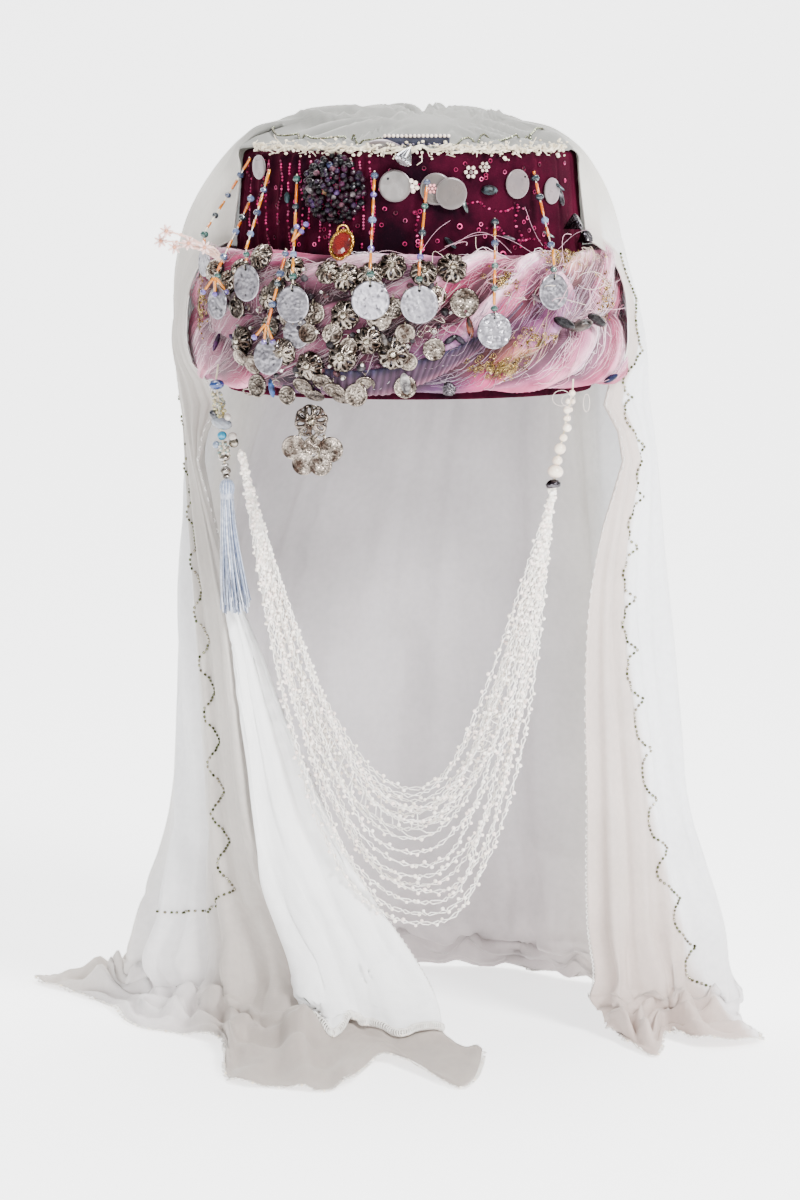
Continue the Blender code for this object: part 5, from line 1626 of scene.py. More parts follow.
    def rumple(self, fold: np.ndarray, down: np.ndarray) -> tuple[np.ndarray, np.ndarray]:
        """How the cloth heaps up where it meets the floor.

        Args:
            fold: place across, counted in control folds.
            down: place down, counted in control points.

        Returns:
            Millimetres upwards and outwards.
        """
        heap = smooth(10.1, 10.8, down) * (1.0 - 0.86 * smooth(11.2, 12.0, down))
        warp = 0.6 * lattice(fold / 1.1, down * 1.6, 47)
        lift = 13.0 * ridge(fold * 0.85 + warp, 0.8) * (0.55 + 0.45 * lattice(fold / 1.7, down / 0.6, 48))
        lift = (lift + 4.6 * ridge(down * 2.6 + 0.8 * warp, 0.7)
                + 3.0 * np.abs(lattice(fold * 1.9, down * 4.0, 49)))
        knee = smooth(9.2, 10.2, down) * (1.0 - smooth(10.6, 11.4, down))
        aside = (5.0 * knee * lattice(fold * 1.2, down / 0.5, 50)
                 + 2.4 * knee * (ridge(fold * 2.3 + warp, 0.7) - 0.5))
        return heap * lift, aside

    def fan(self, bearing: np.ndarray, reach: np.ndarray) -> np.ndarray:
        """Height of the gathers that fan out from the front of the top.

        Args:
            bearing: direction from the middle of the front edge, in degrees.
            reach: distance from it, in mm.

        Returns:
            Millimetres outwards.
        """
        strength = smooth(4.0, 30.0, reach) * (1.0 - 0.4 * smooth(90.0, 190.0, reach))
        drift = 0.5 * lattice(bearing / 14.0, reach / 60.0, 46)
        wide = np.cos(2 * np.pi * (bearing / 17.0 + drift))
        thin = np.cos(2 * np.pi * (bearing / 10.0 + 1.6 * drift))
        return strength * (2.6 * wide + 0.7 * thin)


class Guide:
    """Reads where a plain node of the frame stands."""

    @staticmethod
    def points(node: str) -> np.ndarray:
        """Every vertex of a node, in mm."""
        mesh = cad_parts[node].data
        flat = np.empty(len(mesh.vertices) * 3, dtype=np.float32)
        mesh.vertices.foreach_get("co", flat)
        return flat.reshape(-1, 3).astype(float) / MM

    @staticmethod
    def flat(node: str) -> tuple[Vector, Vector]:
        """Middle of a flat node, and the way that its face looks, away from the hat.

        Args:
            node: its name.

        Returns:
            The middle in mm and the outward direction.
        """
        points = np.unique(np.round(Guide.points(node), 3), axis=0)
        low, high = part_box(node)
        middle = (Vector(low) + Vector(high)) / 2 / MM
        _, _, axes = np.linalg.svd(points - points.mean(axis=0), full_matrices=False)
        normal = Vector(axes[2])
        if normal.dot(Vector((middle.x, middle.y, 0.0))) < 0.0:
            normal.negate()
        return middle, normal

    @staticmethod
    def line(node: str, count: int = 60) -> np.ndarray:
        """Centre line of an upright node, from its top down.

        Args:
            node: its name.
            count: how many points.

        Returns:
            Points in mm.
        """
        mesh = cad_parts[node].data
        points = Guide.points(node)
        corners = np.array([tuple(face.vertices) for face in mesh.polygons])
        pairs = np.vstack([corners[:, [0, 1]], corners[:, [1, 2]], corners[:, [2, 0]]])
        start, end = points[pairs[:, 0]], points[pairs[:, 1]]
        top, foot = points[:, 2].max() - 0.3, points[:, 2].min() + 0.3
        line = []
        for level in np.linspace(top, foot, count):
            crossed = (start[:, 2] - level) * (end[:, 2] - level) < 0.0
            share = (level - start[crossed, 2]) / (end[crossed, 2] - start[crossed, 2])
            cut = start[crossed] + (end[crossed] - start[crossed]) * share[:, None]
            line.append((cut.min(axis=0) + cut.max(axis=0)) / 2)
        return np.array(line)


def stand(place: Vector, normal: Vector, tilt: float = 0.0) -> Matrix:
    """Matrix that sets a form that faces +Z at a place on the front, upright and facing out.

    Args:
        place: in mm.
        normal: the way that it faces.
        tilt: its turn in its own plane, in degrees.

    Returns:
        The matrix, in mm.
    """
    facing = normal.normalized()
    across = Vector((0.0, 0.0, 1.0)).cross(facing).normalized()
    up = facing.cross(across)
    turn = Matrix((across, up, facing)).transposed().to_4x4()
    return Matrix.Translation(place) @ turn @ Matrix.Rotation(math.radians(tilt), 4, "Z")


def moved(points: np.ndarray, matrix: Matrix) -> np.ndarray:
    """Points in mm after a matrix."""
    return np.asarray(points) @ np.array(matrix.to_3x3()).T + np.array(matrix.translation)


class Relief(Enum):
    """What a flat disc shows on its face."""

    HAMMERED = "hammered"
    COIN = "coin"
    SHELL = "shell"


@dataclass
class Discs:
    """Flat round discs and coins, with their relief, rim and jump ring."""

    rings: int = 13
    sides: int = 52
    hammer: tuple = (0.16, 0.30, 0.12, 0.2, 0.34, 0.14, 0.26, 1.1, 0.6, 0.3)

    def mesh_parts(self, diameter: float, thick: float, relief: Relief,
                   seed: int) -> tuple[np.ndarray, list]:
        """A disc that faces +Z round its middle.

        Args:
            diameter: in mm.
            thick: in mm.
            relief: what its face shows.
            seed: which hammer marks.

        Returns:
            The vertices in mm and the faces.
        """
        radius = diameter / 2
        turn = np.linspace(0.0, 2 * np.pi, self.sides, endpoint=False)
        points = []
        for share in np.linspace(0.12, 1.0, self.rings):
            x, y = share * radius * np.cos(turn), share * radius * np.sin(turn)
            points.append(np.column_stack([x, y, thick / 2 + self.height(x, y, share, turn, relief, seed)]))
        edge = radius * 1.02
        rim = np.column_stack([edge * np.cos(turn), edge * np.sin(turn), 0 * turn])
        points.append(rim)
        points.append(np.column_stack([radius * 0.98 * np.cos(turn), radius * 0.98 * np.sin(turn),
                                       -thick / 2 + 0 * turn]))
        rows = len(points)
        flat = np.vstack(points + [[[0, 0, points[0][:, 2].mean()]], [[0, 0, -thick / 2]]])
        faces = []
        for row in range(rows - 1):
            for side in range(self.sides):
                after = (side + 1) % self.sides
                low, high = row * self.sides, (row + 1) * self.sides
                faces.append((low + side, high + side, high + after, low + after))
        middle = rows * self.sides
        for side in range(self.sides):
            after = (side + 1) % self.sides
            faces.append((side, after, middle))
            last = (rows - 1) * self.sides
            faces.append((last + after, last + side, middle + 1))
        return flat, faces

    def height(self, x: np.ndarray, y: np.ndarray, share: float, turn: np.ndarray, relief: Relief,
               seed: int) -> np.ndarray:
        """Relief over the disc's face.

        Args:
            x: across the face, in mm.
            y: up the face, in mm.
            share: distance from the middle, from 0 to 1.
            turn: angle round the middle.
            relief: what its face shows.
            seed: which marks.

        Returns:
            Millimetres over the flat face.
        """
        if relief is Relief.SHELL:
            return 0.10 * lattice(x / 4.0, y / 4.0, seed) - 0.12 * share**6
        if relief is Relief.HAMMERED:
            marks = np.abs(lattice(x / 1.9 + 3, y / 1.9 + 5, seed))
            soft = 0.22 * lattice(x / 7.0, y / 7.0, seed + 2)
            return self.hammer[seed % len(self.hammer)] * marks - 0.12 + soft + 0.1 * (share > 0.93)
        rim = 0.32 * (share > 0.88)
        dots = 0.22 * (0.72 < share < 0.84) * (np.cos(22 * turn) > 0.0)
        star = (0.3 * (share < 0.62) * (0.5 + 0.5 * np.cos(6 * turn + seed))
                * (1.0 - abs(share - 0.35) / 0.35))
        ring = 0.16 * (0.58 < share < 0.66)
        return rim + dots + star + ring - 0.18 + 0.06 * lattice(x, y, seed)

    def build(self, name: str, nodes: list[str], rows: list[tuple], relief: Relief,
              finish: Finish) -> bpy.types.Object:
        """Make all discs of a kind as one piece.

        Args:
            name: the piece's name.
            nodes: the plain nodes that they stand for.
            rows: diameter, thickness, tilt and outward shift for each node.
            relief: what their faces show.
            finish: what they are made of.

        Returns:
            The piece.
        """
        points, faces = [], []
        count = 0
        for number, (node, (diameter, thick, tilt, shift)) in enumerate(zip(nodes, rows)):
            middle, normal = Guide.flat(node)
            flat, own = self.mesh_parts(diameter, thick, relief, 60 + number * 11)
            points.append(moved(flat, stand(middle + normal * shift, normal, tilt)))
            faces += [tuple(corner + count for corner in face) for face in own]
            count += len(flat)
        piece = mesh_object(name, mesh_from(name, np.vstack(points), faces), finish)
        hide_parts(*nodes)
        return piece


@dataclass
class HangingStrands:
    """Nine strands of bugles and round beads over the front, each with a hammered disc."""

    # Heights of each strand's round beads, from the top down
    BEADS = (
        (109.3, 98.5, 88.7, 79.4),
        (97.5, 88.2, 80.9, 69.5, 60.0),
        (101.9, 90.7, 80.9, 71.0),
        (107.8, 94.1, 82.3, 72.2, 61.0),
        (72.0, 62.2, 57.3, 47.5, 34.5),
        (110.3, 100.9, 88.7, 75.2, 63.0),
        (106.8, 95.1, 82.3, 71.0, 60.5),
        (86.7, 76.9, 66.6, 55.9, 46.0),
        (108.0, 99.0, 87.7, 76.0, 64.2),
    )
    # Diameter, thickness, tilt and outward shift of each disc
    DISCS = (
        (13.8, 0.9, 8.0, 0.0), (16.0, 0.9, 5.0, 0.0), (18.0, 0.9, -6.0, 0.0), (18.0, 0.9, 4.0, 0.0),
        (17.6, 0.9, 6.0, 0.0), (18.6, 0.9, -4.0, 0.0), (18.2, 0.9, 3.0, 0.0), (17.6, 1.1, 5.0, 0.0),
        (17.6, 0.9, -7.0, 0.0), (15.0, 0.9, 0.0, 0.0),
    )
    COLOURS = ((74, 88, 120), (108, 92, 168), (44, 58, 66), (52, 92, 86), (112, 130, 168))

    def build(self) -> list[bpy.types.Object]:
        """Make the beads, the bugles, the discs and their rings.

        Returns:
            The pieces.
        """
        beads, bugles, rings, slots = Spots(), Spots(), Spots(), Spots()
        chance = np.random.default_rng(11)
        threads = []
        for number, heights in enumerate(self.BEADS, start=1):
            line = Guide.line(f"bead_strand_{number}", 90)
            threads.append(line)
            stops = [line[0][2] + 2.0, *heights, line[-1][2] - 1.0]
            for level, height in enumerate(heights):
                place, along = self.at(line, height)
                colour = (self.COLOURS[int(chance.integers(0, 5))] if level < len(heights) - 1
                          else self.COLOURS[3])
                size = 3.9 + 0.5 * chance.uniform(-1, 1)
                beads.put(place, along, (size, size, size * 0.86), colour, chance.uniform(0, 90))
            for high, low in zip(stops, stops[1:]):
                if high - low < 4.6:
                    continue
                place, along = self.at(line, (high + low) / 2)
                long = min(high - low - 3.6, 9.6)
                orange = (232, int(112 + 40 * chance.uniform()), int(10 + 14 * chance.uniform()))
                bugles.put(place, along, (1.55, 1.55, long), orange, chance.uniform(0, 60))
            middle, normal = Guide.flat(f"hanging_disc_{number}")
            top = middle + Vector((0.0, 0.0, self.DISCS[number - 1][0] / 2 - 0.2)) + normal * 0.2
            rings.put(top, normal.cross(Vector((0, 0, 1))), (3.6, 3.6, 3.6), (210, 206, 198))
            # Painted shade: dark beads on each disc stand for its keyhole slot, dark with shade.
            slot = middle + Vector((0.0, 0.0, self.DISCS[number - 1][0] / 2 - 2.3)) + normal * 0.6
            slots.put(slot, normal, (1.7, 1.7, 0.5), (14, 12, 14))
            slots.put(slot + Vector((0.0, 0.0, 1.3)), normal, (1.0, 1.0, 0.5), (14, 12, 14))
            slots.put(slot + Vector((0.0, 0.0, 2.0)), normal, (0.8, 0.8, 0.5), (14, 12, 14))
        pieces = []
        pieces.append(beads.scatter("strand_beads", Templates.gem(2), GLASS_BEAD, shade=False))
        pieces.append(bugles.scatter("strand_bugles", Templates.bugle(), GLASS_BEAD))
        pieces.append(rings.scatter("disc_rings", Templates.ring(0.13), METAL_BEAD))
        pieces.append(slots.scatter("disc_slots", Templates.ball(10, 4), DARK_BEAD))
        thread = tube_mesh("strand_threads", threads, [0.35] * 9, 5)
        thread_piece = mesh_object("strand_threads", thread, CREAM_THREAD)
        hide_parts(*[f"bead_strand_{number}" for number in range(1, 10)])
        nodes = [f"hanging_disc_{number}" for number in range(1, 11)]
        pieces.append(thread_piece)
        pieces.append(Discs().build("hanging_discs", nodes, list(self.DISCS), Relief.HAMMERED, SILVER))
        pieces += self.tufts()
        return pieces

    def at(self, line: np.ndarray, height: float) -> tuple[Vector, Vector]:
        """Place and direction on a strand at a height."""
        index = int(np.argmin(np.abs(line[:, 2] - height)))
        low, high = max(index - 3, 0), min(index + 3, len(line) - 1)
        return Vector(line[index]), Vector(line[high] - line[low])

    def tufts(self) -> list[bpy.types.Object]:
        """Small fans of bugles and beads at strands 2, 4 and 5.

        Returns:
            The pieces.
        """
        bugles, beads = Spots(), Spots()
        rows = (
            ("bead_strand_2", 60.0, ((-5, -7), (0, -8), (5, -7))),
            ("bead_strand_4", 78.0, ((4, 4), (6, 7), (2, 6))),
            ("bead_strand_5", 38.0, ((-5, -6), (-1, -8), (3, -8))),
        )
        for node, height, spread in rows:
            place, _ = self.at(Guide.line(node, 60), height)
            out = Vector((place.x, place.y, 0)).normalized()
            for across, down in spread:
                way = Vector((across, 0.0, down))
                middle = place + out * 1.6 + way * 0.55
                bugles.put(middle, way, (1.5, 1.5, 7.4), (222, 136, 26))
                beads.put(place + out * 1.8 + way * 1.15, way, (3.1, 3.1, 2.8), (116, 100, 176))
        return [
            bugles.scatter("tuft_bugles", Templates.bugle(), GLASS_BEAD),
            beads.scatter("tuft_beads", Templates.gem(2), GLASS_BEAD, shade=False),
        ]


@dataclass
class Filigree:
    """Domed rosettes of pierced silver petals."""

    hollows: Spots = field(default_factory=Spots)
    diameters: tuple = (12.5, 12.5, 12.0, 13.5, 13.5, 13.0, 14.0, 13.0, 13.0, 13.5, 14.0)
    petals: int = 8
    dome: float = 3.6
    wire: float = 0.95

    # More rosettes between them: x, z, diameter and tilt
    MORE = (
        (-58.0, 64.0, 12.5, 5.0), (-19.5, 62.0, 12.0, 20.0), (6.5, 63.0, 12.5, 9.0),
        (-62.0, 24.0, 12.5, 11.0),
        (-20.5, 30.5, 12.5, 24.0), (-40.0, 63.0, 11.5, 14.0), (-97.0, 62.0, 11.0, 9.0),
        (-69.0, 50.0, 11.5, 30.0),
    )

    def parts(self, matrix: Matrix, diameter: float, paths: list, radii: list, grains: Spots) -> None:
        """Add one rosette.

        Args:
            matrix: where it stands.
            diameter: in mm.
            paths: the wires' paths, which grow.
            radii: the wires' radii, which grow.
            grains: the granules, which grow.
        """
        reach = diameter / 2 * 1.04
        for petal in range(self.petals):
            turn = 2 * math.pi * petal / self.petals
            loop = []
            for step in range(15):
                lap = 2 * math.pi * step / 14
                out = reach * (0.62 - 0.34 * math.cos(lap))
                side = reach * 0.22 * math.sin(lap) * (0.5 + 0.6 * out / reach)
                height = self.dome * (1.0 - (out / reach) ** 2) + 0.5
                x = out * math.cos(turn) - side * math.sin(turn)
                y = out * math.sin(turn) + side * math.cos(turn)
                loop.append((x, y, height))
            paths.append(moved(np.array(loop), matrix))
            radii.append(self.wire)
            if petal % 2:
                rib = [(0.2 * reach, 0, self.dome * 0.96 + 0.5), (0.74 * reach, 0, self.dome * 0.45 + 0.5)]
                rib = [(x * math.cos(turn), x * math.sin(turn), z) for x, _, z in rib]
                paths.append(moved(np.array(rib), matrix))
                radii.append(self.wire * 0.4)
            tip = Vector((reach * 0.985 * math.cos(turn), reach * 0.985 * math.sin(turn), 0.5))
            grains.put(matrix @ tip, matrix.col[2].to_3d(), (1.5, 1.5, 1.3), (214, 208, 198))
        rim = []
        for step in range(49):
            turn = 2 * math.pi * step / 48
            out = reach * (0.93 + 0.07 * abs(math.cos(turn * self.petals / 2)))
            rim.append((out * math.cos(turn), out * math.sin(turn), 0.25))
        paths.append(moved(np.array(rim), matrix))
        radii.append(0.5)
        boss = Vector((0.0, 0.0, self.dome + 0.6))
        grains.put(matrix @ boss, matrix.col[2].to_3d(), (3.6, 3.6, 2.4), (206, 200, 190))
        # Painted shade: a dark dome under each rosette makes the spaces between its wires look dark.
        hollow = matrix @ Vector((0.0, 0.0, -0.4))
        self.hollows.put(hollow, matrix.col[2].to_3d(), (reach * 1.86, reach * 1.86, self.dome * 1.7),
                         (26, 20, 24))
        for grain in range(8):
            turn = 2 * math.pi * grain / 8
            near = Vector((2.2 * math.cos(turn), 2.2 * math.sin(turn), self.dome + 0.3))
            grains.put(matrix @ near, matrix.col[2].to_3d(), (1.0, 1.0, 1.0), (220, 214, 204))

    def build(self) -> list[bpy.types.Object]:
        """Make every rosette and its granules.

        Returns:
            The wires, the granules and the dark domes of painted shade under them.
        """
        paths, radii, grains = [], [], Spots()
        nodes = [f"filigree_{number}" for number in range(1, 12)]
        for number, (node, diameter) in enumerate(zip(nodes, self.diameters)):
            middle, normal = Guide.flat(node)
            self.parts(stand(middle - normal * 1.6, normal, 17.0 * number), diameter, paths, radii, grains)
        for x, height, diameter, tilt in self.MORE:
            place, normal = TurbanRoll().surface(x, height, 1.0)
            self.parts(stand(place, normal, tilt), diameter, paths, radii, grains)
        wires = mesh_object("filigree_wires", tube_mesh("filigree_wires", paths, radii, 6), ANTIQUE)
        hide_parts(*nodes)
        return [
            wires,
            grains.scatter("filigree_grains", Templates.ball(8, 5), METAL_BEAD),
            self.hollows.scatter("filigree_hollows", Templates.ball(12, 7), DARK_METAL),
        ]


@dataclass
class SmallCoins:
    """Coins among the rosettes, with the discs along the top of the velvet."""

    COINS = ((11.5, 1.1, 0.0, 0.0), (9.5, 1.1, 20.0, 0.0), (11.5, 1.1, 35.0, 0.0), (11.0, 1.1, 50.0, 0.0),
             (11.0, 1.1, 10.0, 0.0), (14.5, 1.1, 70.0, 0.0))
    TOPS = ((12.0, 0.9, 0.0, 0.0), (15.6, 0.9, 0.0, 0.0), (15.6, 0.9, 0.0, 0.0), (15.6, 0.9, 0.0, 0.0),
            (14.4, 0.9, 0.0, 0.0), (13.0, 0.9, 0.0, 0.0))
    # Dark faceted beads set as painted shade between the rosettes: x and z
    GAPS = (
        (-92, 47), (-88, 24), (-83, 41), (-79, 60), (-72, 43), (-66, 41), (-63, 57), (-58, 47), (-54, 36),
        (-41, 52),
        (-39, 28), (-28, 33), (-25, 44), (-20, 52), (-17, 36), (-14, 57), (-1, 41), (1, 30), (17, 44),
        (-43, 15),
        (-56, 15), (-66, 12), (-24, 17), (-30, 53), (-47, 33), (-52, 60), (-74, 21), (-85, 55), (10, 57),
        (-85, 33),
        (-36, 14), (-16, 18), (-60, 33), (-76, 31), (0, 57), (-10, 31), (-69, 27), (-49, 51), (14, 37),
        (27, 44),
    )
    # More small coins that overlap between the rosettes: x, z, diameter, tilt, how far off the roll
    EXTRA = (
        (-66.0, 55.0, 10.0, 10, 3.4), (-47.1, 43.3, 11.0, 40, 1.2), (-15.2, 41.4, 12.5, 20, 0.9),
        (-8.4, 46.4, 10.5, 60, 2.6), (-52.8, 7.2, 10.5, 15, 1.2), (-42.9, 9.6, 11.0, 35, 2.0),
        (-33.2, 1.6, 10.0, 70, 1.0), (-77.5, 17.0, 10.5, 30, 1.0), (-86.0, 44.0, 10.5, 50, 1.2),
        (-38.0, 33.5, 10.5, 25, 1.4), (-57.0, 53.0, 9.5, 45, 2.6), (-24.0, 50.0, 9.5, 65, 2.4),
        (-69.0, 36.0, 11.0, 5, 1.6), (12.8, 52.0, 10.0, 30, 1.0), (-2.6, 34.0, 10.0, 15, 1.2),
        (-50.0, 33.5, 10.0, 0, 2.2), (-30.0, 27.5, 9.0, 50, 1.8), (-60.0, 41.0, 9.5, 12, 2.6),
        (-37.0, 5.5, 10.5, 20, 3.0),
        (-47.0, 2.5, 10.0, 44, 1.6), (-84.0, 20.0, 9.0, 33, 1.6), (-22.0, 9.0, 9.5, 5, 1.4),
        (-1.0, 20.0, 9.0, 62, 1.6),
    )

    def build(self) -> list[bpy.types.Object]:
        """Make the coins and the discs.

        Returns:
            The pieces.
        """
        discs = Discs(rings=10, sides=36)
        coins = [f"coin_{number}" for number in range(1, 7)]
        tops = [f"top_disc_{number}" for number in range(1, 7)]
        pieces = [
            discs.build("small_coins", coins, list(self.COINS), Relief.COIN, ANTIQUE),
            discs.build("top_discs", tops, list(self.TOPS), Relief.SHELL, SHELL),
        ]
        points, faces, rings, holes = [], [], Spots(), Spots()
        count = 0
        roll = TurbanRoll()
        for number, (x, height, diameter, tilt, out) in enumerate(self.EXTRA):
            place, normal = roll.surface(x, height, out)
            lean = (normal
                    + Vector((0.12 * math.sin(number), 0.0, 0.15 * math.cos(2.0 * number)))).normalized()
            flat, own = discs.mesh_parts(diameter, 0.9, Relief.COIN, 200 + number * 5)
            points.append(moved(flat, stand(place, lean, tilt)))
            faces += [tuple(corner + count for corner in face) for face in own]
            count += len(flat)
            top = place + Vector((0.0, 0.0, diameter / 2)) + lean * 0.3
            rings.put(top, lean.cross(Vector((0, 0, 1))), (3.6, 3.6, 3.6), (180, 172, 160), 30.0)
        shade_and_gap_beads = Spots()
        chance = np.random.default_rng(23)
        for x, height in self.GAPS:
            place, normal = roll.surface(x, height, 0.6)
            wide = 2.6 + 2.6 * chance.uniform()
            # Painted shade: a dark bead fills the space here between the rosettes.
            shade = ((30, 22, 28), (58, 30, 44), (96, 60, 66), (70, 66, 70))[int(chance.integers(0, 4))]
            shade_and_gap_beads.put(place, chance.uniform(-1, 1, 3), (wide, wide * 0.8, wide), shade)
            bright, out = roll.surface(x + chance.uniform(-4, 4), max(height + chance.uniform(-4, 4), 5.0),
                                       1.8)
            rings.put(bright, chance.uniform(-1, 1, 3) + (0, -0.6, 0), (3.4, 3.4, 3.4), (200, 194, 186))
            shade_and_gap_beads.put(bright + out, chance.uniform(-1, 1, 3), (1.8, 1.8, 1.8), (206, 200, 196))
        pieces.append(shade_and_gap_beads.scatter("gap_beads", Templates.gem(2), DARK_BEAD, shade=False))
        extra = mesh_from("layered_coins", np.vstack(points), faces)
        pieces.append(mesh_object("layered_coins", extra, ANTIQUE))
        # Painted shade: a dark bead on each top disc stands for a hole, dark with shade.
        for number, node in enumerate(tops):
            middle, normal = Guide.flat(node)
            spot = (middle + Vector((4.0 * (-1) ** number, 0.0, 4.2 if number % 3 else -5.0)) * 0.85
                    + normal * 0.55)
            holes.put(spot, normal, (1.3, 1.3, 0.3), (24, 20, 24))
        pieces.append(rings.scatter("coin_rings", Templates.ring(0.15), METAL_BEAD))
        pieces.append(holes.scatter("disc_holes", Templates.ball(10, 4), DARK_BEAD))
        return pieces


@dataclass
class DarkRosette:
    """Rosette of dark faceted beads with an iridescent middle."""

    radius: float = 16.0
    dome: float = 8.4

    def build(self) -> list[bpy.types.Object]:
        """Make the beads, and the crystal that hangs under them.

        Returns:
            The pieces.
        """
        middle, _ = Guide.flat("bead_rosette")
        normal = Vector((middle.x, middle.y, 0.0)).normalized()
        low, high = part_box("bead_rosette")
        middle.z = (low[2] + high[2]) / 2 / MM
        back = float(fez_radius(middle.z)) + 2.0
        place = Vector((normal.x * back, normal.y * back, middle.z))
        matrix = stand(place, normal)
        beads = Spots()
        chance = np.random.default_rng(21)
        plum = ((34, 12, 26), (18, 8, 16), (58, 22, 46), (12, 10, 18), (40, 22, 46))
        bright = ((156, 120, 84), (110, 70, 84), (44, 48, 84), (120, 110, 112), (66, 44, 84))
        rows = ((15.8, 30, 3.6, 0.8), (14.2, 27, 3.5, 2.6), (12.2, 24, 3.4, 4.4), (9.9, 20, 3.3, 5.9),
                (7.5, 15, 3.2, 7.1), (5.0, 10, 3.0, 8.0), (2.4, 5, 3.0, 8.6), (0.0, 1, 3.0, 9.0))
        for row, (out, number, size, height) in enumerate(rows):
            for bead in range(number):
                turn = 2 * math.pi * (bead + 0.5 * (row % 2)) / number + 0.12 * chance.uniform(-1, 1)
                reach = out + 0.5 * chance.uniform(-1, 1)
                local = Vector((reach * math.cos(turn), reach * math.sin(turn),
                                height + 0.7 * chance.uniform(-1, 1)))
                colour = plum[int(chance.integers(0, 5))]
                if row >= 2 and chance.uniform() < 0.24:
                    colour = bright[int(chance.integers(0, 5))]
                wide = size * (0.92 + 0.2 * chance.uniform())
                beads.put(matrix @ local, Vector(chance.uniform(-1, 1, 3)), (wide, wide, wide * 0.9),
                          colour)
        piece = beads.scatter("rosette_beads", Templates.gem(2), DARK_BEAD, shade=False)
        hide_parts("bead_rosette")
        return [piece, *self.crystal()]

    def crystal(self) -> list[bpy.types.Object]:
        """The orange crystal, its gilt rim and its ring.

        Returns:
            The pieces.
        """
        middle, normal = Guide.flat("crystal_pendant")
        normal = (Vector((normal.x, normal.y, 0.0)).normalized() + Vector((0.0, 0.0, 0.3))).normalized()
        middle = middle + normal * 1.5
        matrix = stand(middle - Vector((0, 0, 1.6)), normal, -12.0) @ Matrix.Diagonal((1.0, 1.3, 1.0, 1.0))
        profile = [(3.2, -2.0), (5.0, 0.0), (5.15, 0.7), (4.2, 2.3), (2.6, 3.0)]
        gem = Templates.turned(profile, 12, "crystal_cut")
        gem.transform(matrix)
        gem.transform(Matrix.Diagonal((MM, MM, MM, 1.0)))
        stone = mesh_object("crystal_cut", gem, CRYSTAL, shade=False)
        turn = np.linspace(0, 2 * np.pi, 33)
        rim = moved(np.column_stack([5.5 * np.cos(turn), 5.5 * 1.3 * np.sin(turn), 0.2 + 0 * turn]),
                    stand(middle - Vector((0, 0, 1.6)), normal, -12.0))
        low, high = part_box("crystal_pendant")
        top = Vector(((low[0] + high[0]) / 2 / MM, middle.y, high[2] / MM - 2.6))
        ring = np.column_stack([2.7 * np.cos(turn), 0.0 * turn, 2.7 * np.sin(turn)]) + np.array(top)
        setting = mesh_object("crystal_setting", tube_mesh("crystal_setting", [rim, ring], [0.95, 0.5], 8),
                              GILT)
        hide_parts("crystal_pendant")
        claws = Spots()
        for claw in range(16):
            at = rim[2 * claw]
            claws.put(Vector(at) + normal * 0.8, normal, (1.3, 1.3, 1.3), (232, 186, 96))
        return [stone, setting, claws.scatter("crystal_claws", Templates.ball(8, 5), GILT)]


@dataclass
class CoinPendant:
    """Domed rosette with five coins that hangs under the roll."""

    place: tuple[float, float, float] = (-48.6, -98.5, -10.0)
    # x, z, diameter and depth of each coin, from the rosette's middle
    COINS = ((-8.6, -13.0, 12.0, -0.4), (-3.8, -21.0, 11.5, 0.3), (4.6, -21.6, 11.0, -0.4),
             (9.4, -14.2, 12.5, 0.3), (0.6, -12.0, 9.0, -0.4))

    def build(self) -> list[bpy.types.Object]:
        """Make the rosette, the coins and their links.

        Returns:
            The pieces.
        """
        middle = Vector(self.place)
        front = Vector((0.0, -1.0, 0.0))
        paths, radii, grains = [], [], Spots()
        Filigree(dome=3.8).parts(stand(middle + front * 0.6, front, 11.0), 15.4, paths, radii, grains)
        hook = Guide.line("coin_pendant", 120)[:8]
        paths.append(hook)
        radii.append(0.7)
        wires = tube_mesh("pendant_rosette", paths, radii, 6)
        piece = mesh_object("pendant_rosette", wires, ANTIQUE)
        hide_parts("coin_pendant")
        discs = Discs(rings=11, sides=40)
        points, faces, rings = [], [], Spots()
        count = 0
        for number, (x, z, diameter, depth) in enumerate(self.COINS):
            at = middle + Vector((x, depth, z))
            lean = Vector((0.10 * (-1) ** number, -1.0, 0.06 * number - 0.1)).normalized()
            flat, own = discs.mesh_parts(diameter, 1.0, Relief.COIN, 300 + 7 * number)
            points.append(moved(flat, stand(at, lean, 25.0 * number)))
            faces += [tuple(corner + count for corner in face) for face in own]
            count += len(flat)
            top = at + Vector((-x * 0.32, -0.4, diameter * 0.46))
            rings.put(top, (0.9, 0.3, 0.1 * number), (4.0, 4.0, 4.0), (196, 190, 178), 20.0)
            rings.put(top + Vector((-x * 0.12, 0.2, 2.4)), (0.3, 1.0, 0.0), (3.6, 3.6, 3.6),
                      (196, 190, 178))
        coins = mesh_object("pendant_coins", mesh_from("pendant_coins", np.vstack(points), faces), ANTIQUE)
        return [
            piece,
            coins,
            grains.scatter("pendant_grains", Templates.ball(8, 5), METAL_BEAD),
            rings.scatter("pendant_rings", Templates.ring(0.15), METAL_BEAD),
        ]


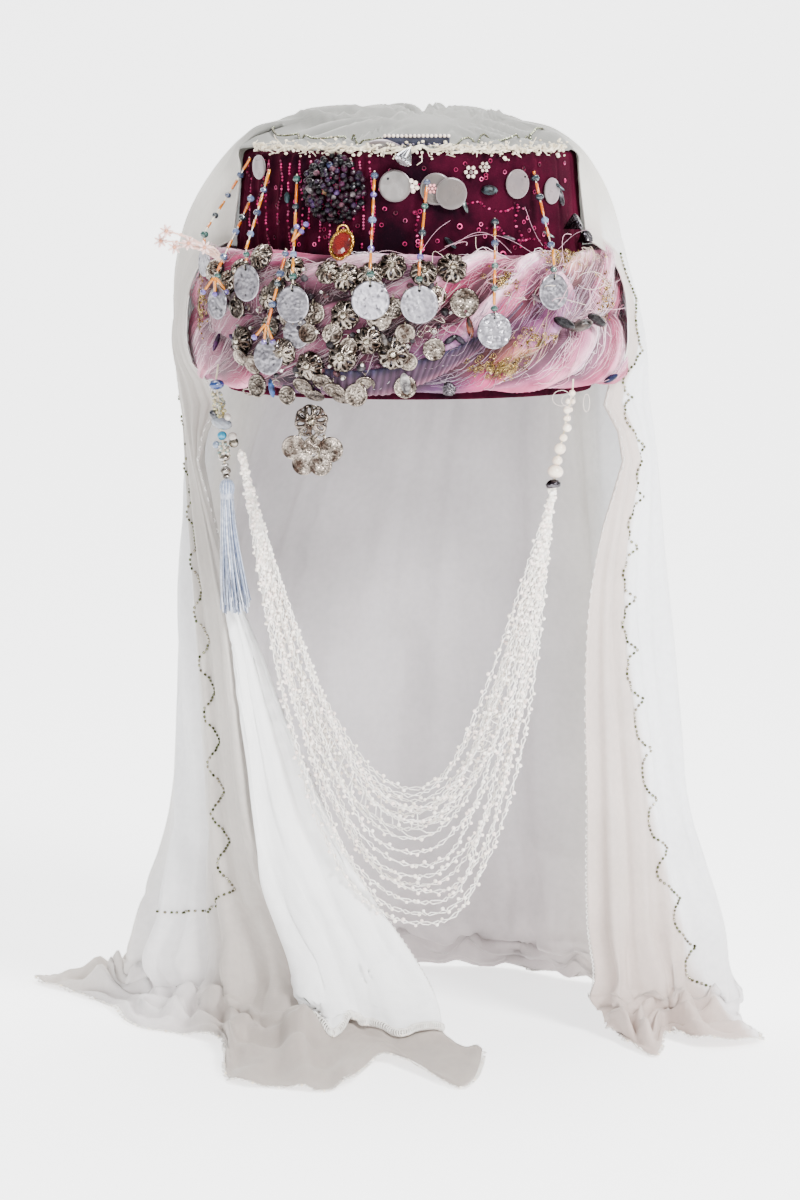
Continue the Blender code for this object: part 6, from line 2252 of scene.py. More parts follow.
@dataclass
class SideStrings:
    """The mixed beads and tassel on the left, and the pearls on the right, of the chin swag."""

    PEARL_TOP = (80.8, -71.5, 2.8)
    PEARL_BOTTOM = (72.0, -70.0, -39.5)
    PEARLS = ((0.02, 3.4), (0.12, 3.2), (0.22, 4.0), (0.32, 3.4), (0.43, 4.6), (0.55, 4.2), (0.68, 6.0),
              (0.82, 5.2), (0.95, 8.2))
    DROP_TOP = (-97.0, -57.5, 7.6)
    DROP_BOTTOM = (-92.0, -59.0, -41.5)
    TASSEL_TOP = (-91.6, -59.4, -41.9)

    def pearls(self) -> list[bpy.types.Object]:
        """The pearls, the thread and the dark cap over the swag.

        Returns:
            The pieces.
        """
        top, foot = Vector(self.PEARL_TOP), Vector(self.PEARL_BOTTOM)
        beads = Spots()
        for number, (share, wide) in enumerate(self.PEARLS):
            aside = Vector((1.1 * math.sin(5.1 * number), -0.5 * math.cos(3.0 * number), 0.0))
            place = top.lerp(foot, share) + aside * (1.0 if wide < 5 else 0.2)
            squash = 0.82 if wide > 7 else 0.94
            beads.put(place, foot - top, (wide, wide, wide * squash), (250, 246, 236))
            if wide < 4.4:
                beads.put(place - aside * 2.2, foot - top, (2.6, 2.6, 2.6), (244, 238, 226))
        pearls = beads.scatter("side_pearls", Templates.ball(20, 12), PEARL)
        line = Guide.line("pearl_string", 60)
        thread = mesh_object("pearl_thread", tube_mesh("pearl_thread", [line], [0.45], 6), CREAM_THREAD)
        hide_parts("pearl_string")
        cap = Templates.turned([(1.3, 2.2), (2.6, 1.6), (3.9, 0.2), (3.5, -1.6), (2.4, -2.0)][::-1], 14,
                               "swag_cap")
        cap.transform(stand(Vector((71.4, -70.0, -43.6)), Vector((-0.12, 0.02, 1.0))))
        cap.transform(Matrix.Diagonal((MM, MM, MM, 1.0)))
        return [pearls, thread, mesh_object("swag_cap", cap, DARK_METAL)]

    def drop(self) -> list[bpy.types.Object]:
        """The mixed beads of the left string.

        Returns:
            The pieces.
        """
        top, foot = Vector(self.DROP_TOP), Vector(self.DROP_BOTTOM)
        way = foot - top
        gems, balls, seeds, metal = Spots(), Spots(), Spots(), Spots()
        gems.put(top.lerp(foot, 0.05), way, (8.4, 8.0, 5.4), (42, 78, 150))
        gems.put(top.lerp(foot, 0.44) + Vector((0.6, -0.5, 0)), (1.0, 0.1, -0.3), (6.6, 6.6, 11.0),
                 (150, 158, 168))
        gems.put(top.lerp(foot, 0.36) + Vector((-3.0, -1.0, 0)), (0.6, 0.1, -1.0), (4.0, 4.0, 6.0),
                 (60, 62, 72))
        balls.put(top.lerp(foot, 0.57), way, (5.0, 5.0, 4.6), (30, 150, 190))
        balls.put(top.lerp(foot, 0.59) + Vector((5.2, -1.0, 0.6)), way, (4.8, 4.8, 4.4), (246, 240, 230))
        balls.put(top.lerp(foot, 0.38) + Vector((3.8, -1.2, 0.0)), way, (3.8, 3.8, 3.8), (244, 236, 224))
        balls.put(top.lerp(foot, 0.66) + Vector((-3.4, -1.0, 0.0)), way, (3.8, 3.8, 3.8), (132, 150, 176))
        chance = np.random.default_rng(31)
        for grain in range(90):
            share = 0.13 + 0.27 * chance.uniform()
            turn = chance.uniform(0, 2 * math.pi)
            out = 1.6 + 1.5 * chance.uniform()
            place = top.lerp(foot, share) + Vector((out * math.cos(turn), out * math.sin(turn), 0.0))
            colour = ((214, 196, 120), (196, 200, 160), (226, 214, 168), (150, 160, 150))[grain % 4]
            seeds.put(place, chance.uniform(-1, 1, 3), (1.7, 1.7, 1.5), colour)
        for grain in range(46):
            share = 0.64 + 0.14 * chance.uniform()
            turn = grain * 2.4
            place = top.lerp(foot, share) + Vector((2.6 * math.cos(turn), 2.6 * math.sin(turn), 0.0))
            colour = ((206, 200, 176), (150, 180, 176), (216, 206, 190))[grain % 3]
            seeds.put(place, chance.uniform(-1, 1, 3), (1.8, 1.8, 1.6), colour)
        for share, wide, long in ((0.80, 5.8, 3.4), (0.87, 4.2, 2.0), (0.93, 5.6, 4.4), (0.985, 4.4, 2.0)):
            metal.put(top.lerp(foot, share), way, (wide, wide, long), (206, 206, 210))
        metal.put(top.lerp(foot, 0.64) + Vector((5.6, -0.6, 0.0)), (0.2, 0.0, 1.0), (5.0, 5.0, 5.2),
                  (170, 166, 160))
        line = Guide.line("left_drop", 60)
        thread = mesh_object("drop_thread", tube_mesh("drop_thread", [line], [0.5], 6), CREAM_THREAD)
        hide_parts("left_drop")
        return [
            gems.scatter("drop_gems", Templates.gem(2), MIXED_BEAD, shade=False),
            balls.scatter("drop_balls", Templates.ball(16, 10), MIXED_BEAD),
            seeds.scatter("drop_seeds", Templates.gem(1), MIXED_BEAD, shade=False),
            metal.scatter("drop_silver", Templates.ball(14, 8), METAL_BEAD),
            thread,
        ]

    def tassel(self) -> list[bpy.types.Object]:
        """The silver-blue tassel: head, wrapping and skirt of threads.

        Returns:
            The pieces.
        """
        top = np.array(self.TASSEL_TOP)
        chance = np.random.default_rng(41)
        paths, radii, tints = [], [], []
        shades = ((176, 186, 206), (112, 126, 156), (236, 240, 248), (62, 76, 108), (150, 162, 186))
        for number in range(300):
            turn = number * 2.39996
            share = math.sqrt((number + 0.5) / 300)
            lock = math.floor(turn / (2 * math.pi) * 9) / 9 * 2 * math.pi
            long = 52.0 + 9.0 * chance.uniform()
            points = []
            for step in range(9):
                down = step / 8
                radius = share * (2.9 + 4.4 * down**1.2) + 0.5 * math.sin(6.0 * down + number) * down
                angle = turn + 0.25 * math.sin(lock * 3.0) * down
                sway = 4.2 * down**1.6 + 0.6 * math.sin(3.0 * down + 0.4 * number) * down
                points.append(top + (radius * math.cos(angle) + sway, radius * math.sin(angle),
                                     -7.0 - long * down))
            paths.append(np.array(points))
            radii.append(0.3)
            tints.append(np.array(linear(shades[number % 5])[:3]) * chance.uniform(0.75, 1.1))
        for number in range(70):
            turn = 2 * math.pi * number / 70
            points = []
            for step in range(6):
                radius = (0.9, 2.6, 3.5, 3.6, 3.1, 2.7)[step]
                height = (-0.2, -1.2, -3.2, -5.4, -7.4, -9.2)[step]
                points.append(top + (radius * math.cos(turn), radius * math.sin(turn), height))
            paths.append(np.array(points))
            radii.append(0.28)
            tints.append(np.array(linear(shades[number % 5])[:3]))
        for lap in range(6):
            turn = np.linspace(0, 2 * np.pi, 22)
            ring = np.column_stack([3.15 * np.cos(turn), 3.15 * np.sin(turn),
                                    -7.2 - 0.55 * lap + 0.02 * turn])
            paths.append(ring + top)
            radii.append(0.32)
            tints.append(np.array(linear((206, 210, 222))[:3]))
        core = Templates.turned([(2.6, -9.6), (3.2, -7.0), (3.3, -3.0), (1.0, -0.6)], 12, "tassel_core")
        core.transform(Matrix.Translation(Vector(self.TASSEL_TOP)))
        core.transform(Matrix.Diagonal((MM, MM, MM, 1.0)))
        inner = mesh_object("tassel_core", core, TINTED_THREAD)
        piece = mesh_object("tassel_threads", tube_mesh("tassel_threads", paths, radii, 4, tints), TASSEL)
        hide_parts("tassel")
        return [piece, inner]

    def build(self) -> list[bpy.types.Object]:
        """Make both strings and the tassel."""
        return self.pearls() + self.drop() + self.tassel()


@dataclass
class ChinSwag:
    """The bundle of crocheted strands of seed pearls."""

    left: tuple[float, float, float] = (-84.6, -56.5, -28.0)
    right: tuple[float, float, float] = (71.5, -70.0, -44.5)
    pitch: float = 3.3
    # Lowest x, lowest z, power of the curve, depth and sideways offset of each strand
    STRANDS = (
        (1.0, -199.0, 2.0, 2.8, 0.0), (2.0, -205.0, 2.05, 2.4, 1.2), (4.0, -209.5, 2.08, 0.2, -1.0),
        (3.0, -214.0, 2.1, -2.2, 2.0), (-1.0, -219.0, 2.15, 0.6, -2.2), (1.0, -224.0, 2.2, 1.6, 0.8),
        (5.0, -237.0, 2.3, -1.4, -1.6), (4.0, -243.0, 2.35, 0.4, 2.2), (6.0, -248.0, 2.4, 2.6, 0.4),
        (9.0, -256.0, 2.5, -1.0, -2.4), (8.0, -262.0, 2.6, 0.2, 1.6), (8.0, -267.0, 2.7, 1.2, -0.8),
        (0.0, -202.0, 1.95, 1.0, -1.8), (3.0, -207.5, 2.0, -1.5, 0.6), (-2.0, -211.5, 2.12, 1.2, -0.2),
        (6.0, -216.5, 2.15, 2.2, -1.4), (2.0, -230.0, 2.25, -2.0, 1.6), (12.0, -251.0, 2.45, 1.8, 0.9),
    )

    def route(self, row: tuple) -> np.ndarray:
        """Evenly spaced points along one strand.

        Args:
            row: the strand's row of STRANDS.

        Returns:
            Points in mm.
        """
        lowest_x, lowest_z, power, depth, aside = row
        left, right = np.array(self.left), np.array(self.right)
        x = np.linspace(left[0], right[0], 1200)
        end_x = np.where(x < lowest_x, left[0], right[0])
        end_z = np.where(x < lowest_x, left[2], right[2])
        share = (x - lowest_x) / (end_x - lowest_x)
        height = lowest_z + (end_z - lowest_z) * share**power
        across = (x - left[0]) / (right[0] - left[0])
        spread = 1.0 - smooth(0.6, 1.0, share)
        swing = lattice(share * 3.0 + aside, np.sign(x - lowest_x) * 3.0 + depth, 55)
        y = left[1] + (right[1] - left[1]) * across + (1.5 * depth + 1.2 * swing) * spread
        wander = (2.6 * aside + 1.6 * swing) * np.sin(np.pi * np.clip((1.0 - share) / 0.75, 0, 1)) * 0.8
        points = np.column_stack([x + wander, y, height])
        length = np.concatenate([[0.0], np.cumsum(np.linalg.norm(np.diff(points, axis=0), axis=1))])
        shift = self.pitch * ((1.7 * aside + 0.9 * depth - 0.13 * lowest_z) % 1.0)
        wanted = np.linspace(shift, length[-1], int(length[-1] / self.pitch))
        return np.column_stack([np.interp(wanted, length, points[:, axis]) for axis in range(3)])

    def build(self) -> list[bpy.types.Object]:
        """Make the pearls and the crocheted thread.

        Returns:
            The pieces.
        """
        chance = np.random.default_rng(51)
        beads = Spots()
        paths = []
        for number, row in enumerate(self.STRANDS):
            path = self.route(row)
            along = np.gradient(path, axis=0)
            along /= np.linalg.norm(along, axis=1, keepdims=True)
            side = np.cross(along, (0.0, 1.0, 0.0))
            out = np.cross(along, side)
            laces = [[], []]
            for index, place in enumerate(path):
                place = place + along[index] * chance.uniform(-0.9, 0.9)
                turn = index * 2.1 + number + chance.uniform(-0.6, 0.6)
                off = side[index] * math.cos(turn) + out[index] * math.sin(turn)
                laces[0].append(place + off * 1.0)
                laces[1].append(place - off * 0.95 + along[index] * 0.7)
                if chance.uniform() < 0.72:
                    wide = 1.75 + 0.75 * chance.uniform()
                    colour = ((255, 253, 248), (255, 244, 240), (252, 249, 240))[int(chance.integers(0, 3))]
                    reach = 0.9 + 0.9 * chance.uniform()
                    beads.put(place + off * reach, off, (wide, wide, wide * 0.94), colour)
            paths += [np.array(laces[0]), np.array(laces[1])]
        # Cross loops between the second and third groups, as in crochet
        routes = [self.route(row) for row in self.STRANDS]
        for first, second in ((3, 4), (4, 5), (2, 4)):
            count = min(len(routes[first]), len(routes[second]))
            for index in range(int(count * 0.3), int(count * 0.72), 3):
                start = routes[first][int(index * len(routes[first]) / count)]
                end = routes[second][min(int((index + 2) * len(routes[second]) / count),
                                         len(routes[second]) - 1)]
                sag = (start + end) / 2 + (0.0, 0.0, -1.2)
                paths.append(np.array([start, sag, end]))
        thread_tint = [np.array(linear((252, 249, 243))[:3])] * len(paths)
        lace = mesh_object("swag_thread",
                           tube_mesh("swag_thread", paths, [0.34] * len(paths), 4, thread_tint),
                           TINTED_THREAD)
        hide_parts("chin_swag")
        return [lace, beads.scatter("swag_pearls", Templates.ball(7, 4), SEED)]


@dataclass
class TopTrim:
    """Cream knots along the front of the top, the tab with its pearls, the cone and the horns."""

    end: float = 64.0
    radius: float = 85.4
    height: float = 123.0

    def knots(self) -> list[bpy.types.Object]:
        """The lumpy cream edging.

        Returns:
            The pieces.
        """
        chance = np.random.default_rng(61)
        beads, paths = Spots(), []
        count = 150
        ropes = [[], [], []]
        for step in range(count):
            azimuth = -self.end + 2 * self.end * step / (count - 1)
            for rope, points in enumerate(ropes):
                turn = step * (0.35 + 0.13 * rope) + rope * 2.09 + 0.8 * math.sin(step * 0.23)
                out = 1.2 + 0.8 * math.sin(step * 0.41 + rope)
                place = polar(azimuth, self.radius + out * math.cos(turn),
                              self.height + out * math.sin(turn))
                points.append(tuple(place))
            lump = 0.8 + 1.5 * max(0.0, math.sin(azimuth * 0.33) * math.sin(azimuth * 0.11 + 1.0))
            for _ in range(2):
                offset = chance.normal(0, 1, 3) * (1.1, 0.9, 1.1 + 0.7 * lump)
                place = polar(azimuth, self.radius + 0.6, self.height) + Vector(offset)
                wide = 1.1 + 1.2 * chance.uniform()
                colour = ((236, 228, 206), (246, 240, 226), (222, 208, 178))[int(chance.integers(0, 3))]
                beads.put(place, chance.uniform(-1, 1, 3), (wide, wide * 0.8, wide * 0.7), colour)
        paths = [np.array(rope) for rope in ropes]
        radii = [0.6, 0.5, 0.6]
        for _ in range(90):
            azimuth = chance.uniform(-self.end, self.end)
            start = np.array(polar(azimuth, self.radius + 1.2, self.height + chance.uniform(-1.5, 2)))
            way = chance.normal(0, 1, 3) * (3.0, 1.4, 2.0) + (0.0, 0.0, -0.8)
            bend = chance.normal(0, 1, 3) * 1.2
            paths.append(np.array([start, start + way * 0.4 + bend, start + way]))
            radii.append(0.22)
        rope = mesh_object("edging_ropes", tube_mesh("edging_ropes", paths, radii, 6), CREAM_THREAD)
        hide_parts("veil_edging")
        return [rope, beads.scatter("edging_knots", Templates.gem(2), CREAM_THREAD)]

    def tab(self) -> list[bpy.types.Object]:
        """Pearls along the tab's upper edge, with a shell leaf at its left end.

        Returns:
            The pieces.
        """
        low, high = (np.array(corner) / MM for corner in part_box("navy_tab"))
        pearls = Spots()
        for x in np.arange(low[0] + 1.0, high[0] - 0.5, 2.1):
            pearls.put((x, low[1] - 0.1, high[2] - 0.7), (0, -1, 0.4), (1.9, 1.9, 1.7), (236, 232, 228))
        for x in np.arange(low[0] + 2.0, high[0] - 0.5, 2.6):
            pearls.put((x, low[1] + 0.4, low[2] + 0.8), (0, -1, 0.4), (1.2, 1.2, 1.1), (70, 76, 120))
        leaf = []
        for step in range(9):
            share = step / 8
            leaf.append((low[0] - 7.0 + 17.0 * share, low[1] - 1.6 - 0.6 * math.sin(3 * share),
                         low[2] + 1.6 - 2.2 * share))
        wide = [0.3, 1.5, 2.3, 2.7, 2.7, 2.3, 1.7, 0.9, 0.3]
        shell = mesh_object("tab_shell", tube_mesh("tab_shell", [np.array(leaf)], [wide], 8), SHELL)
        return [pearls.scatter("tab_pearls", Templates.ball(10, 7), PEARL), shell]

    def cones(self) -> list[bpy.types.Object]:
        """Fluted cones and horns over the plain ones.

        Returns:
            The pieces.
        """
        pieces = []
        rows = (("top_cone", BRIGHT_CONE, 4.6, 10.5), ("side_horn_1", DARK_METAL, 4.4, 9.5),
                ("side_horn_2", DARK_METAL, 3.8, 8.5), ("rim_stud", DARK_METAL, 3.8, 8.5))
        for name, finish, radius, length in rows:
            points = np.unique(np.round(Guide.points(name), 2), axis=0)
            middle = points.mean(axis=0)
            spread = points - middle
            tip = points[np.argmax(np.linalg.norm(spread, axis=1))]
            for candidate in points:
                others = np.linalg.norm(points - candidate, axis=1)
                if (others < radius * 0.9).sum() <= 1:
                    tip = candidate
            base = points[np.linalg.norm(points - tip, axis=1) > length * 0.8].mean(axis=0)
            way = Vector(tip - base)
            form = self.fluted(radius, way.length, name)
            form.transform(Matrix.Translation(Vector(base))
                           @ way.to_track_quat("Z", "Y").to_matrix().to_4x4())
            form.transform(Matrix.Diagonal((MM, MM, MM, 1.0)))
            piece = mesh_object(name + "_fluted", form, finish, shade=False)
            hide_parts(name)
            pieces.append(piece)
        return pieces

    def fluted(self, radius: float, length: float, name: str) -> bpy.types.Mesh:
        """A cone with flutes.

        Args:
            radius: of its base.
            length: from base to tip.
            name: the mesh's name.

        Returns:
            The mesh, in mm, along Z.
        """
        mesh = bmesh.new()
        rings = []
        for share, wide in ((0.0, 0.72), (0.06, 0.96), (0.14, 1.0), (0.4, 0.74), (0.7, 0.4), (0.93, 0.1),
                            (1.0, 0.03)):
            ring = []
            for side in range(28):
                turn = 2 * math.pi * side / 28
                groove = 1.0 - 0.16 * (side % 2) * (1.0 - share * 0.6)
                out = radius * wide * groove
                ring.append(mesh.verts.new((out * math.cos(turn), out * math.sin(turn), share * length)))
            rings.append(ring)
        for low, high in zip(rings, rings[1:]):
            for side in range(28):
                mesh.faces.new((low[side], low[(side + 1) % 28], high[(side + 1) % 28], high[side]))
        mesh.faces.new(list(reversed(rings[0])))
        mesh.faces.new(rings[-1])
        return Templates.close(mesh, name + "_fluted")

    def build(self) -> list[bpy.types.Object]:
        """Make every trim of the top."""
        return self.knots() + self.tab() + self.cones()


@dataclass
class VelvetBeads:
    """Magenta beads and sequins sewn on the velvet, with the small flowers and leaves."""

    def build(self) -> list[bpy.types.Object]:
        """Make the beads, the rings, the flowers and the leaves.

        Returns:
            The pieces.
        """
        crown = FezCrown()
        chance = np.random.default_rng(71)
        beads, rings, pearls, leaves = Spots(), Spots(), Spots(), Spots()
        shades = ((214, 50, 120), (176, 30, 92), (232, 96, 150), (150, 24, 76))
        for line in range(13):
            x = -80.0 + 5.1 * line + chance.uniform(-1, 1)
            phase, bend = chance.uniform(0, 6), chance.uniform(0.4, 1.6)
            for step in range(int(chance.integers(20, 34))):
                height = 116.5 - 1.55 * step
                if height < 72.0 or chance.uniform() < 0.22:
                    continue
                place, out = crown.surface(x + bend * math.sin(height / 9.0 + phase), height, 0.55)
                beads.put(place, (0.2, 0.1, 1.0), (1.25, 1.25, 1.5), shades[int(chance.integers(0, 4))])
        for _ in range(70):
            x, height = chance.uniform(-78, 80), chance.uniform(74, 117)
            place, out = crown.surface(x, height, 0.5)
            rings.put(place, out, (2.3, 2.3, 2.0), shades[int(chance.integers(0, 4))])
        for x, height, wide in ((46.0, 70.6, 4.2), (-39.0, 90.0, 3.0), (24.5, 85.0, 3.0)):
            place, out = crown.surface(x, height, 0.8)
            rings.put(place, out, (wide, wide, wide), (244, 84, 150))
        for start_x, start_z, way_x, way_z, count in ((28, 96, 2.0, -0.3, 16), (2, 92, 0.4, -1.8, 12),
                                                      (38, 84, 1.9, -0.6, 20), (52, 96, 0.3, -1.8, 14)):
            for step in range(count):
                x = start_x + way_x * step + 1.2 * math.sin(step * 0.9)
                height = start_z + way_z * step + 1.6 * math.sin(step * 0.6)
                if height > 72:
                    place, _ = crown.surface(x, height, 0.5)
                    beads.put(place, (1.0, 0.2, 0.3), (1.25, 1.25, 1.6), shades[step % 4])
        for x, height, petal, colour in ((30.0, 111.6, 2.1, (214, 210, 204)),
                                         (10.8, 103.6, 1.6, (246, 160, 176)),
                                         (37.0, 114.0, 1.7, (190, 184, 178))):
            place, out = crown.surface(x, height, 2.6)
            for number in range(6):
                turn = 2 * math.pi * number / 6
                aside = Vector((petal * 1.15 * math.cos(turn), 0.0, petal * 1.15 * math.sin(turn)))
                pearls.put(place + aside, out, (petal, petal, 1.3), colour)
            pearls.put(place + out * 0.5, out, (petal, petal, 1.4), (70, 62, 60) if petal > 2 else colour)
        for x, height in ((0.4, 107.4), (2.6, 106.4), (1.0, 104.6), (3.4, 104.0), (1.4, 102.4)):
            place, out = crown.surface(x, height, 1.6)
            pearls.put(place, out, (2.5, 2.5, 2.3), (246, 244, 240))
        greens = ((96, 108, 106), (70, 84, 88), (52, 78, 84), (88, 84, 90), (60, 56, 66))
        rows = ((26.8, 96.0, 3.4, 9.5, 0.35), (39.2, 102.6, 8.6, 8.6, 1.5), (73.4, 104.6, 3.0, 10.0, 0.9),
                (76.4, 98.0, 3.2, 9.0, 0.2), (-38.0, 77.0, 4.0, 7.0, 0.3), (69.0, 80.0, 3.0, 7.0, 1.1),
                (20.0, 77.0, 4.2, 8.0, 0.8), (-60.0, 98.6, 3.0, 6.0, 0.0), (49.0, 79.0, 3.0, 7.0, 1.3))
        for number, (x, height, wide, long, lean) in enumerate(rows):
            place, out = crown.surface(x, height, 1.7)
            leaves.put(place, (math.sin(lean), -0.2, -math.cos(lean)), (wide, wide * 0.6, long),
                       greens[number % 5])
        return [
            beads.scatter("velvet_beads", Templates.gem(1), DARK_BEAD, shade=False),
            rings.scatter("velvet_sequins", Templates.ring(0.2, 12, 5), DARK_BEAD),
            pearls.scatter("velvet_flowers", Templates.ball(10, 7), PEARL),
            leaves.scatter("velvet_leaves", Templates.gem(2), DARK_BEAD, shade=False),
        ]


@dataclass
class RollThreads:
    """Loose fibres of the roll, the lace sprig at its left, and the threads that stray over the velvet."""

    fibres: int = 1800

    def fibre_paths(self) -> tuple[list, list, list]:
        """Fine fibres that follow the ropes, some of them curled.

        Returns:
            Their paths, radii and colours.
        """
        roll = TurbanRoll()
        chance = np.random.default_rng(81)
        paths, radii, tints = [], [], []
        steps = 11
        share = np.linspace(0.0, 1.0, steps)
        for number in range(self.fibres):
            azimuth = chance.uniform(-95, 90) if number % 7 else chance.uniform(90, 265)
            angle = chance.uniform(-1.4, 1.3)
            long = chance.uniform(5, 17)
            curl = 0.02 + 0.10 * (number % 4 == 0)
            around = azimuth + long * share
            steep = roll.run(around, 0.0 * around)
            turned = angle - (steep - steep[0]) * (1.0 + 0.14 * chance.uniform(-1, 1))
            turned = turned + curl * np.sin(9 * share + chance.uniform(0, 6)) * np.sin(np.pi * share)
            turned = np.clip(turned, -1.52, 1.6)
            radius, height, _ = roll.skin(around, turned)
            lift = chance.uniform(0.0, 0.7) if number % 8 else chance.uniform(1.0, 3.0)
            bow = lift * np.sin(np.pi * share) - 0.1
            radius = radius + bow * np.cos(turned)
            height = height + bow * np.sin(turned)
            turn = np.radians(around)
            paths.append(np.column_stack([radius * np.sin(turn), -radius * np.cos(turn), height]))
            radii.append(np.array([0.07] + [0.17] * (steps - 2) + [0.07]) * chance.uniform(0.5, 1.15))
            colour = roll.tint(np.array([azimuth]), height[:1], np.array([angle]))[0]
            # Painted light: each fibre gets a random brightness, and some are blended towards full
            # brightness as painted highlights.
            light = chance.uniform(0.8, 1.25)
            lit_white = 0.32 * chance.uniform() ** 2
            tints.append(np.clip(colour * light * (1 - lit_white) + lit_white, 0, 1))
        return paths, radii, tints

    def strays(self) -> tuple[list, list, list]:
        """Loose threads over the velvet and under the roll.

        Returns:
            Their paths, radii and colours.
        """
        chance = np.random.default_rng(91)
        paths, radii, tints = [], [], []
        crown = FezCrown()
        arcs = (
            # start x, z, end x, z, rise of the arc
            (14, 73, 62, 71, 9), (22, 76, 50, 72, 8), (6, 74, 20, 88, 2), (74, 73, 92, 82, 2),
            (57, 94, 66, 75, -2),
        )
        for start_x, start_z, end_x, end_z, rise in arcs:
            points = []
            for step in range(15):
                share = step / 14
                x = start_x + (end_x - start_x) * share
                height = start_z + (end_z - start_z) * share + rise * math.sin(math.pi * share)
                place, _ = crown.surface(min(x, 84), height, 3.0 + 8.0 * smooth(80, 72, height))
                points.append(tuple(place + Vector((max(x - 84, 0.0), 0.0, 0.0))))
            paths.append(np.array(points))
            radii.append(0.11)
            tints.append(np.array(linear((196, 150, 168))[:3]))
        for _ in range(36):
            x, height = chance.uniform(8, 100), chance.uniform(40, 76)
            place, normal = TurbanRoll().surface(min(x, 94), height, 0.6)
            way = Vector((chance.normal(0.6, 0.7), chance.normal(-0.1, 0.3), chance.normal(0.3, 0.6))) * 8.0
            bend = Vector(chance.normal(0, 1, 3)) * 4.0
            points = []
            for step in range(9):
                share = step / 8
                points.append(tuple(place + way * share + bend * math.sin(math.pi * share)
                                    + normal * 3.0 * share))
            paths.append(np.array(points))
            radii.append(0.12)
            tints.append(np.array(linear((232, 214, 196) if chance.uniform() < 0.4
                                         else (232, 178, 194))[:3]))
        loops = ((75.0, 4.0, 4.5, 8.0), (78.5, 1.5, 3.4, 6.0), (88.0, 1.0, 1.6, 9.0),
                 (90.0, 62.0, 7.0, 9.0))
        for x, height, wide, tall in loops:
            place, _ = TurbanRoll().surface(min(x, 92), max(height, 3.0), 2.0)
            points = []
            for step in range(19):
                turn = 2 * math.pi * step / 18
                points.append((place.x + wide * math.sin(turn), place.y - 1.5 - 1.2 * math.cos(turn),
                               height - tall / 2 + tall / 2 * math.cos(turn)))
            paths.append(np.array(points))
            radii.append(0.13)
            tints.append(np.array(linear((230, 216, 206))[:3]))
        return paths, radii, tints

    def sprig(self) -> list[bpy.types.Object]:
        """The peach lace sprig at the left, with its small flowers.

        Returns:
            The pieces.
        """
        place, _ = TurbanRoll().surface(-93.0, 66.0, 1.0)
        root = np.array(place)
        tips = ((-28.0, -8.0, 16.0), (-17.0, -9.0, 10.0), (-9.0, -10.0, 8.0), (-24.0, -6.0, 8.0),
                (-31.0, -4.0, 11.0))
        paths, radii, tints = [], [], []
        petals = Spots()
        peach = np.array(linear((232, 196, 184))[:3])
        for tip in tips:
            end = root + np.array(tip)
            for strand in range(3):
                bend = np.array([1.0 * math.sin(strand * 2.1), 1.0 * math.cos(strand * 2.1), 3.0])
                share = np.linspace(0, 1, 10)[:, None]
                points = root + (end - root) * share + bend * np.sin(np.pi * share)
                paths.append(points)
                radii.append(0.42)
                tints.append(peach)
            for petal in range(7):
                turn = 2 * math.pi * petal / 7
                aside = Vector((2.0 * math.cos(turn), -0.3, 2.0 * math.sin(turn)))
                petals.put(Vector(end) + aside, aside + Vector((0, -0.6, 0)), (1.7, 1.2, 3.6),
                           (238, 206, 200))
            petals.put(Vector(end) + Vector((0, -0.8, 0)), (0, -1, 0), (1.9, 1.9, 1.9), (206, 140, 110))
            for knot in range(6):
                at = (root + (end - root) * (knot + 0.5) / 6
                      + np.array([0, 0, 3.0]) * math.sin(math.pi * (knot + .5) / 6))
                petals.put(at, (0.3, -1, 0.4), (2.2, 2.0, 1.8), (226, 180, 160))
        stems = mesh_object("sprig_stems", tube_mesh("sprig_stems", paths, radii, 5, tints), TINTED_THREAD)
        return [stems, petals.scatter("sprig_petals", Templates.ball(8, 6), TINTED_THREAD)]

    def ribbon(self) -> bpy.types.Object:
        """The ribbed violet ribbon that crosses the roll's front to its lower edge.

        Returns:
            The piece.
        """
        roll = TurbanRoll()
        track = np.array([(50.0, 43.0), (40.0, 33.0), (26.0, 24.0), (10.0, 16.5), (-8.0, 11.0),
                          (-26.0, 8.0),
                          (-44.0, 9.0)])
        places = catmull(track, np.linspace(0, len(track) - 1, 190))
        along = np.gradient(places, axis=0)
        along /= np.linalg.norm(along, axis=1, keepdims=True)
        points, tint = [], []
        edge_blue = np.array(linear((28, 26, 54))[:3])
        middle = np.array(linear((62, 44, 62))[:3])
        pink = np.array(linear((112, 74, 92))[:3])
        across = np.linspace(-1.0, 1.0, 13)
        for index, place in enumerate(places):
            for side in across:
                x = place[0] - along[index][1] * side * 7.4
                height = max(place[1] + along[index][0] * side * 7.4 * -1.0, 3.2)
                spot, normal = roll.surface(x, height, 0.2)
                rib = 0.35 * math.sin(index * 1.05) + 0.9 * (1.0 - side * side)
                points.append(tuple(spot + normal * rib))
                colour = middle + (edge_blue - middle) * smooth(0.35, 0.95, side)
                colour = colour + (pink - colour) * smooth(-0.3, -0.95, side)
                # Painted light and shade: the raised half of each rib is lighter and the other half darker.
                tint.append(colour * (0.7 + 0.5 * (math.sin(index * 1.05) > 0)))
        faces = sheet_faces(len(places), len(across))
        cloth = np.array([(index * 0.0005, side * 0.007) for index in range(len(places))
                          for side in across])
        mesh = mesh_from("roll_ribbon", np.array(points), faces, np.array(tint), cloth)
        piece = mesh_object("roll_ribbon", mesh, ROLL_SILK)
        wall = piece.modifiers.new("wall", "SOLIDIFY")
        wall.thickness = 0.5 * MM
        return piece

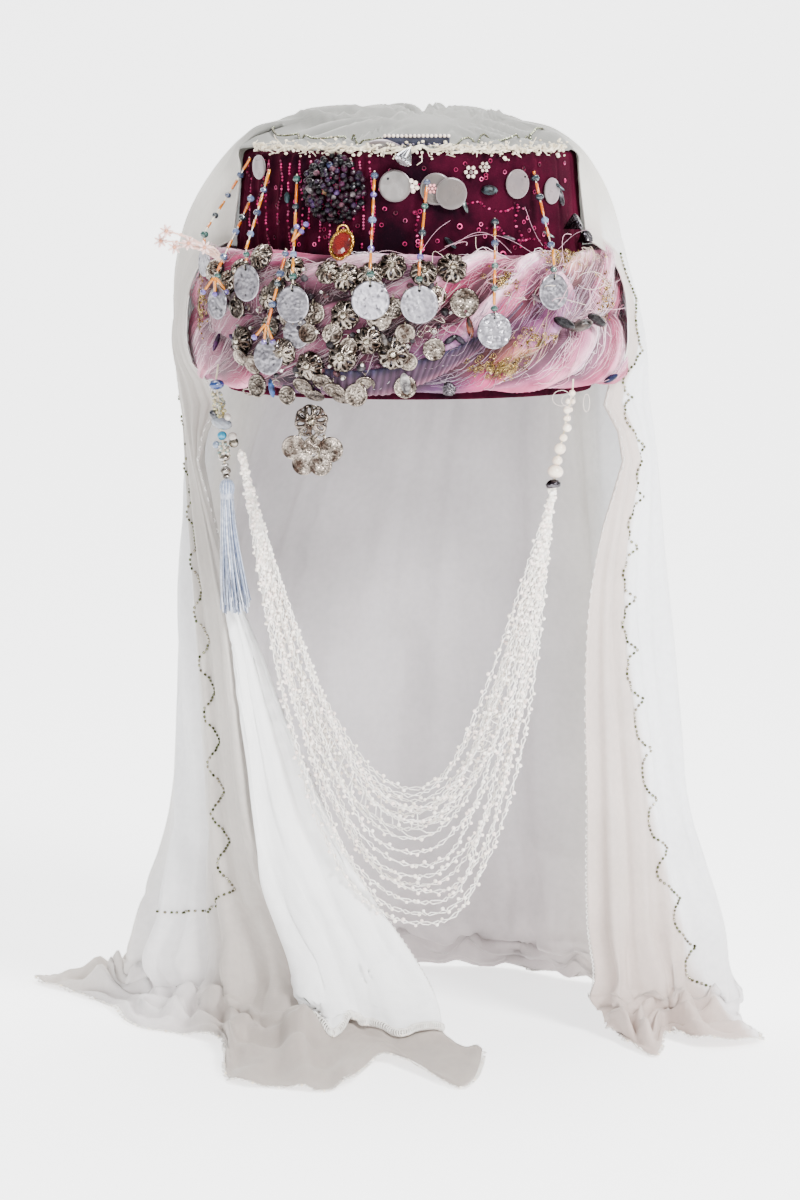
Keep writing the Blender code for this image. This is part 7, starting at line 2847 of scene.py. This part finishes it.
    def sparkle(self) -> list[bpy.types.Object]:
        """Gold sequins and mesh in patches on the roll.

        Returns:
            The pieces.
        """
        roll = TurbanRoll()
        chance = np.random.default_rng(95)
        grains, loops = Spots(), Spots()
        patches = ((45.0, 17.0, 13.0, 6.0, 110), (74.0, 70.0, 9.0, 5.0, 60), (98.0, 50.0, 4.0, 13.0, 60),
                   (-105.0, 44.0, 3.0, 12.0, 60), (46.0, 60.0, 7.0, 5.0, 40), (62.0, 30.0, 10.0, 5.0, 50))
        for x, height, wide, tall, count in patches:
            for _ in range(count):
                spot_x = x + wide * chance.normal(0, 0.5)
                spot_z = min(max(height + tall * chance.normal(0, 0.5), 4.0), 72.0)
                place, normal = roll.surface(max(min(spot_x, 104.0), -106.0), spot_z, -0.6)
                colour = ((196, 160, 90), (226, 200, 140), (150, 120, 70))[int(chance.integers(0, 3))]
                grains.put(place, chance.uniform(-1, 1, 3), (1.3, 1.3, 0.9), colour)
                if chance.uniform() < 0.6:
                    loops.put(place + normal * 0.5, normal, (3.4, 2.6, 2.6), (206, 180, 124),
                              chance.uniform(0, 180))
        return [
            grains.scatter("gold_grains", Templates.gem(1), METAL_BEAD, shade=False),
            loops.scatter("gold_mesh", Templates.ring(0.1, 12, 4), METAL_BEAD),
        ]

    def build(self) -> list[bpy.types.Object]:
        """Make the fibres, the ribbon, the gold, the strays and the sprig.

        Returns:
            The pieces.
        """
        paths, radii, tints = self.fibre_paths()
        fibres = tube_mesh("roll_fibres", paths, radii, 3, tints)
        more, wide, shades = self.strays()
        strays = tube_mesh("stray_threads", more, wide, 5, shades)
        return [
            mesh_object("roll_fibres", fibres, TINTED_THREAD),
            mesh_object("stray_threads", strays, TINTED_THREAD),
            self.ribbon(),
            *self.sparkle(),
            *self.sprig(),
        ]


@dataclass
class SmallThings:
    """Single leaves, dangles, rings and the spike among the folds of the roll."""

    # x, z, how far off the roll, width, depth, length, lean in radians and colour
    LEAVES = (
        # The first three leaves, at the pinch, are dark also as painted shade for the deep crease there.
        (76.0, 37.6, 1.6, 7.5, 3.4, 12.0, 1.2, (30, 28, 32)),
        (84.5, 35.8, 2.0, 8.5, 3.4, 13.0, 1.8, (84, 74, 70)),
        (93.0, 37.8, 1.6, 7.5, 3.4, 11.0, 1.1, (48, 44, 46)),
        (29.2, 36.4, 1.2, 4.0, 1.8, 11.0, 0.2, (122, 66, 48)),
        (19.6, 30.6, 0.8, 4.6, 2.0, 7.5, -0.9, (38, 34, 44)),
        (24.2, 30.6, 0.8, 4.6, 2.0, 7.5, 0.9, (46, 40, 50)),
        (-85.7, 27.0, 0.2, 5.4, 2.0, 12.0, 0.7, (52, 24, 66)),
        (-97.0, 26.0, 0.2, 3.6, 2.0, 10.0, -0.5, (58, 26, 60)),
        (-61.0, 2.5, 1.4, 4.4, 1.8, 11.0, 0.15, (120, 128, 142)),
        (-2.5, 9.0, 1.6, 6.0, 1.6, 11.5, 0.1, (168, 164, 160)),
        (-68.4, 5.5, 1.4, 3.8, 2.6, 10.0, 0.05, (52, 84, 140)),
        (101.0, 7.4, 0.6, 4.4, 3.4, 8.5, 1.9, (26, 30, 62)),
        (62.0, 50.0, 0.2, 3.6, 1.6, 6.0, 0.9, (116, 96, 104)),
        (-12.6, 30.0, 1.4, 4.0, 1.6, 8.5, 0.3, (122, 116, 112)),
    )

    def build(self) -> list[bpy.types.Object]:
        """Make the leaves and the rings.

        Returns:
            The pieces.
        """
        roll = TurbanRoll()
        leaves, rings = Spots(), Spots()
        for x, height, off, wide, deep, long, lean, colour in self.LEAVES:
            place, normal = roll.surface(x, max(height, 4.0), off)
            place.z = height
            way = Vector((math.sin(lean), 0.0, -math.cos(lean))) - normal * 0.2
            leaves.put(place, way, (wide, max(deep, 0.72 * wide), long), colour)
        for x, height, wide in ((-80.0, 2.8, 6.5), (5.0, 33.5, 3.4), (8.4, 36.0, 3.4), (-74.5, 9.0, 4.0),
                                (-66.0, 8.5, 4.0)):
            place, normal = roll.surface(x, max(height, 4.0), 1.4)
            place.z = height
            rings.put(place, normal + Vector((0.3, 0.0, 0.1)), (wide, wide, wide), (190, 184, 176))
        return [
            leaves.scatter("roll_leaves", Templates.gem(2), DARK_BEAD, shade=False),
            rings.scatter("roll_rings", Templates.ring(0.12), METAL_BEAD),
        ]


@dataclass
class VeilTrim:
    """Beaded scallop lines and the lace hem of the veil."""

    veil: VeilSheet
    scallop: float = 26.0
    line_lift: float = 0.9
    line_bead: tuple[float, float, float] = (1.6, 1.6, 1.9)
    crest_lift: float = 2.0
    crest_bead: tuple[float, float, float] = (1.3, 1.3, 1.5)

    def at(self, fold: float, down: float) -> tuple[Vector, Vector]:
        """Place and outward direction on the hanging sheet.

        Args:
            fold: place across, counted in control folds.
            down: place down, counted in control points.

        Returns:
            The place in mm and the direction.
        """
        column = np.interp(fold, self.veil.folds, np.arange(len(self.veil.folds)))
        row = np.interp(down, self.veil.along, np.arange(len(self.veil.along)))
        low_c, low_r = int(min(column, len(self.veil.folds) - 2)), int(min(row, len(self.veil.along) - 2))
        grid = self.veil.fine
        part_c, part_r = column - low_c, row - low_r
        near = grid[low_c, low_r] * (1 - part_r) + grid[low_c, low_r + 1] * part_r
        far = grid[low_c + 1, low_r] * (1 - part_r) + grid[low_c + 1, low_r + 1] * part_r
        place = near * (1 - part_c) + far * part_c
        normal = Vector(np.cross(far - near, grid[low_c, low_r + 1] - grid[low_c, low_r])).normalized()
        return Vector(place), normal

    def line(self, beads: Spots, path: list[tuple[float, float]], wave: float, pitch: float) -> None:
        """Beads along a scalloped line.

        Args:
            beads: the beads, which grow.
            path: fold and control point of the line's bends.
            wave: depth of the scallops, in mm.
            pitch: distance between beads, in mm.
        """
        path = np.array(path)
        downs = np.linspace(path[0, 1], path[-1, 1], 1600)
        folds = np.interp(downs, path[:, 1], path[:, 0])
        places, normals = [], []
        length = 0.0
        last = None
        for fold, down in zip(folds, downs):
            pace = (self.at(fold + 0.3, down)[0] - self.at(fold - 0.3, down)[0]).length / 0.6
            swing = min(wave / max(pace, 1.0), 0.8)
            place, normal = self.at(fold + swing * (abs(math.sin(length / self.scallop * math.pi)) - 0.5),
                                    down)
            middle = self.at(fold, down)[0]
            if last is not None:
                length += (middle - last).length
            last = middle
            places.append(place)
            normals.append(normal)
        since = 0.0
        shades = ((122, 130, 104), (168, 172, 150), (98, 108, 80), (206, 206, 192))
        for number in range(1, len(places)):
            since += (places[number] - places[number - 1]).length
            if since >= pitch:
                since = 0.0
                way = places[number] - places[number - 1]
                out = places[number] + normals[number] * self.line_lift
                beads.put(out, way, self.line_bead, shades[number % 4])

    def crest(self, beads: Spots) -> None:
        """Beads in a scalloped line across the front of the top.

        Args:
            beads: the beads, which grow.
        """
        brow = self.veil.brow
        columns = len(brow)
        shades = ((176, 186, 166), (206, 208, 196), (154, 166, 142))
        for step in range(420):
            column = 4.0 + (columns - 9.0) * step / 419
            row = 4.6 + 3.2 * abs(math.sin(column * 0.21)) + 0.6 * math.sin(column * 0.5)
            low_c, low_r = int(column), int(row)
            near = brow[low_c, low_r] + (brow[low_c, low_r + 1] - brow[low_c, low_r]) * (row - low_r)
            far = (brow[low_c + 1, low_r]
                   + (brow[low_c + 1, low_r + 1] - brow[low_c + 1, low_r]) * (row - low_r))
            place = Vector(near + (far - near) * (column - low_c))
            out = Vector((place.x * 0.2, -20.0, 60.0)).normalized()
            beads.put(place + out * self.crest_lift, far - near, self.crest_bead, shades[step % 3])

    def lace(self, loops: Spots, pearls: Spots) -> None:
        """Lace scallops along the lower edge of the turned-over front.

        Args:
            loops: the hem's loops, which grow.
            pearls: the hem's beads, which grow.
        """
        path = catmull(self.veil.turned[:, -1], np.linspace(0, len(self.veil.turned) - 1, 40))
        for number in range(1, len(path)):
            along = Vector(path[number] - path[number - 1])
            for part in (0.25, 0.75):
                place = Vector(path[number - 1]) + along * part + Vector((0.0, -0.6, -1.2))
                place.z = max(place.z, FLOOR_HEIGHT + 1.4)
                loops.put(place, Vector((0.1, -1.0, 0.25)), (4.0, 4.6, 3.0), (240, 238, 232))
            pearls.put(Vector(path[number]) + Vector((0.0, -1.0, -2.6)), (0, -1, 0), (1.4, 1.4, 1.4),
                       (246, 240, 228))

    def build(self) -> list[bpy.types.Object]:
        """Make the beaded lines and the hem.

        Returns:
            The pieces.
        """
        beads, pearls, loops = Spots(), Spots(), Spots()
        self.line(beads,
                  [(5.2, 4.6), (5.4, 7.0), (5.4, 8.0), (5.4, 9.3), (5.9, 9.46), (7.1, 9.54), (8.3, 9.6)],
                  9.0, 2.2)
        self.line(beads, [(25.9, 4.6), (25.9, 7.0), (25.9, 8.3), (25.2, 9.2), (24.6, 10.2), (24.4, 10.6)],
                  9.0, 2.2)
        self.line(beads, [(14.0, 1.5), (14.0, 5.0), (14.2, 8.5), (14.0, 10.0)], 8.0, 3.0)
        self.crest(beads)
        self.lace(loops, pearls)
        chance = np.random.default_rng(101)
        folds = np.linspace(0.0, 28.0, 620)
        hem = [self.at(fold, 12.0) for fold in folds]
        since, count = 0.0, 0
        for number in range(1, len(hem)):
            since += (hem[number][0] - hem[number - 1][0]).length
            if since < 3.4:
                continue
            since = 0.0
            count += 1
            place, normal = hem[number]
            inner, _ = self.at(folds[number], 11.85)
            out = (place - inner)
            out.z = 0.0
            out.normalize()
            along = (hem[number][0] - hem[number - 1][0]).normalized()
            face = along.cross(out)
            at = place + out * 0.6
            at.z = max(at.z, FLOOR_HEIGHT + 0.9)
            loops.put(at, face, (4.4, 4.4, 3.0), (228, 226, 220))
            if count % 3 == 0:
                bead = at + out * 1.4
                pearls.put(bead, face, (1.5, 1.5, 1.5),
                           (224, 214, 190) if chance.uniform() < 0.5 else (240, 236, 226))
        for edge in (0.0, 28.0):
            for down in np.linspace(5.6, 11.9, 150):
                place, normal = self.at(edge, down)
                loops.put(place, normal, (2.6, 2.6, 2.4), (228, 226, 222))
        return [
            beads.scatter("veil_sequins", Templates.ball(5, 3), METAL_BEAD),
            loops.scatter("veil_hem_loops", Templates.ring(0.24, 10, 4), TINTED_THREAD),
            pearls.scatter("veil_hem_beads", Templates.ball(6, 4), SEED),
        ]


@dataclass
class Studio:
    """Floor, backdrop, soft lights and the camera."""

    target: tuple[float, float, float] = (-5.0, -60.0, -103.0)
    distance: float = 2400.0
    elevation: float = 6.5
    lens: float = 143.4
    paper_glow: float = 1.8
    room_light: float = 0.42
    lamp_target: tuple[float, float, float] = (0.0, 0.0, -0.08)
    # Name, place in metres, size in metres and power in watts
    LAMPS = (
        ("key", (1.25, -1.7, 1.35), 0.8, 150.0),
        ("front", (-0.6, -2.3, 0.3), 0.9, 34.0),
        ("top", (0.0, 0.7, 2.0), 1.6, 80.0),
    )

    def camera(self) -> None:
        """Set the camera at the photograph's viewing angle."""
        data = bpy.data.cameras.new("camera")
        data.lens = self.lens
        data.sensor_width = 36.0
        data.clip_end = 50.0
        camera = bpy.data.objects.new("camera", data)
        lean = math.radians(self.elevation)
        away = Vector((0.0, -math.cos(lean), math.sin(lean))) * self.distance
        camera.location = (Vector(self.target) + away) * MM
        camera.rotation_euler = (math.pi / 2 - lean, 0.0, 0.0)
        bpy.context.scene.collection.objects.link(camera)
        bpy.context.scene.camera = camera

    def floor(self) -> None:
        """Lay one pale sheet that curves up behind."""
        line = [(-3.0, 0.0), (1.2, 0.0)]
        for step in range(1, 13):
            lean = math.radians(90.0 * step / 12)
            line.append((1.2 + 1.2 * math.sin(lean), 1.2 - 1.2 * math.cos(lean)))
        line.append((2.4, 4.0))
        points = [(side * 4.0, y, z + FLOOR_HEIGHT * MM - 0.0004) for side in (-1, 1) for y, z in line]
        faces = [(k, k + 1, len(line) + k + 1, len(line) + k) for k in range(len(line) - 1)]
        mesh = bpy.data.meshes.new("floor")
        mesh.from_pydata(points, [], faces)
        mesh.flip_normals()
        material = bpy.data.materials.new("floor_paper")
        material.use_nodes = True
        shader = material.node_tree.nodes["Principled BSDF"]
        shader.inputs["Base Color"].default_value = linear((243, 243, 243))
        shader.inputs["Roughness"].default_value = 0.9
        shader.inputs["Emission Color"].default_value = (1.0, 1.0, 1.0, 1.0)
        shader.inputs["Emission Strength"].default_value = self.paper_glow
        mesh.materials.append(material)
        mesh.polygons.foreach_set("use_smooth", [True] * len(mesh.polygons))
        floor = bpy.data.objects.new("floor", mesh)
        bpy.context.scene.collection.objects.link(floor)

    def lights(self) -> None:
        """Hang three large soft lights in a pale room."""
        for name, place, size, power in self.LAMPS:
            data = bpy.data.lights.new(name, "AREA")
            data.shape = "DISK"
            data.size = size
            data.energy = power
            lamp = bpy.data.objects.new(name, data)
            lamp.location = place
            aim = Vector(self.lamp_target) - lamp.location
            lamp.rotation_euler = aim.to_track_quat("-Z", "Y").to_euler()
            bpy.context.scene.collection.objects.link(lamp)
        world = bpy.data.worlds.new("room")
        world.use_nodes = True
        world.node_tree.nodes["Background"].inputs["Color"].default_value = (1.0, 1.0, 1.0, 1.0)
        world.node_tree.nodes["Background"].inputs["Strength"].default_value = self.room_light
        bpy.context.scene.world = world

    def build(self) -> None:
        """Set the whole stage."""
        self.camera()
        self.floor()
        self.lights()


def dress_nodes() -> None:
    """Give every plain part that still shows its own finish."""
    finishes = {
        "velvet": VELVET, "roll_silk": ROLL_SILK, "muslin": MUSLIN, "cream_thread": CREAM_THREAD,
        "navy_cloth": NAVY, "dark_beads": DARK_BEAD, "orange_crystal": CRYSTAL, "strung_beads": GLASS_BEAD,
        "hammered_silver": SILVER, "pearl_shell": SHELL, "antique_silver": ANTIQUE,
        "mixed_beads": MIXED_BEAD,
        "tassel_thread": TASSEL, "pearl": PEARL, "seed_pearl": SEED, "dark_metal": DARK_METAL,
        "bright_cone": BRIGHT_CONE,
    }
    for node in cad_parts.values():
        for slot in node.material_slots:
            label = slot.material.name.split(".")[0] if slot.material else ""
            if label in finishes:
                slot.material = finishes[label].build()


def main() -> None:
    """Build every piece in order and report it."""
    logging.basicConfig(level=logging.INFO, format="%(message)s")
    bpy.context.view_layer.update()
    Studio().build()
    veil = VeilSheet()
    crown = FezCrown()
    roll = TurbanRoll()
    for part in (crown, roll, veil):
        piece = part.build()
        LOG.info("%s: %d faces", piece.name, len(piece.data.polygons))
    dressings = (HangingStrands(), Filigree(), SmallCoins(), DarkRosette(), CoinPendant(), SideStrings(),
                 ChinSwag(),
                 TopTrim(), VelvetBeads(), RollThreads(), SmallThings(), VeilTrim(veil))
    for dressing in dressings:
        for piece in dressing.build():
            LOG.info("%s: %d faces", piece.name, len(piece.data.polygons))
    dress_nodes()


if __name__ == "__main__":
    main()
